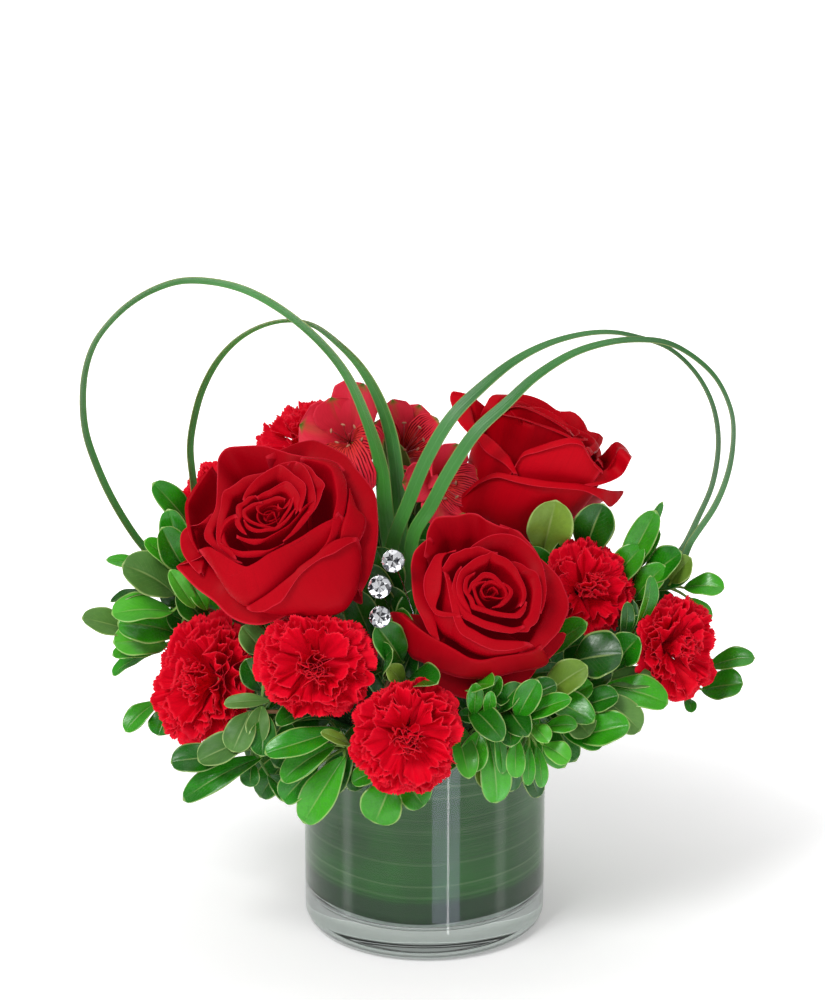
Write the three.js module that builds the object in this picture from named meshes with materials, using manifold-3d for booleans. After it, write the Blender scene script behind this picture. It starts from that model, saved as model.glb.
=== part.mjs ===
// Carnations and roses in a glass vase: a low clear cylinder lined with one broad
// leaf, a cylinder of flower foam inside it, and the cut stems, blades, sprigs and
// gem-headed pins that stand in the foam. Millimetres, +Z up, the origin at the
// centre of the vase's underside, and the front of the arrangement towards -Y.
import * as THREE from 'three';
import { mergeVertices } from 'three/addons/utils/BufferGeometryUtils.js';
import Module from 'manifold-3d';

const wasm = await Module();
wasm.setup();
const { Manifold, Mesh } = wasm;

// ---------------------------------------------------------------- dimensions
const VASE_RADIUS = 63.5;         // outside of the glass
const VASE_HEIGHT = 127;
const WALL = 4;                   // glass wall
const BASE_THICKNESS = 16;        // glass under the foam
const HEEL = 8;                   // rounding between wall and underside
const FOOT_RADIUS = 55.5;         // flat underside
const INNER_CORNER = 6;           // rounding inside, between wall and floor
const LINER_RADIUS = 59.05;       // outside of the wrapped leaf
const LINER_THICKNESS = 0.6;
const LINER_BOTTOM = 22;
const LINER_TOP = 124;
const LINER_LAP = 30;             // degrees by which the leaf laps itself
const FOAM_RADIUS = 56.6;
const FOAM_TOP = 150;
const GAP = 0.3;                  // clearance kept between neighbouring pieces
const BLADE_WIDTH = [9.6, 9.0, 8.2, 7.2, 5.6, 4.0];   // along a grass blade
const BLADE_THICKNESS = 0.9;
const LEAF_THICKNESS = 1.0;

// ------------------------------------------------------------ where things are
// Blades: centre-line points and the width seen from the front at each.
const BLADES = {
  grass_blade_1: [
    [-15, 8, 128, 6], [-16, 6, 150, 7.5], [-16.8, 4.5, 180, 9], [-17.7, 4, 205.5, 9.3], [-20.1, 5, 224, 8.3],
    [-22.4, 6, 248.7, 6.7], [-29.4, 6, 273.5, 5.4], [-39.8, 5, 298.4, 4.3], [-53.7, 4, 317, 4.1], [-73.3, 3, 334.3, 4.1],
    [-91.7, 2, 344.8, 3.8], [-109, 1, 349.3, 3.5], [-124, 0, 349.6, 3.3], [-137.9, -1, 345.1, 3], [-149.6, -2, 338.1, 2.8],
    [-159.6, -3, 328.8, 2.3], [-167.4, -4, 318.2, 2], [-172.2, -5, 305.1, 2.3], [-174.1, -6, 289.6, 2.8], [-173, -7, 271.5, 3.1],
    [-167.6, -8, 253.4, 3.3], [-159.8, -9, 235.2, 3.6], [-148.5, -8, 214.8, 3.6], [-140.7, -6, 204.1, 3.6], [-130, -2, 190, 3.6],
    [-112, 2, 174, 3.6], [-88, 4, 159, 3.6], [-64, 4, 149.5, 3.4], [-50, 4, 144, 3.2], [-41, 4, 138, 3],
  ],
  grass_blade_2: [
    [-12, 16, 128, 6], [-12, 15, 150, 7.5], [-13, 14, 180, 8.5], [-13.4, 14, 204.7, 8.8], [-12.9, 16, 220.5, 8.8],
    [-14.2, 18, 238.5, 7.8], [-17.7, 19, 263.1, 6.7], [-24.8, 19, 284.2, 5.7], [-34.1, 18, 300.5, 4.1], [-45.8, 17, 313.1, 2.8],
    [-55.1, 16, 320.7, 2], [-62.1, 15, 323.7, 1.5], [-71.4, 14, 324.7, 1.5], [-83.1, 13, 322.3, 2], [-94.9, 11, 316.2, 2.5],
    [-105.4, 9, 305.7, 3.1], [-113.8, 6, 290.7, 3.1], [-118.5, 2, 274.8, 3.1], [-120.3, -2, 261.2, 3.1], [-118.6, -6, 242.8, 3.3],
    [-117, -6, 224, 3.4], [-108, -2, 205, 3.4], [-92, 6, 187, 3.4], [-72, 14, 170, 3.4], [-57, 18, 156, 3.2],
    [-48, 19, 147, 3], [-40, 19, 138, 3],
  ],
  grass_blade_3: [
    [-15, -2, 128, 6], [-15, -3, 150, 7.5], [-16.5, -8, 180, 9], [-17.4, -12, 209.1, 9.2], [-8.2, -9, 235.2, 10.2],
    [1.8, -5, 258.6, 9.4], [14.1, -1, 278.1, 8.7], [28.9, 3, 292.3, 6.6], [46.2, 7, 305.3, 5.1], [63.5, 10, 313.5, 4.1],
    [82.1, 12, 318, 3.1], [95.7, 13, 318.4, 2.8], [106.9, 14, 316.1, 2.8], [124.5, 15, 309.4, 2.8], [138.4, 15, 296.4, 3.1],
    [147.5, 15, 279.5, 3.6], [151, 14, 260.1, 3.9], [148.4, 13, 236.8, 3.9], [141.3, 12, 218.6, 3.9], [134, 10, 203.4, 3.9],
    [127, 18, 192, 4], [108, 23, 176, 4], [84, 24, 161, 4], [64, 21, 152, 3.6], [51, 18, 145, 3.4],
    [42, 16, 138, 3],
  ],
  grass_blade_4: [
    [-5, -10, 128, 6], [-5.5, -11, 150, 7.5], [-6, -14, 180, 9], [-6.1, -16, 218.1, 8.7], [3, -14, 234.2, 9.2],
    [12.9, -11, 252.7, 9.2], [26.4, -8, 272.5, 8.1], [41.1, -5, 285.8, 6.9], [55.8, -2, 299.1, 5.6], [75.6, 1, 311, 4.8],
    [94, 2, 316.5, 4.3], [110, 3, 317.5, 3.8], [123.6, 3, 315.6, 3.6], [137.3, 3, 307.8, 3.3], [148.7, 3, 296.2, 3.3],
    [156.6, 3, 278.1, 3.3], [157.6, 3, 261.2, 3.6], [154.9, 2, 244.5, 4.1], [149, 1, 229, 4.6], [136.9, 0, 209.5, 4.6],
    [131, 7, 192, 4.4], [112, 12, 174, 4.2], [90, 13, 162, 4], [68, 10, 153, 3.6], [52, 7, 147, 3.4],
    [44, 5, 141, 3],
  ],
};

const HEADS = {
  rose_left: { c: [-73.4, -50, 231.2], axis: [-0.08, -0.802, 0.592], R: 50 },
  rose_front: { c: [28.5, -60, 199.1], axis: [0.13, -0.883, 0.451], R: 43 },
  rose_rear: { c: [60.5, 45, 240.4], axis: [0.422, 0.05, 0.905], R: 43, deep: 1.5 },
  carnation_left: { c: [-115.1, -40, 149], axis: [-0.622, -0.723, 0.301], R: 37 },
  carnation_centre: { c: [-55, -84, 174.5], axis: [-0.05, -0.947, 0.319], R: 33 },
  carnation_low: { c: [-9.1, -98, 141], axis: [0, -0.984, 0.181], R: 32 },
  carnation_right: { c: [83.8, -15, 189.9], axis: [0.28, -0.82, 0.5], R: 29 },
  carnation_far_right: { c: [130.7, -24, 160.4], axis: [0.6, -0.769, 0.22], R: 30 },
  carnation_rear_left: { c: [-107.8, 18, 230.8], axis: [-0.55, -0.3, 0.78], R: 28 },
  carnation_rear: { c: [-64.7, 62, 249.2], axis: [-0.3, -0.25, 0.921], R: 28 },
  alstroemeria_left: { c: [-41.6, 38, 253.7], axis: [-0.249, -0.798, 0.549], R: 30 },
  alstroemeria_middle: { c: [-1.9, 52, 251.4], axis: [0.1, -0.752, 0.652], R: 26 },
  alstroemeria_right: { c: [16.3, 26, 229.2], axis: [0.251, -0.902, 0.351], R: 24 },
};

const STEMS = {
  rose_left_stem: { r: 3, pts: [[-71, -25.9, 213.4], [-69.4, -9.9, 201.6], [-31, -20, 147], [-27, -16, 116]] },
  rose_front_stem: { r: 3, pts: [[25, -36.2, 186.9], [22.9, -22, 179.7], [18, -20, 149], [17, -17, 116]] },
  rose_rear_stem: { r: 3, pts: [[43.6, 43, 204.2], [39.4, 42.5, 195.1], [24, 30, 149], [21, 25, 116]] },
  carnation_left_stem: { r: 2.2, pts: [[-102.7, -25.5, 143], [-95.2, -16.9, 139.4], [-54, -14, 139], [-32, -8, 130]] },
  carnation_centre_stem: { r: 2.2, pts: [[-54.1, -67, 168.8], [-53.5, -55.6, 164.9], [-30, -42, 141], [-22, -30, 124]] },
  carnation_low_stem: { r: 2.2, pts: [[-9.1, -80.3, 137.7], [-9.1, -70.4, 135.9], [-8, -54, 138], [-6, -32, 129]] },
  carnation_right_stem: { r: 2.2, pts: [[79, -1.1, 181.4], [75.1, 10.4, 174.4], [35, -8, 148], [27, -11, 123]] },
  carnation_far_right_stem: { r: 2.2, pts: [[119.9, -10.2, 156.4], [111.5, 0.6, 153.4], [56, -7, 137], [40, -4, 132]] },
  carnation_rear_left_stem: { r: 2.2, pts: [[-99, 22.8, 218.3], [-91.3, 27, 207.4], [-32, 8, 148], [-27, 7, 122]] },
  carnation_rear_stem: { r: 2.2, pts: [[-59.9, 66, 234.5], [-55.7, 69.5, 221.6], [-24, 34, 148], [-20, 29, 122]] },
};

const GEMS = {
  gem_upper: { c: [-16.1, -70, 224.6], r: 5.6, entry: [2, -28, 150], inner: [2, -24, 130] },
  gem_middle: { c: [-22.8, -74, 212.3], r: 5.7, entry: [-10, -27, 150], inner: [-9, -24, 130] },
  gem_lower: { c: [-22.6, -80, 198.6], r: 5.3, entry: [-18, -33, 148], inner: [-16, -28, 128] },
};

const SPRIGS = {
  foliage_left_upper: { r: 1.4, hubs: 2, pts: [[-36, -1, 136], [-48, -2, 141], [-80, -4, 160], [-127, -15, 188.8], [-119.7, -12, 203]], leaves: [
    [[-116.6, -8, 215.3], [-137.2, -20, 248.6], 15, 10, 'top', 1],
    [[-121.6, -14, 201.6], [-130.5, -26, 235.6], 15, -10, 'top', 1],
    [[-122.3, -20, 201.6], [-132.7, -34, 228.8], 16.2, 0, 'top', 1],
    [[-125.7, -16, 199], [-142, -26, 220], 11.2, 10, 'top', 1],
    [[-135.9, -17, 196.1], [-162.4, -22, 208.8], 8.8, 20, 'top', 0],
  ] },
  foliage_left_middle: { r: 1.3, hubs: 1, pts: [[-38, -18, 134], [-50, -24, 140], [-76, -18, 160], [-120.6, -20, 185.2]], leaves: [
    [[-128.6, -22, 189.2], [-152.9, -34, 209.9], 22.5, 0, 'under', 0],
    [[-121.8, -26, 185.3], [-126.3, -38, 207.6], 13.8, 0, 'top', 0],
    [[-113.7, -24, 185.6], [-119.8, -30, 198.2], 7.5, 0, 'top', 0],
    [[-138.5, -19, 189.2], [-161.4, -23, 186.3], 8.8, 30, 'dark', 0],
    [[-130.7, -24, 183.4], [-159.6, -34, 187.2], 15, 15, 'top', 0],
  ] },
  foliage_left_outer: { r: 1.3, hubs: 1, pts: [[-41, -5, 125], [-53, -6, 129], [-82, -1, 136], [-129.7, 3, 154.4]], leaves: [
    [[-134.9, -4, 160.9], [-161.2, -16, 172.7], 14.8, 0, 'top', 0],
    [[-135.2, -2, 153.5], [-161.2, -14, 159.2], 14.8, 10, 'top', 0],
    [[-150.8, 0, 160], [-176.5, -12, 172.9], 14.8, 0, 'under', 0],
    [[-143.4, 2, 146.4], [-162.8, -6, 138.9], 9.9, 20, 'top', 0],
  ] },
  foliage_left_lower: { r: 1.2, hubs: 1, pts: [[-37, -18, 127], [-49, -24, 132], [-84, -8, 130], [-127, -2, 115.9]], leaves: [
    [[-139.3, -5, 122.8], [-156, -16, 111], 11.7, 0, 'top', 0],
    [[-134, -7, 120.2], [-138.8, -18, 109.5], 14.3, 0, 'top', 0],
  ] },
  foliage_left_front: { r: 1.3, hubs: 2, pts: [[-28, -28, 130], [-40, -40, 137], [-62, -62, 140], [-84.7, -62, 138.7], [-87.8, -66, 122.3]], leaves: [
    [[-88.7, -62, 146.9], [-101.1, -66, 146.3], 7.5, 0, 'top', 0],
    [[-80.4, -68, 146], [-70.4, -82, 138.2], 10, 0, 'olive', 0],
    [[-100.1, -66, 115.7], [-129.2, -72, 117.1], 11.2, 0, 'top', 1],
    [[-87.6, -70, 129.4], [-114.5, -80, 121.6], 16.2, 0, 'under', 1],
    [[-88.4, -70, 143.6], [-95.6, -84, 128.1], 15, 0, 'olive', 0],
    [[-81.3, -72, 143.3], [-84.5, -86, 126.3], 11.2, 0, 'olive', 0],
    [[-82.8, -66, 117.3], [-123.4, -74, 97.6], 13.8, 0, 'top', 1],
    [[-88, -64, 113.7], [-89, -70, 102.5], 10, 0, 'dark', 1],
    [[-80, -64, 106.6], [-65.7, -70, 95.3], 11.2, 0, 'dark', 1],
  ] },
  foliage_front_left: { r: 1.3, hubs: 1, pts: [[-14, -42, 130], [-18, -54, 134], [-26, -66, 133], [-40, -72, 124.8]], leaves: [
    [[-42.8, -80, 137.9], [-80.1, -94, 131.8], 14.4, 0, 'top', 0],
    [[-45.4, -80, 129.7], [-72.4, -90, 114.9], 14.4, 0, 'top', 0],
    [[-54.2, -73, 115.9], [-72.6, -76, 97.4], 15.6, 0, 'top', 0],
    [[-40.4, -78, 122.9], [-62.2, -86, 89.6], 18, 0, 'top', 0],
    [[-43, -74, 130], [-58, -78, 130.5], 9.6, 0, 'dark', 0],
    [[-37.8, -86, 132.2], [-51.5, -96, 143.4], 6.5, 0, 'olive', 0],
    [[-39.5, -74, 116.3], [-33, -78, 104.3], 10.8, 0, 'dark', 0],
  ] },
  foliage_centre: { r: 1.2, hubs: 1, pts: [[-16, -36, 132], [-22, -50, 140], [-18, -58, 158], [-14.7, -62, 167.5]], leaves: [
    [[-12.7, -66, 170.2], [-22.6, -80, 193.8], 15.6, 0, 'dark', 0],
    [[-12.2, -74, 159.3], [-18.1, -84, 173.4], 10.8, 0, 'olive', 0],
    [[-26.8, -70, 163.1], [-37.2, -76, 161.7], 8.4, 0, 'top', 0],
  ] },
  foliage_front_low: { r: 1.2, hubs: 1, pts: [[-2, -42, 127], [-2, -54, 131], [-2, -66, 130], [-13.7, -74, 112.5]], leaves: [
    [[-16.3, -78, 110.9], [-25.9, -84, 88.7], 21.6, 0, 'top', 0],
    [[-11.7, -78, 109.8], [-0.6, -84, 98.1], 16.8, 0, 'top', 0],
    [[-22.8, -76, 113.3], [-37, -80, 109.5], 10.8, 0, 'top', 0],
  ] },
  foliage_front_right: { r: 1.3, hubs: 1, pts: [[11, -41, 130], [14, -53, 136], [24, -64, 143], [29.2, -72, 140]], leaves: [
    [[24.6, -74, 143.6], [25.4, -80, 162.7], 8.4, 0, 'top', 0],
    [[30.2, -70, 148.5], [37.5, -74, 164.1], 9.6, 0, 'top', 0],
    [[29.2, -68, 140.6], [17, -72, 142.2], 8.4, 0, 'dark', 0],
    [[31.1, -76, 144.9], [32.8, -84, 160], 6.5, 0, 'top', 0],
    [[35.6, -76, 138.4], [39.2, -82, 114.8], 6.5, 0, 'top', 0],
    [[31.2, -74, 134.3], [36.4, -80, 97.5], 15.6, 0, 'top', 0],
    [[27.6, -74, 135.4], [22.1, -82, 115.9], 14.4, 0, 'top', 0],
    [[18.6, -72, 128], [7.5, -78, 116.3], 12, 0, 'dark', 0],
    [[25.7, -72, 119.3], [33.9, -76, 104.5], 10.8, 0, 'olive', 0],
  ] },
  foliage_right_front: { r: 1.3, hubs: 2, pts: [[21, -36, 130], [28, -48, 136], [46, -62, 143], [43.8, -72, 137.9], [51.9, -72, 134.6]], leaves: [
    [[36.7, -72, 144.4], [47.5, -78, 161.9], 10.8, 0, 'dark', 0],
    [[46.2, -76, 142.8], [55.8, -84, 165.9], 13.2, 0, 'top', 0],
    [[48.8, -74, 140.9], [72.4, -84, 156.8], 10.8, 0, 'top', 0],
    [[60.5, -72, 135.7], [76.3, -78, 139.8], 9.6, 0, 'top', 1],
    [[53.8, -74, 137.6], [61.6, -86, 133.9], 9.6, 0, 'lime', 1],
    [[59.4, -76, 128.1], [72.3, -84, 122.7], 12, 0, 'lime', 1],
    [[56, -74, 127.2], [59, -80, 106.2], 7.2, 0, 'top', 1],
    [[52.3, -78, 128.9], [51.8, -84, 109.1], 6.5, 0, 'top', 1],
    [[46.2, -78, 133.3], [45.7, -86, 114.3], 9.6, 0, 'top', 0],
    [[48, -70, 122.8], [57.8, -74, 98.2], 10.8, 0, 'dark', 1],
  ] },
  foliage_right_low: { r: 1.3, hubs: 1, pts: [[30, -28, 128], [40, -38, 134], [62, -46, 134], [69.7, -52, 139.5]], leaves: [
    [[60.9, -54, 146.9], [81.3, -60, 159.1], 10.8, 0, 'olive', 0],
    [[72.3, -50, 144.2], [85.8, -54, 149.1], 7.2, 0, 'top', 0],
    [[71.7, -56, 136.8], [83.5, -66, 129.4], 16.8, 0, 'under', 0],
    [[81, -52, 139], [97.8, -58, 147.4], 9.6, 0, 'dark', 0],
    [[74.8, -58, 126.6], [102.6, -68, 134], 14.4, 0, 'top', 0],
    [[89.2, -50, 136.5], [109.9, -58, 128.3], 12, 0, 'olive', 0],
  ] },
  foliage_right_middle: { r: 1.3, hubs: 1, pts: [[38, -16, 131], [50, -22, 136], [66, -26, 148], [87.7, -34, 148.8]], leaves: [
    [[89.7, -38, 143.8], [123.9, -48, 140.7], 13.2, 0, 'dark', 0],
    [[75, -42, 159.7], [99.8, -52, 168.5], 26, 0, 'dark', 0],
    [[74, -42, 154.2], [53.3, -50, 156.3], 9.6, 0, 'dark', 0],
    [[92.9, -34, 144.4], [118.1, -40, 149], 9.6, 0, 'olive', 0],
  ] },
  foliage_rear_right_upper: { r: 1.2, hubs: 1, pts: [[31, 17, 136], [40, 22, 146], [56, 18, 170], [76.6, 14, 197]], leaves: [
    [[65.9, 8, 202.4], [65.7, -4, 232.9], 21.6, 0, 'under', 0],
    [[84.6, 8, 201.3], [92.6, 0, 229.9], 18, 0, 'dark', 0],
  ] },
  foliage_right_upper: { r: 1.3, hubs: 2, pts: [[38, 25, 130], [49, 32, 135], [80, 39, 154], [100, 35, 178], [104.1, 8, 183.6], [127, 0, 184.4]], leaves: [
    [[98.2, 8, 196.9], [123.1, 2, 229.7], 7.2, 60, 'top', 0],
    [[102.3, 5, 190.3], [118.1, -4, 227.5], 14.4, 0, 'top', 0],
    [[107.7, 8, 189.7], [120.3, 2, 215.5], 9.6, 0, 'top', 0],
    [[114.2, 3, 187.7], [131.1, -9, 207.4], 16.8, 0, 'top', 0],
    [[127.3, -2, 188.4], [136.3, -10, 204.5], 13.2, 0, 'olive', 1],
    [[134.3, 0, 184.4], [154.3, -8, 187.9], 13.2, 0, 'top', 1],
    [[136.8, 4, 177.4], [149.2, 0, 167.2], 7.2, 0, 'top', 1],
  ] },
  foliage_right_inner: { r: 1.2, hubs: 1, pts: [[41, -11, 126], [54, -14, 130], [78, -22, 142], [98.3, -24, 157]], leaves: [
    [[107.2, -26, 171], [115.4, -33, 202.5], 9.6, 40, 'top', 0],
    [[102.2, -26, 165.5], [103.5, -32, 188.1], 7.2, 0, 'dark', 0],
    [[100.2, -28, 154.2], [108.6, -38, 171.2], 18, 0, 'top', 0],
  ] },
  foliage_right_outer: { r: 1.2, hubs: 1, pts: [[43, 3, 127], [56, 4, 131], [92, 2, 140], [138, 5, 128.9]], leaves: [
    [[148.2, 5, 137.9], [171.4, -3, 147.2], 12, 0, 'top', 0],
    [[145.3, 4, 125.9], [165.3, -6, 133.8], 18, 0, 'top', 0],
    [[136.9, 2, 122.2], [139.6, -6, 117.6], 6.5, 0, 'top', 0],
  ] },
  foliage_back_left_high: { r: 1.3, hubs: 1, pts: [[-33, 25, 135], [-42, 32, 141], [-69.5, 40.8, 161.6], [-92, 48, 182]], leaves: [
    [[-92.3, 51.3, 184.2], [-94.5, 80.3, 200.2], 16.6, 7, 'top', 0],
    [[-94.8, 46.5, 183.8], [-130.4, 33.4, 203.5], 16.8, -13, 'top', 0],
    [[-92.7, 50.5, 179.6], [-106.6, 79.7, 160.4], 17.6, 9, 'under', 0],
    [[-90.1, 47.7, 185.1], [-84.4, 54.4, 221.7], 15.8, 12, 'top', 0],
    [[-93.7, 45.3, 179.6], [-132.1, 29.9, 162.2], 18.8, -14, 'olive', 0],
    [[-88.2, 50, 180.5], [-68.9, 93.8, 173.2], 15.5, 1, 'top', 0],
  ] },
  foliage_back_left_low: { r: 1.3, hubs: 1, pts: [[-30, 27, 129], [-40, 36, 134], [-58.7, 48.1, 134.2], [-74, 58, 138]], leaves: [
    [[-74.2, 62, 138.6], [-76.2, 104.5, 144.5], 16.9, 8, 'top', 0],
    [[-77.6, 57.6, 138.7], [-117.7, 57.9, 143.5], 15.4, 0, 'top', 0],
    [[-73.1, 59.4, 134.9], [-71.7, 80.6, 101.8], 16.2, 10, 'under', 0],
    [[-73.5, 58.9, 141.5], [-81, 81.6, 174.4], 17.2, -7, 'top', 0],
    [[-75.4, 54.7, 136.1], [-109.6, 36.9, 108.7], 17.5, -4, 'olive', 0],
    [[-69.5, 58.8, 137.7], [-40.7, 94.3, 126], 16.4, 12, 'top', 0],
  ] },
  foliage_back_centre_high: { r: 1.3, hubs: 1, pts: [[-6, 40, 134], [-8, 52, 142], [-13.5, 74, 164.2], [-18, 92, 186]], leaves: [
    [[-15.8, 94.6, 188], [4.1, 118.3, 203.1], 16.4, -2, 'top', 0],
    [[-21.1, 93.1, 187.6], [-52.5, 110, 204.3], 16.4, -15, 'top', 0],
    [[-16.6, 94, 183.5], [-5.5, 121.5, 162.2], 16.9, 6, 'under', 0],
    [[-16.9, 90.7, 189.3], [-7.2, 94.4, 228.8], 14.6, -6, 'top', 0],
    [[-21.2, 91.2, 183.6], [-61.8, 108.5, 164.1], 19.1, 13, 'olive', 0],
    [[-13.9, 90.5, 184.6], [33.5, 107.2, 178.2], 18.5, -11, 'top', 0],
  ] },
  foliage_back_centre_low: { r: 1.3, hubs: 1, pts: [[6, 43, 128], [8, 55, 133], [6.9, 71, 134.8], [6, 84, 140]], leaves: [
    [[8.6, 87, 140.5], [33.2, 114.4, 143.3], 18, 0, 'top', 0],
    [[3.2, 86.2, 140.7], [-21.4, 111.1, 144.3], 16, -6, 'top', 0],
    [[7.6, 84.2, 136.9], [22.6, 96.7, 105.3], 16.6, 8, 'under', 0],
    [[6.9, 84.4, 143.5], [17.8, 107, 175.1], 16.6, 8, 'top', 0],
    [[2.7, 82.6, 138.2], [-37.7, 94.1, 106.8], 18.2, 13, 'olive', 0],
    [[9.8, 81.5, 139.8], [51.1, 85.7, 128.1], 15.7, -1, 'top', 0],
  ] },
  foliage_back_right_high: { r: 1.3, hubs: 1, pts: [[22, 35, 134], [30, 46, 141], [44.3, 64.7, 160.5], [56, 80, 180]], leaves: [
    [[59.4, 80.5, 182], [95.3, 85.2, 200.4], 15.1, 5, 'top', 0],
    [[54.5, 82.9, 181.7], [44.3, 111.8, 196.4], 18.4, -2, 'top', 0],
    [[58.4, 80.6, 177.5], [89.1, 95.2, 153.5], 18.4, 8, 'under', 0],
    [[55.9, 78.3, 183.3], [63.4, 75.3, 214.7], 16.7, -13, 'top', 0],
    [[53.1, 81.5, 177.6], [35, 121.3, 156.8], 18.4, 13, 'olive', 0],
    [[58, 76.2, 178.6], [97.7, 59.3, 173.8], 17.5, -11, 'top', 0],
  ] },
  foliage_back_right_low: { r: 1.3, hubs: 1, pts: [[30, 31, 127], [38, 40, 132], [53.4, 53.2, 133.3], [66, 64, 138]], leaves: [
    [[69.9, 64.4, 138.6], [105.6, 68.2, 141.7], 15.2, 8, 'top', 0],
    [[65.4, 67.5, 138.7], [63.4, 109.5, 145.5], 16.9, 9, 'top', 0],
    [[67.4, 63.1, 134.9], [92.1, 63, 97.7], 15.2, 11, 'under', 0],
    [[66.9, 63.6, 141.5], [90, 72.6, 176], 16.6, 7, 'top', 0],
    [[62.6, 65.2, 136.1], [41.2, 101.2, 107.3], 17.6, 9, 'olive', 0],
    [[67.1, 59.6, 137.7], [104.9, 32.3, 128.1], 14.5, -7, 'top', 0],
  ] },
};

// ------------------------------------------------------------------- helpers
const vec = (a) => new THREE.Vector3(a[0], a[1], a[2]);
const VIEW = new THREE.Vector3(0, Math.cos(0.3316), -Math.sin(0.3316));   // from the front, a little above

function toBody(geometry) {
  let g = geometry.index ? geometry.toNonIndexed() : geometry.clone();
  for (const key of Object.keys(g.attributes)) if (key !== 'position') g.deleteAttribute(key);
  g = mergeVertices(g, 1e-4);
  const src = g.index.array;
  const p = g.attributes.position;
  const tri = [];
  let volume = 0;
  const a = new THREE.Vector3(), b = new THREE.Vector3(), c = new THREE.Vector3();
  for (let i = 0; i < src.length; i += 3) {
    if (src[i] === src[i + 1] || src[i + 1] === src[i + 2] || src[i] === src[i + 2]) continue;
    tri.push(src[i], src[i + 1], src[i + 2]);
    a.fromBufferAttribute(p, src[i]); b.fromBufferAttribute(p, src[i + 1]); c.fromBufferAttribute(p, src[i + 2]);
    volume += a.dot(b.cross(c));
  }
  if (volume < 0) for (let i = 0; i < tri.length; i += 3) { const t = tri[i]; tri[i] = tri[i + 1]; tri[i + 1] = t; }
  return new Manifold(new Mesh({ numProp: 3, vertProperties: Float32Array.from(p.array), triVerts: Uint32Array.from(tri) }));
}

function toGeometry(manifold) {
  const m = manifold.getMesh();
  const g = new THREE.BufferGeometry();
  const pos = new Float32Array(m.numVert * 3);
  for (let i = 0; i < m.numVert; i++) for (let k = 0; k < 3; k++) pos[3 * i + k] = m.vertProperties[i * m.numProp + k];
  g.setAttribute('position', new THREE.BufferAttribute(pos, 3));
  g.setIndex(new THREE.BufferAttribute(Uint32Array.from(m.triVerts), 1));
  g.computeVertexNormals();
  return g;
}

function join(list) {
  let out = list[0];
  for (let i = 1; i < list.length; i++) out = Manifold.union(out, list[i]);
  return out;
}

function largest(manifold) {
  const parts = manifold.decompose();
  let best = parts[0];
  for (const q of parts) if (q.volume() > best.volume()) best = q;
  return best;
}

// A smooth line through points, cut into equal lengths.
function line(points, count) {
  const curve = new THREE.CatmullRomCurve3(points.map((q) => (q.isVector3 ? q : vec(q))), false, 'centripetal');
  return curve.getSpacedPoints(count);
}

function tangents(pts) {
  return pts.map((q, i) => pts[Math.min(i + 1, pts.length - 1)].clone().sub(pts[Math.max(i - 1, 0)]).normalize());
}

// A flat strip: a box bent along pts, half[i] wide each way along side[i], with a
// crease down its middle that lifts its edges by lift[i].
function strip(pts, side, half, thickness, lift, across = 2, grow = 0) {
  const n = pts.length - 1;
  const g = new THREE.BoxGeometry(1, 1, 1, across, 1, n);
  const p = g.attributes.position;
  const t = tangents(pts);
  for (let i = 0; i < p.count; i++) {
    const k = Math.round((p.getZ(i) + 0.5) * n);
    const w = side[k].clone().addScaledVector(t[k], -side[k].dot(t[k])).normalize();
    const up = t[k].clone().cross(w);
    const x = 2 * p.getX(i);
    const y = 2 * p.getY(i);
    const q = pts[k].clone();
    if (grow > 0 && k === 0) q.addScaledVector(t[k], -grow);
    if (grow > 0 && k === n) q.addScaledVector(t[k], grow);
    q.addScaledVector(w, x * (half[k] + grow));
    q.addScaledVector(up, y * (thickness / 2 + grow) + Math.abs(x) * lift[k]);
    p.setXYZ(i, q.x, q.y, q.z);
  }
  return toBody(g);
}

// A round stem through pts, its radius going from r0 to r1.
function stemBody(pts, r0, r1, sides = 6, grow = 0) {
  const n = pts.length - 1;
  const g = new THREE.CylinderGeometry(1, 1, 1, sides, n);
  const p = g.attributes.position;
  const t = tangents(pts);
  let u = new THREE.Vector3(1, 0, 0);
  if (Math.abs(t[0].x) > 0.8) u.set(0, 1, 0);
  const U = [];
  for (let k = 0; k <= n; k++) { u = u.clone().addScaledVector(t[k], -u.dot(t[k])).normalize(); U.push(u); }
  for (let i = 0; i < p.count; i++) {
    const k = Math.round((p.getY(i) + 0.5) * n);
    const r = r0 + ((r1 - r0) * k) / n + grow;
    const v = U[k].clone().cross(t[k]);
    const q = pts[k].clone();
    if (grow > 0 && k === 0) q.addScaledVector(t[k], -grow);
    if (grow > 0 && k === n) q.addScaledVector(t[k], grow);
    q.addScaledVector(U[k], p.getX(i) * r).addScaledVector(v, p.getZ(i) * r);
    p.setXYZ(i, q.x, q.y, q.z);
  }
  return toBody(g);
}

// Axes of a flower head that opens along its axis.
function headFrame(h) {
  const z = vec(h.axis).normalize();
  const x = new THREE.Vector3(0, 0, 1).cross(z).normalize();
  const y = z.clone().cross(x);
  return { c: vec(h.c), x, y, z };
}
const place = (f, r, a, z) => f.c.clone().addScaledVector(f.x, r * Math.cos(a)).addScaledVector(f.y, r * Math.sin(a)).addScaledVector(f.z, z);

function turned(profile, segments, frame) {
  const g = new THREE.LatheGeometry(profile.map((q) => new THREE.Vector2(q[0], q[1])), segments);
  const p = g.attributes.position;
  for (let i = 0; i < p.count; i++) {
    const q = frame
      ? frame.c.clone().addScaledVector(frame.x, p.getX(i)).addScaledVector(frame.y, p.getZ(i)).addScaledVector(frame.z, p.getY(i))
      : new THREE.Vector3(p.getX(i), p.getZ(i), p.getY(i));
    p.setXYZ(i, q.x, q.y, q.z);
  }
  return toBody(g);
}

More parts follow.
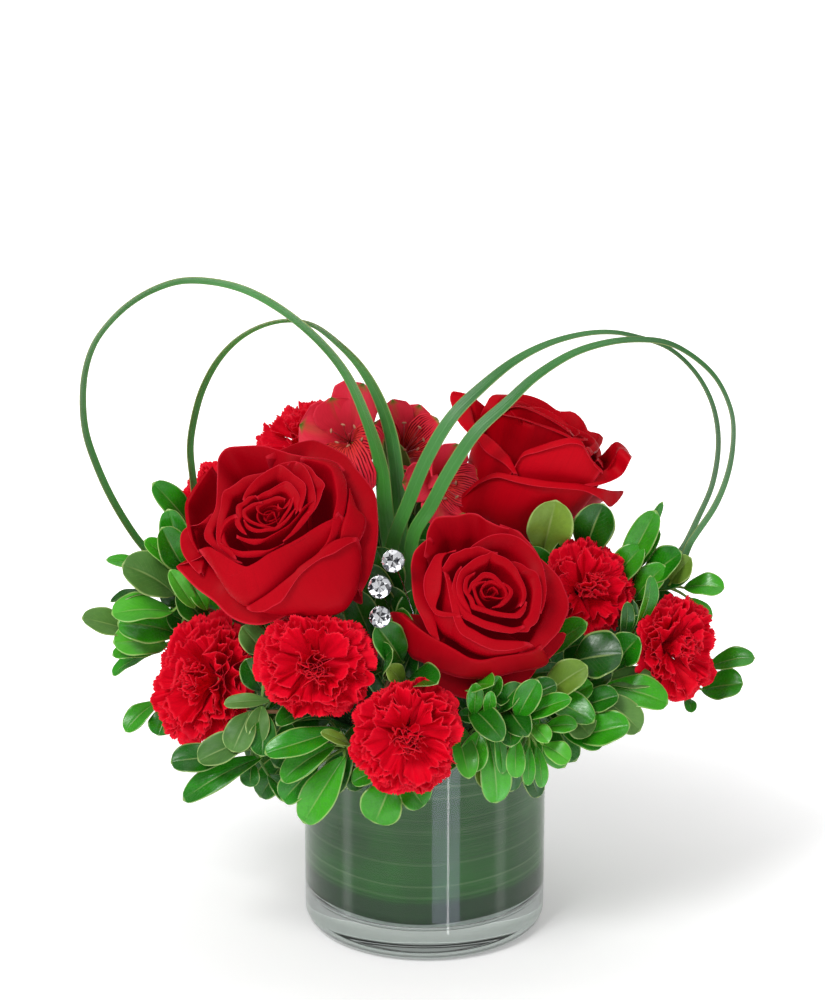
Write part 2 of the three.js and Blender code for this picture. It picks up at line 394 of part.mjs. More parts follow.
// ------------------------------------------------------------ vase, leaf, foam
function arc(cx, cz, r, from, to, count) {
  const out = [];
  for (let i = 0; i <= count; i++) {
    const a = from + ((to - from) * i) / count;
    out.push([cx + r * Math.cos(a), cz + r * Math.sin(a)]);
  }
  return out;
}

function vaseBody(grow = 0) {
  const ri = VASE_RADIUS - WALL - grow;
  const ro = VASE_RADIUS + grow;
  const profile = [
    [0, -grow],
    ...arc(FOOT_RADIUS, HEEL, HEEL + grow, -Math.PI / 2, 0, 3),
    ...(grow > 0 ? [[ro, VASE_HEIGHT + grow], [ri, VASE_HEIGHT + grow]] : [[ro, VASE_HEIGHT - 1.6], ...arc(ri + WALL / 2, VASE_HEIGHT - 1.6, WALL / 2, 0.35, Math.PI - 0.35, 2).map((q) => [q[0], Math.min(q[1], VASE_HEIGHT)]), [ri, VASE_HEIGHT - 1.6]]),
    ...arc(ri - INNER_CORNER, BASE_THICKNESS + INNER_CORNER, INNER_CORNER, 0, -Math.PI / 2, 2),
    [0, BASE_THICKNESS + grow],
  ];
  return turned(profile, grow > 0 ? 28 : 36);
}

function linerBody() {
  const turns = (360 + LINER_LAP) / 360;
  const count = 34;
  const outer = [], inner = [];
  for (let i = 0; i <= count; i++) {
    const a = Math.PI / 2 - (LINER_LAP * Math.PI) / 360 + (turns * 2 * Math.PI * i) / count;
    const r = LINER_RADIUS - (1.15 * turns * i) / count;
    outer.push(new THREE.Vector2(r * Math.cos(a), r * Math.sin(a)));
    inner.push(new THREE.Vector2((r - LINER_THICKNESS) * Math.cos(a), (r - LINER_THICKNESS) * Math.sin(a)));
  }
  const shape = new THREE.Shape([...outer, ...inner.reverse()]);
  const g = new THREE.ExtrudeGeometry(shape, { depth: LINER_TOP - LINER_BOTTOM, bevelEnabled: false, steps: 1 });
  g.translate(0, 0, LINER_BOTTOM);
  return toBody(g);
}

function foamBody() {
  return turned([
    [0, BASE_THICKNESS + 0.4], [49, BASE_THICKNESS + 0.4], [FOAM_RADIUS - 1.5, BASE_THICKNESS + 9],
    [FOAM_RADIUS, BASE_THICKNESS + 14], [FOAM_RADIUS, FOAM_TOP - 12], [FOAM_RADIUS - 10, FOAM_TOP], [0, FOAM_TOP + 2],
  ], 24);
}

// ----------------------------------------------------------------- grass blade
function bladeBody(table, grow = 0) {
  const count = 28;
  const pts = line(table.map((q) => q.slice(0, 3)), count);
  const key = new THREE.CatmullRomCurve3(table.map((q) => vec(q)), false, 'centripetal');
  const probe = key.getPoints((table.length - 1) * 8);
  const t = tangents(pts);
  const side = [], half = [], lift = [];
  pts.forEach((q, i) => {
    const s = i / count;
    let near = 0, best = 1e9;
    probe.forEach((m, j) => { const d = m.distanceToSquared(q); if (d < best) { best = d; near = j; } });
    const j = near / 8;
    const j0 = Math.min(Math.floor(j), table.length - 2);
    const seen = table[j0][3] + (table[j0 + 1][3] - table[j0][3]) * (j - j0);
    const b = s * (BLADE_WIDTH.length - 1);
    const b0 = Math.min(Math.floor(b), BLADE_WIDTH.length - 2);
    const width = BLADE_WIDTH[b0] + (BLADE_WIDTH[b0 + 1] - BLADE_WIDTH[b0]) * (b - b0);
    const turn = Math.acos(Math.min(0.999, seen / width));
    const flat = t[i].clone().cross(VIEW).normalize();
    const deep = flat.clone().cross(t[i]).normalize();
    side.push(flat.multiplyScalar(Math.cos(turn)).addScaledVector(deep, Math.sin(turn)));
    half.push(width / 2);
    lift.push(0);
  });
  return strip(pts, side, half, BLADE_THICKNESS, lift, 1, grow);
}

// ------------------------------------------------------------------ rose bloom
// The furled petals as one closed form: terraces that wind in to the heart, and
// five outer petals whose lips stand out from the cup.
function roseBody(h, grow = 0) {
  const f = headFrame(h);
  const R = h.R + 2.6 * grow;
  const g = new THREE.SphereGeometry(1, 20, 11);
  const p = g.attributes.position;
  for (let i = 0; i < p.count; i++) {
    const y = p.getY(i);
    const around = Math.atan2(p.getZ(i), p.getX(i));
    const ring = Math.hypot(p.getX(i), p.getZ(i));
    const lobe = ring > 0.15 ? 0.07 * Math.cos(5 * around) : 0;
    let r, z;
    if (y >= -0.15) {
      const turn = ring > 0.15 ? 0.035 * Math.sin(3 * around + 9 * ring) : 0;
      r = R * ring * (0.98 + lobe * ring);
      z = R * (0.08 + 0.33 * Math.sqrt(Math.max(0, y)) + turn - (ring > 0.9 ? 0.04 : 0));
    } else {
      r = R * Math.pow(ring, 0.8) * (0.9 + lobe * 0.6) * (1.08 + 0.25 * y);
      z = R * (0.08 + 0.72 * (h.deep || 1) * y);
    }
    p.setXYZ(i, ...place(f, r, around, z).toArray());
  }
  return toBody(g);
}

// ------------------------------------------------------------- carnation bloom
function carnationBody(h, grow = 0) {
  const f = headFrame(h);
  const g = new THREE.SphereGeometry(1, 12, 7);
  const p = g.attributes.position;
  const R = h.R + 2 * grow;
  for (let i = 0; i < p.count; i++) {
    const x = p.getX(i), y = p.getY(i), z = p.getZ(i);
    const around = Math.atan2(z, x);
    const ring = Math.hypot(x, z);
    const ruffle = ring > 0.2 ? 0.07 * Math.sin(6 * around + 5 * y) : 0;
    let r, t;
    if (y >= -0.2) { r = R * Math.pow(ring, 0.85) * (0.94 + ruffle); t = R * (0.52 * y + ruffle * 0.7); }
    else { r = Math.max(R * ring * (0.94 + ruffle) * (1.15 + 0.75 * y), ring > 0.01 ? 0 : 0); t = R * (0.1 + 0.78 * y); }
    p.setXYZ(i, ...place(f, r, around, t).toArray());
  }
  return toBody(g);
}

// ---------------------------------------------------------- alstroemeria bloom
// Six tepals on one short throat: a thin star that opens like a trumpet.
function lilyBody(h, grow = 0) {
  const f = headFrame(h);
  const R = h.R;
  const g = new THREE.SphereGeometry(1, 24, 8);
  const p = g.attributes.position;
  for (let i = 0; i < p.count; i++) {
    const y = p.getY(i);
    const around = Math.atan2(p.getZ(i), p.getX(i));
    const ring = Math.hypot(p.getX(i), p.getZ(i));
    const six = Math.cos(6 * around);
    const reach = 0.66 + 0.24 * six + (Math.cos(3 * around) > 0 ? 0.08 : 0);
    const r = R * ring * reach + grow * ring;
    const flare = R * (-0.5 + 0.66 * Math.pow(ring, 0.7) - 0.05 * ring * six);
    const depth = (y > 0 ? 0.6 : 0.6 + 0.1 * R * Math.pow(1 - ring, 1.5)) + grow * 1.3;
    p.setXYZ(i, ...place(f, r, around, flare + Math.sign(Math.round(y * 100)) * depth * Math.min(1, Math.abs(y) * 3)).toArray());
  }
  return toBody(g);
}

// ------------------------------------------------------------------- gem, pin
function gemFrame(g) {
  return headFrame({ c: g.c, axis: [-0.04, -0.93, 0.36] });
}
function gemBody(g, grow = 0) {
  const r = g.r + grow;
  const c = grow * 1.4;
  return turned([[0, 0.34 * g.r + c], [0.56 * r, 0.34 * g.r + c], [r, 0.04 * g.r], [r, -0.06 * g.r], [0, -0.72 * g.r - c]], 8, gemFrame(g));
}
function pinBody(g, grow = 0) {
  const f = gemFrame(g);
  const r = g.r;
  const seat = turned([[0, -1.25 * r - grow], [0.42 * r + grow, -1.25 * r - grow], [0.98 * r + grow, -0.12 * r], [0, 0.0]], 8, f);
  const top = f.c.clone().addScaledVector(f.z, -1.1 * r);
  const entry = vec(g.entry);
  const mid = top.clone().multiplyScalar(0.55).addScaledVector(entry, 0.45).add(new THREE.Vector3(0, 3, 3));
  const wire = stemBody(line([top, mid, entry, vec(g.inner)], 5), 0.6, 0.5, 4, grow);
  return join([seat, wire]);
}

// --------------------------------------------------------------- foliage sprig
function leafFrame(base, tip, roll) {
  const t = tip.clone().sub(base).normalize();
  const out = new THREE.Vector3(base.x, base.y, 0).normalize();
  const face = VIEW.clone().multiplyScalar(base.y < 30 ? -0.75 : 0.5).addScaledVector(out, 0.15).add(new THREE.Vector3(0, 0, 0.55));
  face.addScaledVector(t, -face.dot(t)).normalize();
  face.applyAxisAngle(t, (roll * Math.PI) / 180);
  return { t, face, side: face.clone().cross(t).normalize() };
}

// A leaf with its stalk: one strip from the twig out to the tip, widest past half way.
const LEAF_AT = [0.1, 0.58, 1.0];
const LEAF_SHAPE = [0.45, 1.0, 0.22];

function leafBody(leaf, hub, grow = 0) {
  const base = vec(leaf[0]), tip = vec(leaf[1]);
  const fr = leafFrame(base, tip, leaf[3]);
  const L = base.distanceTo(tip);
  const pts = [hub.clone()], half = [0.8], lift = [0], side = [fr.side];
  LEAF_AT.forEach((s, k) => {
    pts.push(base.clone().lerp(tip, s).addScaledVector(fr.face, 0.28 * L * s * (1 - s)));
    half.push((LEAF_SHAPE[k] * leaf[2]) / 2);
    lift.push(0);
    side.push(fr.side);
  });
  return strip(pts, side, half, LEAF_THICKNESS, lift, 1, grow);
}

function sprigBody(s, grow = 0) {
  const pts = line(s.pts, 6);
  const list = [stemBody(pts, s.r, s.r * 0.75, 4, grow)];
  const hubs = s.pts.slice(s.pts.length - s.hubs);
  for (const leaf of s.leaves) {
    const hub = vec(hubs[leaf[5]]);
    const near = pts.reduce((a, q) => (q.distanceTo(hub) < a.distanceTo(hub) ? q : a), pts[0]);
    list.push(leafBody(leaf, near, grow));
  }
  return join(list);
}

// ---------------------------------------------------------------- cut stems
function flowerStem(name, grow = 0) {
  const s = STEMS[name];
  const pts = line(s.pts, 6);
  const headName = name.replace('_stem', '');
  const h = HEADS[headName];
  const f = headFrame(h);
  const c = vec(s.pts[0]);
  const list = [stemBody(pts, s.r, s.r * 0.9, 5, grow)];
  if (headName.startsWith('rose')) {
    // the hip, with five sepals folded back from the seat of the bloom
    const g = new THREE.SphereGeometry(1, 10, 5);
    const p = g.attributes.position;
    for (let i = 0; i < p.count; i++) {
      const a = Math.atan2(p.getZ(i), p.getX(i));
      const ring = Math.hypot(p.getX(i), p.getZ(i));
      const y = p.getY(i);
      const r = (4 + (Math.cos(5 * a) > 0 ? 19 : 2) * Math.pow(ring, 2)) * ring + grow;
      const z = y < 0 ? -3 + y * (8 * (1 - ring) + 1.2) - grow + 5 * ring * ring * ring : -2.2 + y * 0.8 + grow + 5 * ring * ring * ring;
      p.setXYZ(i, ...place({ c, x: f.x, y: f.y, z: f.z }, ring < 0.01 ? 0 : r, a, z).toArray());
    }
    list.push(toBody(g));
  } else if (headName.startsWith('carnation')) {
    list.push(turned([[0, -16 - grow], [4.4 + grow, -13], [6.4 + grow, 2], [0, 4 + grow]], 6, { c, x: f.x, y: f.y, z: f.z }));
  }
  return join(list);
}

// The branching stem that carries the three alstroemeria blooms.
const ALSTROEMERIA = ['alstroemeria_left', 'alstroemeria_middle', 'alstroemeria_right'];
const UMBEL = [[-4, 24, 122], [-5, 27, 150], [-8, 38, 185], [-10, 46, 212]];
function alstroemeriaStem(grow = 0) {
  const list = [stemBody(line(UMBEL, 4), 2.3, 2.3, 5, grow)];
  const top = vec(UMBEL[UMBEL.length - 1]);
  for (const name of ALSTROEMERIA) {
    const h = HEADS[name];
    const end = headFrame(h).c.addScaledVector(headFrame(h).z, -0.66 * h.R);
    const mid = top.clone().lerp(end, 0.5).add(new THREE.Vector3(0, 2, -2));
    list.push(stemBody(line([top.clone().add(new THREE.Vector3(0, -0.5, -2)), mid, end], 2), 1.3, 1.2, 4, grow));
  }
  return join(list);
}

// ------------------------------------------------------------------- assembly
const group = new THREE.Group();
group.name = 'carnations_in_a_vase';

const taken = [];                 // spaces that later pieces keep clear of
function claim(name, space) { taken.push({ name, space, box: space.boundingBox() }); }
function meet(a, b) {
  for (let k = 0; k < 3; k++) if (a.min[k] > b.max[k] || a.max[k] < b.min[k]) return false;
  return true;
}
function fit(body) {
  const box = body.boundingBox();
  let out = body;
  for (const t of taken) if (meet(box, t.box)) out = out.subtract(t.space);
  return largest(out);
}
function add(name, body, color, roughness, metalness = 0) {
  const mesh = new THREE.Mesh(toGeometry(body), new THREE.MeshStandardMaterial({ color, roughness, metalness }));
  mesh.name = name;
  group.add(mesh);
}
const GREEN_TOP = 0x2f7a22, GREEN_DEEP = 0x27611f, GREEN_BLADE = 0x4c8a4c, GREEN_STEM = 0x4f8a3a;
const RED_ROSE = 0xb80518, RED_CARNATION = 0xd8102c, RED_LILY = 0xcf3a4c;

add('vase', vaseBody(), 0xdfe9e2, 0.04);
claim('vase', vaseBody(GAP));
add('leaf_liner', linerBody(), 0x3e693e, 0.5);

for (const name of Object.keys(BLADES)) {
  add(name, bladeBody(BLADES[name]), GREEN_BLADE, 0.45);
  claim(name, bladeBody(BLADES[name], GAP));
}
for (const name of Object.keys(GEMS)) {
  add(name, gemBody(GEMS[name]), 0xf2f4f6, 0.02);
  claim(name, gemBody(GEMS[name], GAP));
}
for (const name of Object.keys(GEMS)) {
  add(name.replace('gem', 'pin'), fit(pinBody(GEMS[name])), 0xb9bcc0, 0.25, 1);
  claim(name.replace('gem', 'pin'), pinBody(GEMS[name], GAP));
}
for (const name of Object.keys(HEADS)) {
  if (!name.startsWith('rose')) continue;
  add(name, fit(roseBody(HEADS[name])), RED_ROSE, 0.55);
  claim(name, roseBody(HEADS[name], GAP));
}
for (const name of Object.keys(HEADS)) {
  if (!name.startsWith('carnation')) continue;
  add(name, fit(carnationBody(HEADS[name])), RED_CARNATION, 0.6);
  claim(name, carnationBody(HEADS[name], GAP));
}
for (const name of ALSTROEMERIA) {
  add(name, fit(lilyBody(HEADS[name])), RED_LILY, 0.55);
  claim(name, lilyBody(HEADS[name], GAP));
}
for (const name of Object.keys(STEMS)) {
  add(name, fit(flowerStem(name)), GREEN_STEM, 0.5);
  claim(name, flowerStem(name, GAP));
}
add('alstroemeria_stem', fit(alstroemeriaStem()), GREEN_STEM, 0.5);
claim('alstroemeria_stem', alstroemeriaStem(GAP));
for (const name of Object.keys(SPRIGS)) {
  const low = name.includes('low') || name.includes('outer');
  add(name, fit(sprigBody(SPRIGS[name])), low ? GREEN_DEEP : GREEN_TOP, 0.35);
  claim(name, sprigBody(SPRIGS[name], GAP));
}
taken.shift();
add('floral_foam', fit(foamBody()), 0x1f3a22, 0.95);

export default group;
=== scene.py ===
import bpy
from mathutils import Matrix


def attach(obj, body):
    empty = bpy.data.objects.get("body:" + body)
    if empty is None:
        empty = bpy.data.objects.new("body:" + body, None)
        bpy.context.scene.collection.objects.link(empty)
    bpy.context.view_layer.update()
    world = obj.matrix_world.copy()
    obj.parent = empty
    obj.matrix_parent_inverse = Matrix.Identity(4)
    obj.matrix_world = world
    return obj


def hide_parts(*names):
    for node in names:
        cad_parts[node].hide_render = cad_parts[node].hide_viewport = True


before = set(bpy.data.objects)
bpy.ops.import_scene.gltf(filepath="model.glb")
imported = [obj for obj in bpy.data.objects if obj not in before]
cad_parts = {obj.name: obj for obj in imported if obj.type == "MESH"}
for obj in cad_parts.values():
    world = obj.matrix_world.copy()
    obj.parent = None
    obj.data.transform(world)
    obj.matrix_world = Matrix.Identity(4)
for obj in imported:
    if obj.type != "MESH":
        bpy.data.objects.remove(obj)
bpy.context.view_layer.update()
import bpy, math
import numpy as np

MM = 0.001

# Carnations and roses in a glass cylinder. Tables are in millimetres, in the frame of
# the built part: +Z up, origin under the centre of the vase, front towards -Y.

# blades: centre points with the width turned to the front; blooms: centre, axis, radius;
# stems; gems; sprigs: twig points and leaves (base, tip, width, roll, kind, joint)
BLADES = {
    "grass_blade_1": [[-15,8,128,6],[-16,6,150,7.5],[-16.8,4.5,180,9],[-17.7,4.0,205.5,9.3],[-20.1,5.0,224.0,8.3],[-22.4,6.0,248.7,6.7],[-29.4,6.0,273.5,5.4],[-39.8,5.0,298.4,4.3],[-53.7,4.0,317.0,4.1],[-73.3,3.0,334.3,4.1],[-91.7,2.0,344.8,3.8],[-109.0,1.0,349.3,3.5],[-124.0,0.0,349.6,3.3],[-137.9,-1.0,345.1,3.0],[-149.6,-2.0,338.1,2.8],[-159.6,-3.0,328.8,2.3],[-167.4,-4.0,318.2,2.0],[-172.2,-5.0,305.1,2.3],[-174.1,-6.0,289.6,2.8],[-173.0,-7.0,271.5,3.1],[-167.6,-8.0,253.4,3.3],[-159.8,-9.0,235.2,3.6],[-148.5,-8.0,214.8,3.6],[-140.7,-6.0,204.1,3.6],[-130,-2,190,3.6],[-112,2,174,3.6],[-88,4,159,3.6],[-64,4,149.5,3.4],[-50,4,144,3.2],[-41,4,138,3]],
    "grass_blade_2": [[-12,16,128,6],[-12,15,150,7.5],[-13,14,180,8.5],[-13.4,14.0,204.7,8.8],[-12.9,16.0,220.5,8.8],[-14.2,18.0,238.5,7.8],[-17.7,19.0,263.1,6.7],[-24.8,19.0,284.2,5.7],[-34.1,18.0,300.5,4.1],[-45.8,17.0,313.1,2.8],[-55.1,16.0,320.7,2.0],[-62.1,15.0,323.7,1.5],[-71.4,14.0,324.7,1.5],[-83.1,13.0,322.3,2.0],[-94.9,11.0,316.2,2.5],[-105.4,9.0,305.7,3.1],[-113.8,6.0,290.7,3.1],[-118.5,2.0,274.8,3.1],[-120.3,-2.0,261.2,3.1],[-118.6,-6.0,242.8,3.3],[-117,-6,224,3.4],[-108,-2,205,3.4],[-92,6,187,3.4],[-72,14,170,3.4],[-57,18,156,3.2],[-48,19,147,3],[-40,19,138,3]],
    "grass_blade_3": [[-15,-2,128,6],[-15,-3,150,7.5],[-16.5,-8,180,9],[-17.4,-12.0,209.1,9.2],[-8.2,-9.0,235.2,10.2],[1.8,-5.0,258.6,9.4],[14.1,-1.0,278.1,8.7],[28.9,3.0,292.3,6.6],[46.2,7.0,305.3,5.1],[63.5,10.0,313.5,4.1],[82.1,12.0,318.0,3.1],[95.7,13.0,318.4,2.8],[106.9,14.0,316.1,2.8],[124.5,15.0,309.4,2.8],[138.4,15.0,296.4,3.1],[147.5,15.0,279.5,3.6],[151.0,14.0,260.1,3.9],[148.4,13.0,236.8,3.9],[141.3,12.0,218.6,3.9],[134.0,10.0,203.4,3.9],[127,18,192,4],[108,23,176,4],[84,24,161,4],[64,21,152,3.6],[51,18,145,3.4],[42,16,138,3]],
    "grass_blade_4": [[-5,-10,128,6],[-5.5,-11,150,7.5],[-6,-14,180,9],[-6.1,-16.0,218.1,8.7],[3.0,-14.0,234.2,9.2],[12.9,-11.0,252.7,9.2],[26.4,-8.0,272.5,8.1],[41.1,-5.0,285.8,6.9],[55.8,-2.0,299.1,5.6],[75.6,1.0,311.0,4.8],[94.0,2.0,316.5,4.3],[110.0,3.0,317.5,3.8],[123.6,3.0,315.6,3.6],[137.3,3.0,307.8,3.3],[148.7,3.0,296.2,3.3],[156.6,3.0,278.1,3.3],[157.6,3.0,261.2,3.6],[154.9,2.0,244.5,4.1],[149.0,1.0,229.0,4.6],[136.9,0.0,209.5,4.6],[131,7,192,4.4],[112,12,174,4.2],[90,13,162,4],[68,10,153,3.6],[52,7,147,3.4],[44,5,141,3]],
}
HEADS = {
    "rose_left": {"c":[-73.4,-50.0,231.2],"axis":[-0.08,-0.802,0.592],"R":50},
    "rose_front": {"c":[28.5,-60.0,199.1],"axis":[0.13,-0.883,0.451],"R":43},
    "rose_rear": {"c":[60.5,45.0,240.4],"axis":[0.422,0.05,0.905],"R":43,"deep":1.5},
    "carnation_left": {"c":[-115.1,-40.0,149.0],"axis":[-0.622,-0.723,0.301],"R":37},
    "carnation_centre": {"c":[-55.0,-84.0,174.5],"axis":[-0.05,-0.947,0.319],"R":33},
    "carnation_low": {"c":[-9.1,-98.0,141.0],"axis":[0.0,-0.984,0.181],"R":32},
    "carnation_right": {"c":[83.8,-15.0,189.9],"axis":[0.28,-0.82,0.5],"R":29},
    "carnation_far_right": {"c":[130.7,-24.0,160.4],"axis":[0.6,-0.769,0.22],"R":30},
    "carnation_rear_left": {"c":[-107.8,18.0,230.8],"axis":[-0.55,-0.3,0.78],"R":28},
    "carnation_rear": {"c":[-64.7,62.0,249.2],"axis":[-0.3,-0.25,0.921],"R":28},
    "alstroemeria_left": {"c":[-41.6,38.0,253.7],"axis":[-0.249,-0.798,0.549],"R":30},
    "alstroemeria_middle": {"c":[-1.9,52.0,251.4],"axis":[0.1,-0.752,0.652],"R":26},
    "alstroemeria_right": {"c":[16.3,26.0,229.2],"axis":[0.251,-0.902,0.351],"R":24},
}
STEMS = {
    "rose_left_stem": {"head":"rose_left","pts":[[-71.0,-25.9,213.4],[-69.4,-9.9,201.6],[-31,-20,147],[-27,-16,116]],"r":3.0},
    "rose_front_stem": {"head":"rose_front","pts":[[25.0,-36.2,186.9],[22.9,-22.0,179.7],[18,-20,149],[17,-17,116]],"r":3.0},
    "rose_rear_stem": {"head":"rose_rear","pts":[[43.6,43.0,204.2],[39.4,42.5,195.1],[24,30,149],[21,25,116]],"r":3.0},
    "carnation_left_stem": {"head":"carnation_left","pts":[[-102.7,-25.5,143.0],[-95.2,-16.9,139.4],[-54,-14,139],[-32,-8,130]],"r":2.2},
    "carnation_centre_stem": {"head":"carnation_centre","pts":[[-54.1,-67.0,168.8],[-53.5,-55.6,164.9],[-30,-42,141],[-22,-30,124]],"r":2.2},
    "carnation_low_stem": {"head":"carnation_low","pts":[[-9.1,-80.3,137.7],[-9.1,-70.4,135.9],[-8,-54,138],[-6,-32,129]],"r":2.2},
    "carnation_right_stem": {"head":"carnation_right","pts":[[79.0,-1.1,181.4],[75.1,10.4,174.4],[35,-8,148],[27,-11,123]],"r":2.2},
    "carnation_far_right_stem": {"head":"carnation_far_right","pts":[[119.9,-10.2,156.4],[111.5,0.6,153.4],[56,-7,137],[40,-4,132]],"r":2.2},
    "carnation_rear_left_stem": {"head":"carnation_rear_left","pts":[[-99.0,22.8,218.3],[-91.3,27.0,207.4],[-32,8,148],[-27,7,122]],"r":2.2},
    "carnation_rear_stem": {"head":"carnation_rear","pts":[[-59.9,66.0,234.5],[-55.7,69.5,221.6],[-24,34,148],[-20,29,122]],"r":2.2},
}
GEMS = {
    "gem_upper": {"c":[-16.1,-70.0,224.6],"r":5.6,"entry":[2,-28,150],"inner":[2,-24,130]},
    "gem_middle": {"c":[-22.8,-74.0,212.3],"r":5.7,"entry":[-10,-27,150],"inner":[-9,-24,130]},
    "gem_lower": {"c":[-22.6,-80.0,198.6],"r":5.3,"entry":[-18,-33,148],"inner":[-16,-28,128]},
}
